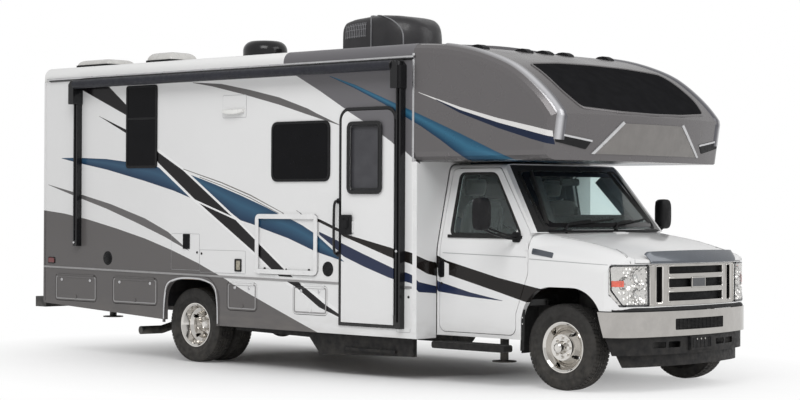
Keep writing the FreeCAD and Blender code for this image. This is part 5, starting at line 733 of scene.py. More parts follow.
# bay and locker doors: a raised bead along the edge, and latches
bayDoors = {
    "right_a": (onRight, (-3.52, -2.82, 0.548, 0.818), 0.042, "bay_door_right_a"),
    "right_b": (onRight, (-2.549, -1.839, 0.548, 0.818), 0.042, "bay_door_right_b"),
    "right_c": (onRight, (-0.779, -0.357, 0.548, 0.818), 0.042, "bay_door_right_c"),
    "right_d": (onRight, (0.147, 0.605, 0.548, 0.818), 0.042, "bay_door_right_d"),
    "left_a": (onLeft, (-3.45, -2.4, 0.548, 0.818), 0.042, "bay_door_left_a"),
    "left_b": (onLeft, (0.25, 1.15, 0.548, 0.818), 0.042, "bay_door_left_b"),
    "locker": (onRight, (-0.365, 0.481, 0.916, 1.488), 0.06, "locker_door"),
}
bayTrim = {"inset": 0.012, "width": 0.013, "proud": 0.0045}


def makeBayTrim(doors, s):
    for name, (place, (x0, x1, z0, z1), radius, body) in doors.items():
        bm = bmesh.new()
        big = name == "locker"
        inner = -s["inset"] - s["width"]
        border(bm, (x0, x1, z0, z1), radius, -s["inset"], inner, 7, place, wallFace - 0.0002,
            wallFace + s["proud"])
        # the grey of the door beads holds a painted highlight and painted shade
        makePiece(f"bayBead_{name}", bm, coachPaint if big else beadGrey, body, bevel=0.002)
        bm = bmesh.new()
        z = z0 + 0.045 if big else z1 - 0.05
        xs = (x0 + 0.12, (x0 + x1) / 2, x1 - 0.12) if big else (x0 + 0.11, x1 - 0.11)
        for x in xs:
            turned(bm, [(0.0165, -0.0004), (0.0165, 0.003), (0.0135, 0.006), (0.006, 0.0065),
                    (0.0055, 0.0035)], place(x, z, wallFace), place(0, 0, 1), 28)
            slab(bm, corners(x - 0.0045, x + 0.0045, z - 0.013, z + 0.013), place, wallFace + 0.004,
                wallFace + 0.009)
        makePiece(f"bayLatch_{name}", bm, blackPlastic if big else brushed, body, bevel=0.0008)


makeBayTrim(bayDoors, bayTrim)
print("bay doors dressed")

# strips along the coach: belt, wheel arch lips, corner strips and roof gutter
coachTrim = {
    "beltRear": (-3.73, 0.9),
    "beltFront": (1.68, 0.843),
    "arch": (0.395, 0.835),
    "doorway": (0.76, 1.492),
    "corners": ((1.654, 1.6795, 0.47, 1.972), (-3.7295, -3.70, 0.53, 2.885)),
    "gutter": (((-3.715, 2.893), (1.62, 2.893), (1.62, 2.9), (-3.715, 2.905)),
        ((-3.715, 2.905), (1.62, 2.9), (1.62, 2.916), (-3.715, 2.921))),
    "gutterBack": (-0.008, 0.006),
}


def makeCoachTrim(s):
    (xr, zr), (xf, zf) = s["beltRear"], s["beltFront"]
    slope = (zf - zr) / (xf - xr)
    for place, side, gaps in ((onRight, "right", (s["doorway"],)), (onLeft, "left", ())):
        bm = bmesh.new()
        spans, start = [], xr + 0.004
        for a, b in gaps:
            spans.append((start, a))
            start = b
        spans.append((start, xf - 0.004))
        for a, b in spans:
            za, zb = zr + slope * (a - xr), zr + slope * (b - xr)
            slab(bm, [(a, za - 0.011), (b, zb - 0.011), (b, zb + 0.011), (a, za + 0.011)], place,
                wallFace - sunk, wallFace + 0.0065)
        # the grey of the belt trim holds a painted highlight and painted shade
        makePiece(f"beltTrim_{side}", bm, beadGrey, bevel=0.003)
        bm = bmesh.new()
        cx, (half, top) = axles["rear"], s["arch"]
        outline = softPath([(cx - half - 0.012, 0.42), (cx - half - 0.008, 0.6),
                (cx - half * 0.93, top - 0.05), (cx - half * 0.45, top + 0.004), (cx, top + 0.009),
                (cx + half * 0.45, top + 0.004), (cx + half * 0.93, top - 0.05), (cx + half + 0.008, 0.6),
                (cx + half + 0.012, 0.405)], 6)
        sweep(bm, [place(p[0], p[1], wallFace + 0.0005) for p in outline],
            [(-0.010, -0.009), (0.008, -0.009), (0.011, -0.004), (0.011, 0.006), (0.004, 0.010),
                (-0.006, 0.010), (-0.010, 0.004)], place(0, 0, 1))
        makePiece(f"archLip_{side}", bm, brushed)
        bm = bmesh.new()
        for box in s["corners"]:
            slab(bm, corners(*box), place, wallFace - sunk, wallFace + 0.0045)
        makePiece(f"cornerTrim_{side}", bm, coachPaint, bevel=0.0016)
        bm = bmesh.new()
        for outline, back in zip(s["gutter"], s["gutterBack"]):
            slab(bm, outline, place, wallFace + back, wallFace + 0.011)
        makePiece(f"roofGutter_{side}", bm, whitePlastic, bevel=0.0012)
    print("coach strips made")


makeCoachTrim(coachTrim)


# what lies on a curved surface is cast onto the frame's own mesh
def skinOf(name):
    bm = bmesh.new()
    bm.from_mesh(nodes[name].data)
    tree = BVHTree.FromBMesh(bm)
    bm.free()
    return tree


def castTo(tree, start, toward):
    hit, normal, _, _ = tree.ray_cast(Vector(start), Vector(toward).normalized())
    return hit, normal


def draped(bm, tree, outline, holes, cast, lift, thick, fine=0.03):
    # a thin sheet on a surface: outline and holes are flat lines, and cast turns a flat point into a ray
    flat = []
    for line in [outline] + list(holes):
        dense = []
        for p, q in zip(line, list(line[1:]) + [line[0]]):
            p, q = Vector(p), Vector(q)
            n = max(1, int((q - p).length / fine))
            dense += [p.lerp(q, k / n) for k in range(n)]
        flat.append(dense)
    points, faces = [], []
    for line in flat:
        faces.append([len(points) + i for i in range(len(line))])
        points += line
    us, vs = [p[0] for p in points], [p[1] for p in points]
    columns, levels = int((max(us) - min(us)) / fine), int((max(vs) - min(vs)) / fine)
    grid = [(min(us) + fine * (i + 0.5), min(vs) + fine * (j + 0.5)) for i in range(columns)
        for j in range(levels)]
    points += [Vector(p) for p in grid if covered(p, flat)]
    verts, _, tris, _, _, _ = delaunay_2d_cdt([Vector(p[:2]) for p in points], [], faces, 0, 0.0001)
    rows = {}
    for i, p in enumerate(verts):
        start, toward = cast(*p)
        hit, normal = castTo(tree, start, toward)
        if hit is not None:
            if normal.dot(Vector(toward)) > 0:
                normal = -normal
            rows[i] = (hit + normal * (lift + thick), hit + normal * lift)
    top = {i: bm.verts.new(a) for i, (a, _) in rows.items()}
    low = {i: bm.verts.new(b) for i, (_, b) in rows.items()}
    used = {}
    for tri in tris:
        mid = (verts[tri[0]] + verts[tri[1]] + verts[tri[2]]) / 3
        if not all(i in rows for i in tri) or not covered(mid, flat):
            continue
        bm.faces.new([top[i] for i in tri])
        for a, b in zip(tri, tri[1:] + tri[:1]):
            used[(a, b)] = True
    for a, b in used:
        if (b, a) not in used:
            bm.faces.new((top[b], top[a], low[a], low[b]))
    bmesh.ops.delete(bm, geom=[v for v in bm.verts if not v.link_faces], context="VERTS")


def within(p, line):
    inside, n = False, len(line)
    for i in range(n):
        a, b = line[i], line[i - 1]
        if (a[1] > p[1]) != (b[1] > p[1]) and p[0] < (b[0] - a[0]) * (p[1] - a[1]) / (b[1] - a[1]) + a[0]:
            inside = not inside
    return inside


def covered(p, lines):
    return within(p, lines[0]) and not any(within(p, hole) for hole in lines[1:])


def fromFront(u, v):
    return (5.0, u, v), (-1, 0, 0)


def fromAbove(u, v):
    return (u, v, 4.0), (0, 0, -1)


def fromRight(u, v):
    return (u, -3.0, v), (0, 1, 0)


def fromLeft(u, v):
    return (u, 3.0, v), (0, -1, 0)


# overcab cap: a black window, a silver chin panel, dark strips, fins, and low housings for clearance lights
capFace = {
    "window": [(-0.915, 2.42), (-0.45, 2.392), (0, 2.384), (0.45, 2.392), (0.915, 2.42), (0.985, 2.56),
        (0.975, 2.72), (0.955, 2.815), (0.5, 2.845), (0, 2.853), (-0.5, 2.845), (-0.955, 2.815),
        (-0.975, 2.72), (-0.985, 2.56)],
    "chin": [(-0.765, 2.03), (0.765, 2.03), (0.43, 2.3), (-0.43, 2.3)],
    "fin": [(0.8, 2.03), (0.762, 2.028), (0.425, 2.3), (0.452, 2.318)],
    "stripTop": [(0.802, 2.147), (1.2, 2.2), (1.2, 2.184), (0.802, 2.13)],
    "strip": [(0.8, 2.148), (0.868, 2.066), (1.205, 2.124), (1.205, 2.2)],
    "lights": (-0.92, -0.3, 0.0, 0.3, 0.92),
    "lightX": 2.16,
    "seam": (1.668, 1.692, 1.974, 2.945),
}


def makeCapFace(c):
    skin = skinOf("front_cap")
    bm = bmesh.new()
    draped(bm, skin, rounded(c["window"], 0.05, 4), [], fromFront, lift=0.0006, thick=0.0035, fine=0.045)
    makePiece("capWindow", bm, capGlass, crease=60)
    bm = bmesh.new()
    edge = []
    for u, v in rounded(c["window"], 0.05, 4):
        hit, normal = castTo(skin, *fromFront(u, v))
        edge.append(hit + normal * 0.001)
    section = [(-0.012, -0.003), (0.012, -0.003), (0.012, 0.004), (0.004, 0.009), (-0.004, 0.009),
        (-0.012, 0.004)]
    sweep(bm, edge, section, (1, 0, 0.5), closed=True)
    makePiece("capWindowSeal", bm, capPaint)
    bm = bmesh.new()
    draped(bm, skin, rounded(c["chin"], 0.03, 4), [], fromFront, lift=0.0005, thick=0.006, fine=0.05)
    makePiece("capChinPanel", bm, chinSilver, crease=60)
    bm = bmesh.new()
    for sign in (-1, 1):
        draped(bm, skin, rounded([(sign * u, v) for u, v in c["strip"]], 0.012, 4), [], fromFront,
            lift=0.0005, thick=0.005, fine=0.04)
    makePiece("capInsets", bm, blackPlastic, crease=60)
    bm = bmesh.new()
    for sign in (-1, 1):
        for line, thick in ((c["fin"], 0.011), (c["stripTop"], 0.008)):
            draped(bm, skin, [(sign * u, v) for u, v in line], [], fromFront, lift=0.0005, thick=thick,
                fine=0.03)
    makePiece("capFins", bm, finSilver, crease=60)
    bm = bmesh.new()
    for y in c["lights"]:
        x = c["lightX"]
        base = castTo(skin, *fromAbove(x, y))[0].z
        side = [(x - 0.09, base - 0.012), (x + 0.085, base - 0.03), (x + 0.078, base + 0.004),
            (x + 0.02, base + 0.03), (x - 0.05, base + 0.026), (x - 0.085, base + 0.008)]
        slab(bm, rounded(side, 0.02, 3), acrossCab, y - 0.045, y + 0.045)
    makePiece("clearanceLights", bm, blackPlastic, bevel=0.008)
    bm = bmesh.new()
    for place in (onRight, onLeft):
        slab(bm, corners(*c["seam"]), place, wallFace - 0.0006, wallFace + 0.0055)
    makePiece("capSeam", bm, brushed, bevel=0.003)
    print("cap dressed")


makeCapFace(capFace)

# tail and side lamps stand for the frame's block lamps
lampPlaces = {
    "tail": (-1.13, 1.13),
    "marker": (-3.586, 0.97),
    "segments": ((0.99, 1.13), (1.135, 1.19), (1.195, 1.31)),
    "tailFrame": (0.975, 1.325, 0.987, 1.313),
}


def makeLamps(s):
    bm, glass = bmesh.new(), bmesh.new()
    for y in s["tail"]:
        for z0, z1 in s["segments"]:
            slab(glass, panel(y - 0.055, y + 0.055, z0, z1, 0.016, 4), onRear, rearFace + clear,
                rearFace + 0.018)
        z0, z1, z2, z3 = s["tailFrame"]
        ring(bm, panel(y - 0.068, y + 0.068, z0, z1, 0.028, 5), panel(y - 0.056, y + 0.056, z2, z3, 0.018, 5),
            onRear, rearFace - 0.0002, rearFace + 0.021)
    x, z = s["marker"]
    for place in (onRight, onLeft):
        slab(glass, panel(x - 0.05, x + 0.05, z - 0.026, z + 0.026, 0.012, 4), place, wallFace + clear,
            wallFace + 0.013)
        ring(bm, panel(x - 0.058, x + 0.058, z - 0.034, z + 0.034, 0.016, 4),
            panel(x - 0.05, x + 0.05, z - 0.026, z + 0.026, 0.012, 4), place, wallFace - 0.0002,
            wallFace + 0.009)
    makePiece("tailAndMarkerLenses", glass, redLens, bevel=0.004, stands=["lamps"])
    makePiece("lampBezels", bm, blackPlastic, bevel=0.002)


makeLamps(lampPlaces)
print("lamps made")

# grille: a chrome frame with three dark rows, two side slots, mesh behind and a bare grey block
grille = {
    "z": (0.735, 1.092),
    "depth": 0.034,
    "block": (0.105, 0.05, 0.93),
    "bars": 8,
    "slots": ((-0.4, 0.4, 1.008, 1.07), (-0.4, 0.4, 0.892, 0.966), (-0.4, 0.4, 0.776, 0.85),
        (-0.553, -0.486, 0.768, 1.07), (0.486, 0.553, 0.768, 1.07)),
}


def makeGrille(g):
    skin, backing = skinOf("grille"), skinOf("grille_backing")
    z0, z1 = g["z"]
    ys = [-0.639 + 1.278 * k / 64 for k in range(65)]
    front = [castTo(skin, *fromFront(y, 1.068))[0].x - 0.008 for y in ys]
    spots = [(x, y, z) for x, y in zip(front, ys) for z in (z0 - 0.05, z1 + 0.05)]
    sheet = BVHTree.FromPolygons(spots, [(2 * k, 2 * k + 2, 2 * k + 3, 2 * k + 1) for k in range(64)])
    bm = bmesh.new()
    holes = [panel(*slot, 0.009, 3) for slot in g["slots"]]
    draped(bm, sheet, panel(-0.636, 0.636, z0 + 0.002, z1 - 0.002, 0.012, 4), holes, fromFront,
        lift=-g["depth"], thick=g["depth"], fine=0.03)
    makePiece("grilleFrame", bm, chrome, stands=["grille"], crease=40)
    rims = bmesh.new()
    section = [(-0.007, -0.003), (0.006, -0.003), (0.006, 0.002), (0.001, 0.0065), (-0.004, 0.0045)]
    for slot in g["slots"]:
        path = [castTo(sheet, *fromFront(u, v))[0] for u, v in panel(*slot, 0.012, 4, grow=0.008)]
        sweep(rims, path, section, (1, 0, 0), closed=True)
    path = [castTo(sheet, *fromFront(u, v))[0] for u, v in panel(-0.626, 0.626, z0 + 0.012, z1 - 0.012, 0.014,
            5)]
    sweep(rims, path, section, (1, 0, 0), closed=True)
    makePiece("grilleRims", rims, wheelChrome)
    bm = bmesh.new()
    for y0, y1, low, high in g["slots"]:
        for k in range(1, g["bars"]):
            z = low + (high - low) * k / g["bars"]
            path = [castTo(backing, *fromFront(y0 + (y1 - y0) * j / 24, z))[0] for j in range(25)]
            sweep(bm, path, corners(-0.0005, 0.006, -0.0014, 0.0014), (0, 0, 1))
    makePiece("grilleMesh", bm, blackPlastic)
    a, b, mid = g["block"]
    face = max(front)
    bm = bmesh.new()
    slab(bm, panel(-a, a, mid - b, mid + b, 0.018, 6), onFront, face - 0.02, face + 0.006)
    makePiece("grilleBlock", bm, chrome, bevel=0.004)
    bm = bmesh.new()
    slab(bm, panel(-a, a, mid - b, mid + b, 0.012, 6, grow=-0.014), onFront, face - 0.01, face + 0.0075)
    makePiece("grilleBlockFace", bm, blockGrey, bevel=0.0015)
    print("grille made")


makeGrille(grille)


# wheels: a bright lip round each outer rim
wheelLip = {
    "out": 0.0765,
    "profile": [(0.2185, -0.004), (0.2205, 0.001), (0.2165, 0.0035), (0.2085, 0.0025), (0.205, -0.004),
        (0.2085, -0.006)],
}


def makeWheelLips(w):
    outerTyre = axles["rearTrack"] + axles["twin"]
    for end, wheel, y in (("front", "front_wheel", axles["frontTrack"]), ("rear", "rear_wheels", outerTyre)):
        for side, sign in (("Right", -1), ("Left", 1)):
            bm = bmesh.new()
            centre = (axles[end], sign * (y + w["out"]), axles["height"])
            lathe(bm, w["profile"] + w["profile"][:1], centre, (0, sign, 0), 72, capped=False)
            makePiece(f"wheelLip_{end}{side}", bm, wheelChrome, f"{wheel}_{side.lower()}")


makeWheelLips(wheelLip)
print("wheel lips made")


# seats: padded cushions and backs, made from rounded forms that pull in at their corners
seatPads = {
    "y": 0.56,
    "cushion": (1.93, 2.40, 0.955, 1.105, 0.235),
    "back": (1.905, 1.1, 1.64, 0.13, 0.11),
    "head": (1.665, 1.825, 0.13, 0.1),
    "boxes": ((1.99, 2.33, 0.765, 0.955, 0.02, 4, 0.15), (1.94, 2.39, 0.94, 0.962, 0.008, 3, 0.22)),
}


def puff(bm, size, centre, tilt=0.0, crown=0.14, channels=0):
    # a crowned closed form on a grid: thickest in the middle, drawn in at the corners and along its seams
    n = 14
    sx, sy, sz = size
    turn = Matrix.Rotation(tilt, 3, "Y")
    for face in (1, -1):
        rows = []
        for i in range(n + 1):
            row = []
            for j in range(n + 1):
                u, v = 2 * i / n - 1, 2 * j / n - 1
                body = max(0.0, (1 - abs(u) ** 5) * (1 - abs(v) ** 5)) ** 0.42
                pull = 1 - 0.06 * (u * u * v * v)
                sewn = channels and abs((u * channels) % 1 - 0.5) > 0.43 and abs(v) < 0.8
                seam = 0.91 if sewn else 1
                w = face * body * (1 + crown * (1 - u * u) * (1 - v * v)) * seam / (1 + crown)
                spot = Vector((u * pull * sx / 2, v * pull * sy / 2, w * sz / 2))
                row.append(bm.verts.new(Vector(centre) + turn @ spot))
            rows.append(row)
        for i in range(n):
            for j in range(n):
                bm.faces.new((rows[i][j], rows[i + 1][j], rows[i + 1][j + 1], rows[i][j + 1]))
    bmesh.ops.remove_doubles(bm, verts=bm.verts, dist=0.0004)


def makeSeats(s):
    bm, frames = bmesh.new(), bmesh.new()
    for y in (-s["y"], s["y"]):
        x0, x1, z0, z1, half = s["cushion"]
        puff(bm, (x1 - x0, half * 2, z1 - z0), ((x0 + x1) / 2, y, (z0 + z1) / 2), -0.05, 0.18, 3)
        for edge in (-1, 1):
            puff(bm, (x1 - x0 - 0.02, 0.085, z1 - z0 - 0.01), ((x0 + x1) / 2, y + edge * (half - 0.045),
                    (z0 + z1) / 2 + 0.004), -0.05, 0.1)
        x, z0, z1, thick, lean = s["back"]
        tilt = math.atan2(lean, z1 - z0) + 1.5 * math.pi
        puff(bm, (z1 - z0, 0.47, thick), (x - 0.03, y, (z0 + z1) / 2), tilt, 0.2, 4)
        for edge in (-1, 1):
            puff(bm, (z1 - z0 - 0.06, 0.08, thick + 0.015), (x - 0.025, y + edge * 0.19, (z0 + z1) / 2), tilt,
                0.1)
        z0, z1, half, thick = s["head"]
        puff(bm, (z1 - z0, half * 2, thick), (x - 0.098, y, (z0 + z1) / 2), tilt, 0.3)
        for rod in (-0.05, 0.05):
            sweep(frames, [(x - 0.088, y + rod, 1.6), (x - 0.098, y + rod, 1.7)], disc(0.006, 10), (0, 1, 0))
        for *box, wide in s["boxes"]:
            slab(frames, panel(*box), acrossCab, y - wide, y + wide)
    pads = makePiece("seatPads", bm, seatCloth, stands=["front_seats"], crease=80)
    makePiece("seatBases", frames, cabPlastic, bevel=0.004)
    print("seats made")


makeSeats(seatPads)


# shoulders of the cap: a rounded roll along each upper edge and down the front corner
capRoll = {"y": 1.168, "half": 0.062, "proud": 0.016, "centre": (2.2, 1.9), "from": 100.0, "to": 13.0}


def makeCapRoll(c):
    skin = skinOf("front_cap")
    bm = bmesh.new()
    for sign in (-1, 1):
        across = Vector((0, sign, 0))
        lines = []
        for i in range(49):
            a = math.radians(c["from"] + (c["to"] - c["from"]) * i / 48)
            out = Vector((math.cos(a), 0, math.sin(a)))
            reach = Vector((c["centre"][0], sign * c["y"], c["centre"][1])) + out * 2.5
            hit, normal = castTo(skin, reach, -out)
            if hit is None:
                continue
            line = []
            for k in range(11):
                s = k / 10
                point = hit + across * (c["half"] * (2 * s - 1)) + normal * 0.2
                low, n = castTo(skin, point, -normal)
                if low is None or (low - hit).length > 0.16:
                    low, n = castTo(skin, hit + across * 0.3 - normal * (0.02 + 0.25 * max(0, s - 0.5)),
                        -across)
                if low is None:
                    low, n = hit, normal
                rise = c["proud"] * (math.sin(math.pi * s) ** 0.6 if 0 < s < 1 else 0) - 0.002
                line.append(low + (n if n.dot(out + across) > 0 else -n) * rise)
            lines.append(loop(bm, line))
        shell(bm, lines, closed=False, capped=False)
    # the roll's paint holds a painted highlight along its crest and painted shade toward the window
    makePiece("capShoulders", bm, capShoulderPaintedLight, crease=70)


makeCapRoll(capRoll)
print("cap shoulders made")

# hood strip: a dark glossy deflector with slanted ends that stands for the frame's plain one
deflector = {"half": 0.655, "low": 1.098, "top": 1.206, "lean": 0.052, "lift": 0.012}


def makeDeflector(d):
    skin = skinOf("grille")
    bm = bmesh.new()
    outer, inner = [], []
    for i in range(41):
        u = 2 * i / 40 - 1
        front, _ = castTo(skin, *fromFront(0.625 * u, 1.06))
        line = []
        for k in range(7):
            t = k / 6
            end = max(0.0, (abs(u) - 0.93) / 0.07)
            z = d["low"] + (d["top"] - 0.008 * u * u - 0.02 * end ** 2 - d["low"]) * t
            line.append(Vector((front.x + d["lift"] - d["lean"] * t ** 1.7, u * (d["half"] - 0.02 + 0.03 * t),
                        z)))
        outer.append(loop(bm, line))
        inner.append(loop(bm, [p + Vector((-0.005, 0, 0)) for p in line]))
    for sheet in (outer, inner):
        shell(bm, sheet, closed=False, capped=False)
    for edge in (0, -1):
        bridge(bm, [line[edge] for line in outer], [line[edge] for line in inner], closed=False)
        bridge(bm, outer[edge], inner[edge], closed=False)
    makePiece("hoodDeflector", bm, deflectorGloss, "hood", bevel=0.001, stands=["hood_deflector"], crease=50)


makeDeflector(deflector)
print("hood strip made")

# headlamps: a bright reflector with three bowls, an orange marker, rims and bulbs, behind the clear cover
headlamp = {
    "low": 0.742,
    "top": 1.085,
    "y": (0.655, 0.98),
    "back": 3.64,
    "marker": (0.885, 0.972, 0.905, 0.955),
    "bowls": ((0.745, 0.99, 0.085, 0.02), (0.745, 0.83, 0.07, 0.016), (0.87, 0.93, 0.06, 0.013)),
    "edge": [(0.648, 0.742), (0.66, 1.087), (0.983, 1.087), (0.983, 0.882), (0.9, 0.742)],
}


def makeReflector(bm, lens, sign, h):
    columns, levels = 30, 24
    y0, y1 = h["y"]
    rows = []
    for i in range(columns):
        y = y0 + (y1 - y0) * i / (columns - 1)
        line = []
        for k in range(levels):
            z = h["low"] + 0.012 + (h["top"] - h["low"] - 0.024) * k / (levels - 1)
            hit, _ = castTo(lens, *fromFront(sign * y, z))
            if hit is None or hit.x < h["back"]:
                line.append(None)
                continue
            bowls = [math.hypot(y - cy, z - cz) / r for cy, cz, r, _ in h["bowls"]]
            depth = max([0.0] + [0.042 * (1 - q * q) for q in bowls if q < 1])
            facet = 0.007 * math.sin(i * 1.9) * math.sin(k * 1.6)
            line.append(bm.verts.new((hit.x - 0.014 - depth - facet, sign * y, z)))
        rows.append(line)
    for a, b in zip(rows, rows[1:]):
        for j in range(levels - 1):
            quad = (a[j], a[j + 1], b[j + 1], b[j])
            if all(quad):
                bm.faces.new(quad)


def makeMarker(bm, lens, sign, h):
    y0, y1, z0, z1 = h["marker"]
    rows = []
    for i in range(8):
        line = []
        for k in range(4):
            y, z = y0 + (y1 - y0) * i / 7, z0 + (z1 - z0) * k / 3
            hit, _ = castTo(lens, *fromFront(sign * y, z))
            line.append(((hit.x if hit is not None else 3.68) - 0.009, sign * y, z))
        rows.append(loop(bm, line))
    shell(bm, rows, closed=False, capped=False)


def makeHeadlamps(h):
    lens = skinOf("headlamps")
    reflectors, markers, rims, bulbs = (bmesh.new() for _ in range(4))
    for sign in (-1, 1):
        makeReflector(reflectors, lens, sign, h)
        makeMarker(markers, lens, sign, h)
        for y, z, _, r in h["bowls"]:
            x = castTo(lens, *fromFront(sign * y, z))[0].x
            bulb = [(tip, 0.024), (r * 0.5, 0.0225), (r * 0.9, 0.015), (r, 0.006), (r, -0.02), (tip, -0.02)]
            lathe(bulbs, bulb, (x - 0.05, sign * y, z), (1, 0, 0), 20)
            rim = [(r * 2.9, 0.0), (r * 3.05, 0.002), (r * 3.05, 0.005), (r * 2.9, 0.006), (r * 2.8, 0.003),
                (r * 2.9, 0.0)]
            lathe(rims, rim, (x - 0.034, sign * y, z), (1, 0, 0), 28, capped=False)
        edge = []
        for u, v in rounded(h["edge"], 0.012, 4):
            hit, _ = castTo(lens, *fromFront(sign * min(u, 0.968), max(v, 0.75)))
            if hit is not None:
                edge.append(Vector((hit.x + 0.001, sign * u, v)))
        sweep(rims, edge, corners(-0.0055, 0.0055, -0.004, 0.002), (1, 0, 0), closed=True)
    makePiece("headlampReflectors", reflectors, wheelChrome, crease=3)
    makePiece("headlampMarkers", markers, orangeLens)
    makePiece("headlampRims", rims, blackPlastic, crease=50)
    makePiece("headlampBulbs", bulbs, lensGlass)


makeHeadlamps(headlamp)
print("front lamps made")


# windshield: black band and seal, wipers, inside mirror and visors, cowl, pillar and dash trim
windshieldTrim = {
    "band": [(-0.79, 1.392), (0.79, 1.392), (0.70, 1.885), (-0.70, 1.885)],
    "bandMiddle": 1.638,
    "bandScale": (0.925, 0.84),
    "seal": [(-0.81, 1.381), (0.81, 1.381), (0.715, 1.893), (-0.715, 1.893)],
    "wipers": ((-0.62, 0.05), (0.02, 0.66)),
    "wiperZ": (1.402, 1.455),
    "mirror": (-0.13, 0.13, 1.765, 1.83),
    "mirrorX": (2.445, 2.475),
    "mirrorStem": ((2.47, 0, 1.83), (2.455, 0, 1.872)),
    "visor": (0.22, 0.66, 1.865, 1.89),
    "visorX": (2.30, 2.42),
    "dash": [(2.47, 1.34), (2.76, 1.34), (2.765, 1.43), (2.66, 1.492), (2.53, 1.503), (2.47, 1.47)],
}


def makeWindshieldEdge(w, glass):
    bm = bmesh.new()
    outer = rounded(w["band"], 0.07, 6)
    middle, (across, up) = w["bandMiddle"], w["bandScale"]
    inner = [(u * across, middle + (v - middle) * up) for u, v in outer]
    draped(bm, glass, outer, [inner], fromFront, lift=0.0005, thick=0.0015, fine=0.035)
    makePiece("windshieldBand", bm, blackGloss, crease=60)
    edge = []
    for u, v in rounded(w["seal"], 0.07, 7):
        hit, normal = castTo(glass, *fromFront(u, v))
        if hit is not None:
            edge.append(hit + normal * (0.002 if normal.x > 0 else -0.002))
    bm = bmesh.new()
    section = [(-0.013, -0.005), (0.013, -0.005), (0.013, 0.004), (0.006, 0.008), (-0.006, 0.008),
        (-0.013, 0.004)]
    sweep(bm, edge, section, (1, 0, 0.4), closed=True)
    makePiece("windshieldSeal", bm, rubber)


def makeWipers(w, glass):
    z0, z1 = w["wiperZ"]
    arms, blades = bmesh.new(), bmesh.new()
    for y0, y1 in w["wipers"]:
        a, b = castTo(glass, *fromFront(y0, z0))[0], castTo(glass, *fromFront(y1, z1))[0]
        lift = Vector((0.02, 0, 0.022))
        foot = a + Vector((0.045, 0, -0.035))
        mid = a.lerp(b, 0.55) + lift
        sweep(arms, softPath([foot, foot + Vector((0, 0, 0.02)), a.lerp(b, 0.12) + lift * 1.3, mid], 6),
            [(-0.009, -0.003), (0.009, -0.003), (0.007, 0.004), (-0.007, 0.004)], (1, 0, 0.8))
        turned(arms, [(0.02, -0.02), (0.02, 0.004), (0.014, 0.012)], foot, (0.35, 0, 1), 20, crown=0.001)
        line = []
        for k in range(13):
            t = 0.1 + 0.95 * k / 12
            hit, _ = castTo(glass, *fromFront(y0 + (y1 - y0) * t, z0 + (z1 - z0) * t))
            if hit is not None:
                line.append(hit + Vector((0.008, 0, 0.009)))
        sweep(blades, line, [(-0.004, -0.008), (0.004, -0.008), (0.007, 0.001), (0.004, 0.007),
                (-0.004, 0.007), (-0.007, 0.001)], (1, 0, 0.8))
    makePiece("wiperArms", arms, blackPlastic, bevel=0.001)
    makePiece("wiperBlades", blades, rubber)


def makeCabInside(w, glass):
    bm = bmesh.new()
    slab(bm, panel(*w["mirror"], 0.03, 5), onFront, *w["mirrorX"])
    sweep(bm, w["mirrorStem"], disc(0.009, 10), (0, 1, 0))
    for sign in (-1, 1):
        near, far, z0, z1 = w["visor"]
        slab(bm, panel(*sorted((sign * near, sign * far)), z0, z1, 0.01, 3), onFront, *w["visorX"])
    makePiece("insideMirrorAndVisors", bm, cabPlastic, bevel=0.004)
    bm = bmesh.new()
    cowl = []
    for i in range(25):
        y = -0.80 + 1.6 * i / 24
        hit, _ = castTo(glass, *fromFront(y * 0.985, 1.4))
        cowl.append(Vector(((hit.x if hit is not None else 2.8) + 0.03, y, 1.358)))
    sweep(bm, cowl, [(-0.035, -0.006), (0.03, -0.010), (0.034, 0.0), (0.02, 0.008), (-0.02, 0.016),
            (-0.035, 0.016)], (0, 0, 1))
    makePiece("cowlPanel", bm, blackPlastic, bevel=0.002)
    bm = bmesh.new()
    for sign in (-1, 1):
        path = []
        for k in range(13):
            t = k / 12
            hit, _ = castTo(glass, *fromFront(sign * (0.71 - 0.19 * t), 1.385 + 0.465 * t))
            if hit is not None:
                path.append(hit + Vector((-0.075, 0, 0)))
        sweep(bm, path, corners(-0.085, 0.085, -0.04, 0.045), (1, 0, 0))
    slab(bm, rounded(w["dash"], 0.02, 5), acrossCab, -0.76, 0.76)
    makePiece("pillarAndDashTrim", bm, cabPlastic, bevel=0.006)


shield = skinOf("windshield")
makeWindshieldEdge(windshieldTrim, shield)
makeWipers(windshieldTrim, shield)
makeCabInside(windshieldTrim, shield)
print("windshield dressed")

# cab doors: handle, lock, white plate, window seal, sill strip and crease
cabDoorTrim = {
    "handle": (1.79, 1.01),
    "window": [(1.868, 1.319), (2.686, 1.319), (2.286, 1.871), (1.868, 1.871)],
    "lean": ((1.319, 0.962), (1.871, 0.825)),
    "sill": (1.845, 2.70, 0.974, 1.306),
    "crease": ((1.80, 1.155), (2.77, 1.135)),
}


def makeDoorSeal(d, sign):
    bm = bmesh.new()
    (z0, y0), (z1, y1) = d["lean"]
    path = [Vector((u, sign * (y0 + (y1 - y0) * (v - z0) / (z1 - z0)), v))
        for u, v in rounded(d["window"], 0.055, 7)]
    section = [(-0.016, -0.006), (0.012, -0.006), (0.012, 0.008), (0.004, 0.012), (-0.008, 0.012),
        (-0.016, 0.006)]
    sweep(bm, path, section, (0, sign, 0.2), closed=True)
    x0, x1, y, z = d["sill"]
    section = [(-0.014, -0.014), (0.012, -0.014), (0.014, 0.004), (0.008, 0.014), (-0.010, 0.014)]
    sweep(bm, [(x, sign * y, z) for x in (x0, (x0 + x1) / 2, x1)], section)
    return bm


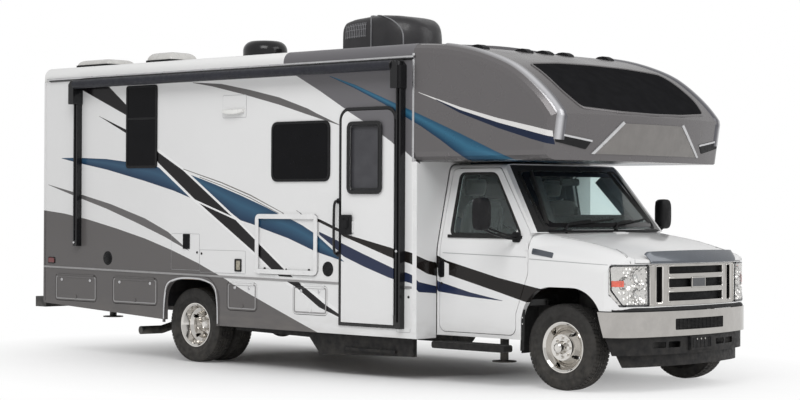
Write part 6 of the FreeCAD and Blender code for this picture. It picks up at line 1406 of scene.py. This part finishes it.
def makeDoorHandle(d, place, face):
    bm = bmesh.new()
    x, z = d["handle"]
    slab(bm, panel(x - 0.028, x + 0.034, z - 0.075, z + 0.075, 0.02, 6), place, face - 0.006, face + 0.004)
    grip = ((-0.066, -0.002), (-0.06, 0.03), (0.06, 0.03), (0.066, -0.002))
    path = softPath([place(x - 0.004, z + rise, face + out) for rise, out in grip], 8)
    sweep(bm, path, corners(-0.012, 0.012, -0.006, 0.006), (1, 0, 0))
    stud(bm, 0.012, 0.004, 0.009, 0.006, place(x, z - 0.13, face - 0.001), place(0, 0, 1), 24)
    return bm


def makeDoorCrease(d, door, sign, cast):
    bm = bmesh.new()
    (x0, z0), (x1, z1) = d["crease"]
    run = []
    for k in range(31):
        hit, normal = castTo(door, *cast(x0 + (x1 - x0) * k / 30, z0 + (z1 - z0) * k / 30))
        if hit is not None:
            run.append(hit + normal * 0.0002)
    # a grey line of painted shade along the door's crease
    sweep(bm, run, corners(-0.003, 0.003, -0.002, 0.0015), (0, sign, 0))
    return bm


def makeCabDoors(d):
    x, z = d["handle"]
    for body, side, sign, cast, place in (("cab_door_right", "right", -1, fromRight, onRight),
            ("cab_door_left", "left", 1, fromLeft, onLeft)):
        door = skinOf(body)
        makePiece(f"cabWindowSeal_{side}", makeDoorSeal(d, sign), rubber, body)
        face = abs(castTo(door, *cast(x, z))[0].y)
        makePiece(f"cabDoorHandle_{side}", makeDoorHandle(d, place, face), blackPlastic, body, bevel=0.0025)
        bm = bmesh.new()
        plate = [(x + 0.03, z - 0.1), (x + 0.086, z - 0.115), (x + 0.086, z + 0.046), (x + 0.03, z + 0.063)]
        draped(bm, door, plate, [], cast, lift=0.0003, thick=0.0022, fine=0.03)
        makePiece(f"cabHandlePlate_{side}", bm, plateWhite, body)
        makePiece(f"cabDoorCrease_{side}", makeDoorCrease(d, door, sign, cast), creaseGrey, body)
    print("cab doors dressed")


makeCabDoors(cabDoorTrim)


# hatches, vents and round fittings on the right wall, in place of the frame's plain ones
wallFittings = {
    "hatches": {"waterHatch": (-1.618, -1.194, 0.925, 1.281), "showerHatch": (-1.187, -0.522, 0.906, 1.125),
        "frontPanel": (1.49, 1.652, 0.44, 0.824)},
    "vent": (-1.384, 1.207, 0.05, 0.075),
    "outlet": (-0.618, 0.987, 0.048, 0.062),
    "speaker": (0.612, 0.982, 0.07),
    "filler": (-2.635, 1.012, 0.073),
    "hoodVent": (-0.854, -0.52, 2.43, 2.646),
    "locks": ((1.637, 0.757), (-1.224, 1.10), (-1.157, 1.09)),
}


def makeHatches(w, wall):
    bm = bmesh.new()
    for x0, x1, z0, z1 in w["hatches"].values():
        slab(bm, panel(x0, x1, z0, z1, 0.012, 4), onRight, wall - sunk, wall + 0.0035)
    x0, x1, z0, z1 = w["hoodVent"]
    slab(bm, panel(x0, x1, z0, z1, 0.02, 5), onRight, wall - sunk, wall + 0.004)
    makePiece("wallHatches", bm, coachPaint, bevel=0.0015, stands=["wall_fittings"])
    seams = bmesh.new()
    for box in (*w["hatches"].values(), w["hoodVent"]):
        border(seams, box, 0.012, 0.004, 0.0008, 4, onRight, wall - 0.0003, wall + 0.0007)
    makePiece("hatchSeams", seams, creaseGrey)


def makeVentFlap(w, wall):
    flap = bmesh.new()
    x0, x1, z0, _ = w["hoodVent"]
    lip = rounded([(0.0, 0.0), (0.045, -0.012), (0.052, -0.055), (0.0, -0.06)], 0.012, 5)
    rows = []
    for k in range(9):
        t = k / 8
        x = x0 + 0.02 + t * (x1 - x0 - 0.04)
        swell = 1 - 0.35 * abs(2 * t - 1) ** 3
        rows.append(loop(flap, [onRight(x, z0 + 0.085 + v * swell, wall + 0.0035 + u * swell)
                    for u, v in lip]))
    shell(flap, rows)
    makePiece("hoodVentFlap", flap, whitePlastic, crease=50)


def makeVentAndOutlet(w, wall):
    black = bmesh.new()
    x, z, a, b = w["vent"]
    box = (x - a, x + a, z - b, z + b)
    ring(black, panel(*box, 0.008, 3), panel(*box, 0.014, 3, grow=-0.01), onRight, wall + 0.003, wall + 0.011)
    slab(black, panel(*box, 0.012, 3, grow=-0.008), onRight, wall + 0.003, wall + 0.0045)
    for k in range(5):
        px = x - a + 0.02 + k * (2 * a - 0.04) / 4
        slab(black, corners(px - 0.0035, px + 0.0035, z - b + 0.012, z + b - 0.012), onRight, wall + 0.004,
            wall + 0.009)
    x, z, a, b = w["outlet"]
    box = (x - a, x + a, z - b, z + b)
    ring(black, panel(*box, 0.012, 4), panel(*box, 0.024, 4, grow=-0.016), onRight, wall + 0.003,
        wall + 0.012)
    makePiece("ventAndOutletFrames", black, blackPlastic, bevel=0.001)
    inner = bmesh.new()
    slab(inner, panel(*box, 0.022, 4, grow=-0.014), onRight, wall + 0.003, wall + 0.005)
    turned(inner, [(0.014, 0.0), (0.015, 0.008), (0.011, 0.012)],
        onRight(x + 0.006, z - 0.012, wall + 0.0045), (0, -1, 0), 20)
    turned(inner, [(0.008, 0.0), (0.008, 0.005)], onRight(x - 0.012, z + 0.022, wall + 0.0045), (0, -1, 0),
        16, crown=0.001)
    makePiece("outletFace", inner, outletBeige, bevel=0.001)


def makeRoundFittings(w, wall):
    rounds = bmesh.new()
    x, z, r = w["speaker"]
    profile = [(tip, 0.004), (r * 0.2, 0.0045), (r * 0.24, 0.0015), (r * 0.42, 0.0015), (r * 0.46, 0.0045),
        (r * 0.52, 0.0045), (r * 0.56, 0.0015), (r * 0.72, 0.002), (r * 0.76, 0.0055), (r * 0.84, 0.0065),
        (r * 0.97, 0.0055), (r, 0.0)]
    lathe(rounds, profile, onRight(x, z, wall - 0.0002), (0, -1, 0), 44)
    x, z, r = w["filler"]
    lathe(rounds, [(tip, 0.014), (r * 0.66, 0.014), (r * 0.7, 0.012), (r * 0.72, 0.006), (r * 0.8, 0.006),
            (r * 0.94, 0.005), (r, 0.0)], onRight(x, z, wall - 0.0002), (0, -1, 0), 44)
    slab(rounds, panel(x - r * 0.55, x + r * 0.55, z - 0.009, z + 0.009, 0.006, 4), onRight, wall + 0.012,
        wall + 0.021)
    for px, pz in w["locks"]:
        stud(rounds, 0.012, 0.004, 0.009, 0.006, onRight(px, pz, wall + 0.003), (0, -1, 0), 20)
    makePiece("roundFittings", rounds, blackPlastic)


for make in (makeHatches, makeVentFlap, makeVentAndOutlet, makeRoundFittings):
    make(wallFittings, wallFace)
print("wall fittings made")

# roof air conditioner: a moulded shroud with a round nose, raised bands and a slatted tail
cooler = {
    "x": (-0.117, 0.785),
    "close": [-0.11, -0.1, -0.08, 0.72, 0.74, 0.755, 0.767, 0.776, 0.782],
    "half": 0.356,
    "low": 3.074,
    "noseFrom": 0.38,
    "slats": (-0.06, 0.2),
    "count": 12,
    "crown": [(-0.117, 3.385), (-0.1, 3.402), (0.0, 3.424), (0.2, 3.438), (0.35, 3.4425), (0.5, 3.433),
        (0.62, 3.409), (0.7, 3.375), (0.75, 3.33), (0.775, 3.28), (0.785, 3.25)],
}


def coolerPoint(x, angle, out=0.0):
    c = cooler
    (xa, za), (xb, zb) = next((a, b) for a, b in zip(c["crown"], c["crown"][1:]) if x <= b[0] + 1e-6)
    crown = za + (zb - za) * (x - xa) / (xb - xa)
    nose = max(0.0, (x - c["noseFrom"]) / (c["x"][1] - c["noseFrom"]))
    tail = max(0.0, (-0.07 - x) / 0.045)
    half = c["half"] * max(0.02, (1 - min(nose, 1) ** 2) ** 0.5) * (1 - 0.03 * tail ** 2)
    across, up = math.cos(angle), math.sin(angle)
    side, top = 0.2 + 0.22 * nose, 0.3 + 0.3 * nose
    y = half * math.copysign(abs(across) ** side, across) * (1 - 0.06 * up ** 3) + out * across
    return Vector((x, -y, c["low"] + (crown - c["low"]) * max(0.0, up) ** top + out * up))


def makeCooler(c):
    bm = bmesh.new()
    x0, x1 = c["x"]
    even = [x0 + (x1 - x0) * k / 34 for k in range(3, 31)]
    stations = sorted({round(x, 4) for x in [x0, x1] + even + c["close"]})
    rows = [loop(bm, [coolerPoint(x, math.pi * k / 40) for k in range(41)]) for x in stations]
    shell(bm, rows)
    makePiece("coolerShroud", bm, coolerBlack, stands=["air_conditioner"], crease=50)
    bands = bmesh.new()
    # the second band, swept back over the top, marks the edge of the nose cover, and its light grey is a
    # painted highlight along that edge
    for foot, rake, width in ((0.285, -0.09, 0.012), (0.637, -0.4, 0.009)):
        path = []
        for k in range(61):
            angle = math.pi * k / 60
            path.append(coolerPoint(foot + rake * math.sin(angle) ** 3, angle, 0.001))
        sweep(bands, path, [(-width, -0.003), (width, -0.003), (width * 0.8, 0.003), (width * 0.3, 0.005),
                (-width * 0.3, 0.005), (-width * 0.8, 0.003)], (1, 0, 0))
    makePiece("coolerBands", bands, coolerGrey)
    slats = bmesh.new()
    for k in range(c["count"]):
        x = c["slats"][0] + (c["slats"][1] - c["slats"][0]) * k / (c["count"] - 1)
        for start in (0.0, math.pi):
            path = [coolerPoint(x, abs(start - t), 0.001) for t in (0.06, 0.12, 0.2, 0.3, 0.42, 0.55)]
            sweep(slats, path, [(-0.0045, -0.004), (0.0045, -0.004), (0.003, 0.003), (-0.003, 0.003)],
                (1, 0, 0))
    for level in (0.08, 0.24, 0.42):
        for start in (0.0, math.pi):
            path = [coolerPoint(c["slats"][0] - 0.01 + 0.28 * j / 8, abs(start - level), 0.0)
                for j in range(9)]
            sweep(slats, path, corners(-0.004, 0.004, -0.003, 0.0025), (0, 0, 1))
    makePiece("coolerSlats", slats, coolerGrey)
    print("air conditioner made")


makeCooler(cooler)

# lids of the roof: a low skylight and two vents on dark frames
roofLids = {
    "skylight": (-3.46, -2.92, -1.06, -0.66, 0.058, 0.11, 0.01),
    "rearVent": (-2.71, -2.29, -0.715, -0.325, 0.085, 0.12, 0.036),
    "frontVent": (-0.545, -0.145, 0.325, 0.715, 0.085, 0.12, 0.036),
}


def makeRoofLids(lids):
    skin = skinOf("roof")
    domes, frames = bmesh.new(), bmesh.new()
    for x0, x1, y0, y1, height, roll, base in lids.values():
        low = min(castTo(skin, *fromAbove(x, y))[0].z for x in (x0, x1) for y in (y0, y1)) - 0.004
        high = castTo(skin, *fromAbove((x0 + x1) / 2, y1 if abs(y1) < abs(y0) else y0))[0].z
        slab(frames, panel(x0 - 0.008, x1 + 0.008, y0 - 0.008, y1 + 0.008, 0.05, 5), onTop, low,
            high + base + 0.002)
        rows = []
        for k in range(11):
            a = math.pi / 2 * k / 10
            line = panel(x0, x1, y0, y1, 0.06, 6, grow=-roll * (1 - math.cos(a)))
            rows.append(loop(domes, [onTop(u, v, high + base + height * math.sin(a)) for u, v in line]))
        shell(domes, rows)
    makePiece("roofLids", domes, lidWhite, stands=["roof_vents"], crease=50)
    makePiece("roofLidFrames", frames, blackPlastic, bevel=0.002)


makeRoofLids(roofLids)
print("roof lids made")

# awning: end caps, the cloth's seams, rods and knobs on the arms, silver rail along the roof
awning = {
    "y": 1.378, "z": 2.838, "x": (-3.068, 1.514), "arms": (-3.11, 1.556), "armFace": 1.4, "railZ": 2.913,
    "seamRadius": 0.0442, "strut": 1.3205,
}


def makeAwning(a):
    bm = bmesh.new()
    for x, sign in ((a["x"][0], -1), (a["x"][1], 1)):
        turned(bm, [(0.041, -0.012), (0.0436, -0.006), (0.0436, 0.002), (0.036, 0.006), (0.018, 0.007),
                (0.016, 0.014)], (x, -a["y"], a["z"]), (sign, 0, 0), 36)
    for x in a["arms"]:
        for z in (2.72, 2.66):
            stud(bm, 0.011, 0.007, 0.008, 0.009, onRight(x, z, a["armFace"] - 0.0155), (0, -1, 0), 6)
    makePiece("awningEnds", bm, blackGloss, bevel=0.001)
    knobs = bmesh.new()
    for x, z0 in ((a["arms"][0], 1.30), (a["arms"][1], 1.42)):
        sweep(knobs, [onRight(x + 0.002, z, a["strut"]) for z in (z0, z0 + 0.2)], disc(0.0035, 10), (1, 0, 0))
        turned(knobs, [(0.011, 0.0), (0.013, 0.006), (0.01, 0.011)], onRight(x - 0.012, 1.168, 1.3362),
            (0, -1, 0), 18, crown=0.001)
    makePiece("awningKnobs", knobs, brushed)
    seams = bmesh.new()
    (x0, x1), r = a["x"], a["seamRadius"]
    for angle in (0.5, 1.9, 3.4, 5.0):
        y, z = -a["y"] + r * math.cos(angle), a["z"] + r * math.sin(angle)
        sweep(seams, [(x, y, z) for x in (x0 + 0.02, (x0 + x1) / 2, x1 - 0.02)],
            [(-0.0022, -0.0016), (0.0022, -0.0016), (0.0015, 0.0014), (-0.0015, 0.0014)],
            (0, math.cos(angle), math.sin(angle)))
    makePiece("awningSeams", seams, awningCloth)
    rail = bmesh.new()
    sweep(rail, [onRight(x, a["railZ"], wallFace + 0.015) for x in (-3.66, 0, 1.7)],
        [(-0.009, -0.010), (0.010, -0.010), (0.013, -0.002), (0.010, 0.009), (-0.009, 0.010)], (0, 0, 1))
    makePiece("awningRail", rail, brushed, bevel=0.001)
    print("awning dressed")


makeAwning(awning)

# nose: bumper mesh and filler, plate bracket, hood and fender lines, side plates, mud flaps
noseTrim = {
    "slot": (-0.35, 0.35, 0.536, 0.62),
    "bracket": (-0.155, 0.155, 0.352, 0.47),
    "bracketX": 3.9025,
    "fillerZ": 0.712,
    "plate": ((2.83, 1.196), (3.052, 1.152)),
    "flap": (0.76, 0.992, 0.30, 0.69),
    "flapX": 2.716,
    "flapEdge": ((2.712, 0.32), (0.012, 0.36)),
    "flapEdgeOut": 0.9875,
    "screws": (0.555, 0.61),
    "screwAt": (2.724, 0.9935),
    "lowerMesh": (-0.62, 0.62, 0.34, 0.47),
    "lowerMeshX": (3.80, 3.806),
    "fillerHalf": 0.965,
    "foldLine": ((2.80, 1.121), (3.62, 1.087)),
    "fenderSeam": ((3.018, 0.833, 1.311), (3.2, 0.812, 1.286), (3.334, 0.79, 1.262), (3.46, 0.772, 1.236),
        (3.578, 0.759, 1.206), (3.64, 0.768, 1.18), (3.675, 0.79, 1.161), (3.72, 0.82, 1.128)),
    "hoodSeam": ((3.597, 1.216), (3.645, 1.187), (3.687, 1.15), (3.718, 1.117), (3.728, 1.1)),
}


def makeBumperTrim(t, bumper):
    bm = bmesh.new()
    y0, y1, z0, z1 = t["slot"]
    back = castTo(bumper, *fromFront(0, z1 + 0.03))[0].x - 0.03
    slab(bm, panel(y0 - 0.02, y1 + 0.02, z0 - 0.012, z1 + 0.012, 0.01, 3), onFront, back - 0.006, back)
    for k in range(1, 7):
        z = z0 + (z1 - z0) * k / 7
        slab(bm, corners(y0, y1, z - 0.0022, z + 0.0022), onFront, back - 0.001, back + 0.009)
    for k in range(1, 12):
        y = y0 + (y1 - y0) * k / 12
        slab(bm, corners(y - 0.0022, y + 0.0022, z0, z1), onFront, back - 0.001, back + 0.006)
    slab(bm, panel(*t["lowerMesh"], 0.02, 4), onFront, *t["lowerMeshX"])
    makePiece("bumperSlotMesh", bm, blackPlastic)
    bm = bmesh.new()
    path = []
    for k in range(49):
        y = t["fillerHalf"] * (2 * k / 48 - 1)
        hit, _ = castTo(bumper, *fromFront(y, 0.6894))
        if hit is not None:
            path.append(Vector((hit.x - 0.045, y * 0.985, t["fillerZ"])))
    sweep(bm, path, [(-0.034, -0.0185), (0.034, -0.0185), (0.036, -0.012), (0.02, 0.016), (-0.034, 0.018)],
        (0, 0, 1))
    makePiece("bumperFiller", bm, blackPlastic, bevel=0.002)


def makePlateBracket(t):
    bm = bmesh.new()
    (y0, y1, z0, z1), face = t["bracket"], t["bracketX"]
    ring(bm, panel(*t["bracket"], 0.012, 4), panel(*t["bracket"], 0.024, 4, grow=-0.016), onFront,
        face - 0.002, face + 0.006)
    for k in range(5):
        y = y0 + 0.04 + k * (y1 - y0 - 0.08) / 4
        slab(bm, corners(y - 0.004, y + 0.004, z0 + 0.014, z1 - 0.014), onFront, face - 0.002, face + 0.003)
    for y in (-0.089, 0.089):
        turned(bm, [(0.0095, 0.0), (0.0095, 0.003)], (face - 0.001, y, z1 - 0.011), (1, 0, 0), 18,
            crown=0.0015)
    makePiece("plateBracketRibs", bm, blackPlastic, bevel=0.0012)
    bm = bmesh.new()
    for y in (-0.06, 0.0, 0.06):
        turned(bm, [(0.0085, 0.0), (0.0085, 0.001)], (face + 0.0022, y, z1 - 0.028), (1, 0, 0), 18,
            crown=0.0004)
    makePiece("plateBracketHoles", bm, chrome)


def makeHoodSeams(t, hood, cab):
    bm = bmesh.new()
    for sign in (-1, 1):
        path = []
        for x, z in t["hoodSeam"]:
            aim = Vector((-0.69, -0.72 * sign, 0))
            hits = [castTo(skin, Vector((x, 0.8 * sign, z)) - aim * 2, aim) for skin in (hood, cab)]
            hits = [(-(hit.dot(aim)), hit, n) for hit, n in hits if hit is not None]
            if hits:
                _, hit, n = max(hits, key=lambda h: h[0])
                path.append(hit + (n if n.dot(aim) < 0 else -n) * 0.0006)
        sweep(bm, path, corners(-0.0022, 0.0022, -0.001, 0.001), (0, sign, 0))
    makePiece("hoodSeams", bm, blackPlastic)


def makeFenderPlate(t, cab, side, cast):
    bm = bmesh.new()
    (xa, za), (xb, zb) = t["plate"]
    plate = rounded([(xa, za - 0.032), (xb, zb - 0.018), (xb, zb + 0.024), (xa, za + 0.016)], 0.008, 3)
    draped(bm, cab, plate, [], cast, lift=0.0004, thick=0.005, fine=0.02)
    makePiece(f"fenderPlate_{side}", bm, deflectorGloss, crease=60)


def makeMudFlap(t, side, sign):
    bm = bmesh.new()
    y0, y1, z0, z1 = t["flap"]
    slab(bm, corners(sign * y0, sign * y1, z0, z1), onFront, t["flapX"] - 0.004, t["flapX"] + 0.003)
    (x, z), (dx, dz) = t["flapEdge"]
    edge = [Vector((x + dx * k / 8, sign * t["flapEdgeOut"], z + dz * k / 8)) for k in range(9)]
    section = [(-0.012, -0.009), (0.02, -0.009), (0.026, 0.0), (0.02, 0.007), (-0.012, 0.007)]
    sweep(bm, edge, section if sign < 0 else [(-u, v) for u, v in section], (0, sign, 0))
    makePiece(f"mudFlap_{side}", bm, rubber, bevel=0.0015)
    bm = bmesh.new()
    x, out = t["screwAt"]
    for z in t["screws"]:
        turned(bm, [(0.007, 0.0), (0.007, 0.002)], (x, sign * out, z), (0, sign, 0), 14, crown=0.0015)
    makePiece(f"mudFlapScrews_{side}", bm, brushed)


def makeFenderLines(t, cab, hood, side, sign, cast):
    bm = bmesh.new()
    seam, fold = [], []
    for x, y, z in t["fenderSeam"]:
        for skin in (cab, hood):
            hit, _ = castTo(skin, (x, sign * y, 2.2), (0, 0, -1))
            if hit is not None and abs(hit.z - z) < 0.09:
                seam.append(hit + Vector((0, 0, 0.0006)))
                break
    if len(seam) > 2:
        sweep(bm, seam, corners(-0.0035, 0.0035, -0.002, 0.0012))
    (x0, z0), (x1, z1) = t["foldLine"]
    for k in range(25):
        hit, normal = castTo(cab, *cast(x0 + (x1 - x0) * k / 24, z0 + (z1 - z0) * k / 24))
        if hit is not None and abs(hit.y) > 0.6:
            fold.append(hit + normal * 0.0002)
    # the fold line's grey is painted shade in the crease
    sweep(bm, fold, corners(-0.003, 0.003, -0.002, 0.0015), (0, sign, 0))
    makePiece(f"fenderLines_{side}", bm, creaseGrey)


def makeNoseTrim(t):
    bumper, cab, hood = skinOf("front_bumper"), skinOf("cab_shell"), skinOf("hood")
    makeBumperTrim(t, bumper)
    makePlateBracket(t)
    makeHoodSeams(t, hood, cab)
    for side, sign, cast in (("right", -1, fromRight), ("left", 1, fromLeft)):
        makeFenderPlate(t, cab, side, cast)
        makeMudFlap(t, side, sign)
        makeFenderLines(t, cab, hood, side, sign, cast)
    print("nose dressed")


makeNoseTrim(noseTrim)

# mirrors: rounded housings with glass and a small wide-angle lens, on two arms
mirrorShape = {
    "x": 2.56,
    "y": 1.3425,
    "z": 1.509,
    "half": (0.05, 0.0865, 0.142),
    "arms": (1.318, 1.292),
    "armFoot": (2.648, 0.982),
    "armBend": (2.62, 1.06),
    "armEnd": (0.01, 1.24, 1.31),
    "foot": (2.602, 2.688, 1.262, 1.352),
    "footOut": (0.974, 0.993),
    "glass": ((0.072, -0.045, 0.124, 0.02), (0.066, -0.122, -0.054, 0.015)),
}


def makeMirrors(m):
    for side, sign in (("right", -1), ("left", 1)):
        body = f"cab_door_{side}"
        bm = bmesh.new()
        a, b, c = m["half"]
        rings = []
        n = 28
        for i in range(13):
            t = i / 12
            x = a * (1 - 2 * t)
            end = abs(2 * t - 1)
            k = max(0.02, (1 - end ** 3.2) ** (1 / 2.4) if x > 0 else 1.0 - 0.06 * end ** 4)
            row = []
            for j in range(n):
                q = 2 * math.pi * j / n
                cy, cz = math.cos(q), math.sin(q)
                y = b * math.copysign(abs(cy) ** 0.45, cy) * k
                z = c * math.copysign(abs(cz) ** 0.55, cz) * k
                row.append(bm.verts.new((m["x"] + x, sign * m["y"] + y, m["z"] + z)))
            rings.append(row)
        shell(bm, rings)
        for z, zIn in ((m["z"] - 0.166, m["arms"][1]), (m["z"] - 0.135, m["arms"][0])):
            dx, y1, y2 = m["armEnd"]
            inner = [(x, sign * y, zIn) for x, y in (m["armFoot"], m["armBend"])]
            path = softPath([*inner, (m["x"] + dx, sign * y1, z), (m["x"], sign * y2, z + 0.03)], 6)
            sweep(bm, path, [(-0.014, -0.008), (0.014, -0.008), (0.016, 0.0), (0.014, 0.008), (-0.014, 0.008),
                    (-0.016, 0.0)], (0, 0, 1))
        slab(bm, panel(*m["foot"], 0.02, 5), onRight if sign < 0 else onLeft, *m["footOut"])
        makePiece(f"mirrorHousing_{side}", bm, blackPlastic, body, bevel=0.0015, stands=[f"mirror_{side}"],
            crease=45)
        bm = bmesh.new()
        y, back = sign * m["y"], 0.049 - m["x"]
        for half, low, high, radius in m["glass"]:
            slab(bm, panel(y - half, y + half, m["z"] + low, m["z"] + high, radius, 6), onRear, back,
                back + 0.0025)
        makePiece(f"mirrorGlass_{side}", bm, mirrorGlass, body, bevel=0.0008)
    print("mirrors made")


makeMirrors(mirrorShape)

# rear: plate frame, camera, upper red lights
rearTrim = {
    "plate": (-0.16, 0.16, 1.02, 1.18),
    "lights": (-0.42, 0.0, 0.42, -1.12, 1.12),
    "lightZ": (2.82, 2.85),
    "plateLamp": (-0.05, 0.05, 0.015, 0.05),
    "camera": (-0.055, 0.055, 2.66, 2.75),
    "lensAt": (-3.775, 0, 2.70),
}


def makeRearTrim(t):
    bm = bmesh.new()
    y0, y1, z0, z1 = t["plate"]
    ring(bm, panel(y0, y1, z0, z1, 0.012, 4), panel(y0 + 0.012, y1 - 0.012, z0 + 0.012, z1 - 0.012, 0.006, 4),
        onRear, rearFace + clear, rearFace + 0.007)
    slab(bm, panel(y0 + 0.01, y1 - 0.01, z0 + 0.01, z1 - 0.01, 0.006, 4), onRear, rearFace + clear,
        rearFace + 0.0025)
    a, b, low, high = t["plateLamp"]
    slab(bm, panel(a, b, z1 + low, z1 + high, 0.01, 4), onRear, rearFace + clear, rearFace + 0.022)
    slab(bm, panel(*t["camera"], 0.02, 5), onRear, rearFace + clear, rearFace + 0.045)
    lathe(bm, [(tip, 0.012), (0.016, 0.012), (0.02, 0.006), (0.022, 0.0)], t["lensAt"], (-1, 0, 0), 24)
    makePiece("rearPlateAndCamera", bm, blackPlastic, bevel=0.002)
    red = bmesh.new()
    for y in t["lights"]:
        slab(red, panel(y - 0.05, y + 0.05, *t["lightZ"], 0.012, 4), onRear, rearFace + clear,
            rearFace + 0.017)
    makePiece("rearUpperLights", red, redLens, bevel=0.004)
    print("rear dressed")


makeRearTrim(rearTrim)

# steps: ribbed treads on the running boards and the entry step
stepTreads = {
    "rib": 0.004,
    "count": 6,
    "entry": (-1.225, -1.0, 1.42),
    "boards": ((-1.12, -0.96, 1.8, 2.6), (0.96, 1.12, 1.8, 2.6)),
}


def makeStepTreads(s):
    skin = skinOf("steps")
    bm = bmesh.new()
    y0, y1, front = s["entry"]
    entry = (y0, y1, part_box("steps")[0][0] + 0.02, front)
    for y0, y1, x0, x1 in (entry, *s["boards"]):
        for k in range(s["count"]):
            y = y0 + (y1 - y0) * (k + 0.5) / s["count"]
            path = []
            for j in range(9):
                x = x0 + (x1 - x0) * j / 8
                hit, normal = castTo(skin, (x, y, 0.7), (0, 0, -1))
                if hit is not None and normal.z > 0.6:
                    path.append(hit + Vector((0, 0, 0.0002)))
            if len(path) > 3:
                sweep(bm, path, [(-0.005, -0.001), (0.005, -0.001), (0.003, s["rib"]), (-0.003, s["rib"])],
                    (0, 0, 1))
    makePiece("stepTreads", bm, rubber)


makeStepTreads(stepTreads)
print("steps dressed")


# side trim: the locker's white frame, corner strips of the coach, and the black housing of the entry step
sideTrim = {
    "locker": (-0.365, 0.481, 0.916, 1.488),
    "strip": (1.668, 1.729, 0.44, 1.955),
    "housing": [(-0.72, 0.43), (-0.72, 0.35), (0.3, 0.33), (0.44, 0.18), (1.63, 0.215), (1.63, 0.43)],
}


def makeSideTrim(t):
    face = -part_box("locker_door")[0][1]
    bm = bmesh.new()
    ring(bm, panel(*t["locker"], 0.06, 8, grow=0.001), panel(*t["locker"], 0.05, 8, grow=-0.044), onRight,
        face - 0.002, face + 0.0075)
    makePiece("lockerFrame", bm, plateWhite, "locker_door", bevel=0.001)
    bm = bmesh.new()
    for place in (onRight, onLeft):
        slab(bm, corners(*t["strip"]), place, wallFace - 0.002, wallFace + 0.0028)
    makePiece("cornerStrips", bm, plateWhite, bevel=0.001)
    bm = bmesh.new()
    slab(bm, t["housing"], acrossCab, -1.2, -1.15)
    makePiece("stepHousing", bm, blackPlastic, bevel=0.002)
    print("side trim made")


makeSideTrim(sideTrim)


# studio: a pale floor that fades to white, and soft light from above and in front
studio = {
    "floorSize": 120.0,
    "floorColour": 0.9,
    "fade": (1.2, 4.0),
    "sky": 0.68,
    "lights": (("keyLight", (6, -9, 11), 7, 800), ("fillLight", (12, 4, 8), 8, 430)),
}


def makeStudio(s):
    half = s["floorSize"] / 2
    mesh = bpy.data.meshes.new("floor")
    mesh.from_pydata([(u, v, 0) for u, v in corners(-half, half, -half, half)], [], [(0, 1, 2, 3)])
    floor = bpy.data.objects.new("floor", mesh)
    bpy.context.scene.collection.objects.link(floor)
    t = Tree("floorFinish")
    base = t.mix(t.between(t.noise(2, 4), 0.3, 0.7), rgb(s["floorColour"] * 0.98), rgb(s["floorColour"]))
    t.set(Base_Color=base, Roughness=0.6)
    rays = t.add("ShaderNodeLightPath")
    seen = t.math("MAXIMUM", rays.outputs["Is Camera Ray"], t.math("MAXIMUM", rays.outputs["Is Glossy Ray"],
            rays.outputs["Is Transmission Ray"]))
    across, along = t.math("POWER", t.y, 2.0), t.math("POWER", t.times(t.x, 0.75), 2.0)
    away = t.math("SQRT", t.math("ADD", along, across))
    glow = t.add("ShaderNodeEmission")
    glow.inputs["Color"].default_value = rgb(1.0)
    blend = t.add("ShaderNodeMixShader", t.times(seen, t.between(away, *s["fade"])), t.shader.outputs[0],
        glow.outputs[0])
    t.plug(blend.outputs[0], t.nodes["Material Output"].inputs[0])
    mesh.materials.append(t.material)
    world = bpy.data.worlds.new("studio")
    bpy.context.scene.world = world
    world.use_nodes = True
    tree = world.node_tree
    sky = tree.nodes["Background"]
    rays = tree.nodes.new("ShaderNodeLightPath")
    lit = tree.nodes.new("ShaderNodeMath")
    lit.operation = "MAXIMUM"
    tree.links.new(rays.outputs["Is Camera Ray"], lit.inputs[0])
    tree.links.new(rays.outputs["Is Transmission Ray"], lit.inputs[1])
    level = tree.nodes.new("ShaderNodeMapRange")
    tree.links.new(lit.outputs[0], level.inputs[0])
    level.inputs[3].default_value, level.inputs[4].default_value = s["sky"], 1.0
    tree.links.new(level.outputs[0], sky.inputs[1])
    sky.inputs[0].default_value = rgb(1.0)
    for name, place, size, power in s["lights"]:
        lamp = bpy.data.lights.new(name, "AREA")
        lamp.size, lamp.energy = size, power
        light = bpy.data.objects.new(name, lamp)
        light.location = place
        light.rotation_euler = (Vector((0, 0, 1.2)) - Vector(place)).to_track_quat("-Z", "Y").to_euler()
        bpy.context.scene.collection.objects.link(light)


makeStudio(studio)
bpy.context.scene.view_settings.view_transform = "Standard"
print("studio made")
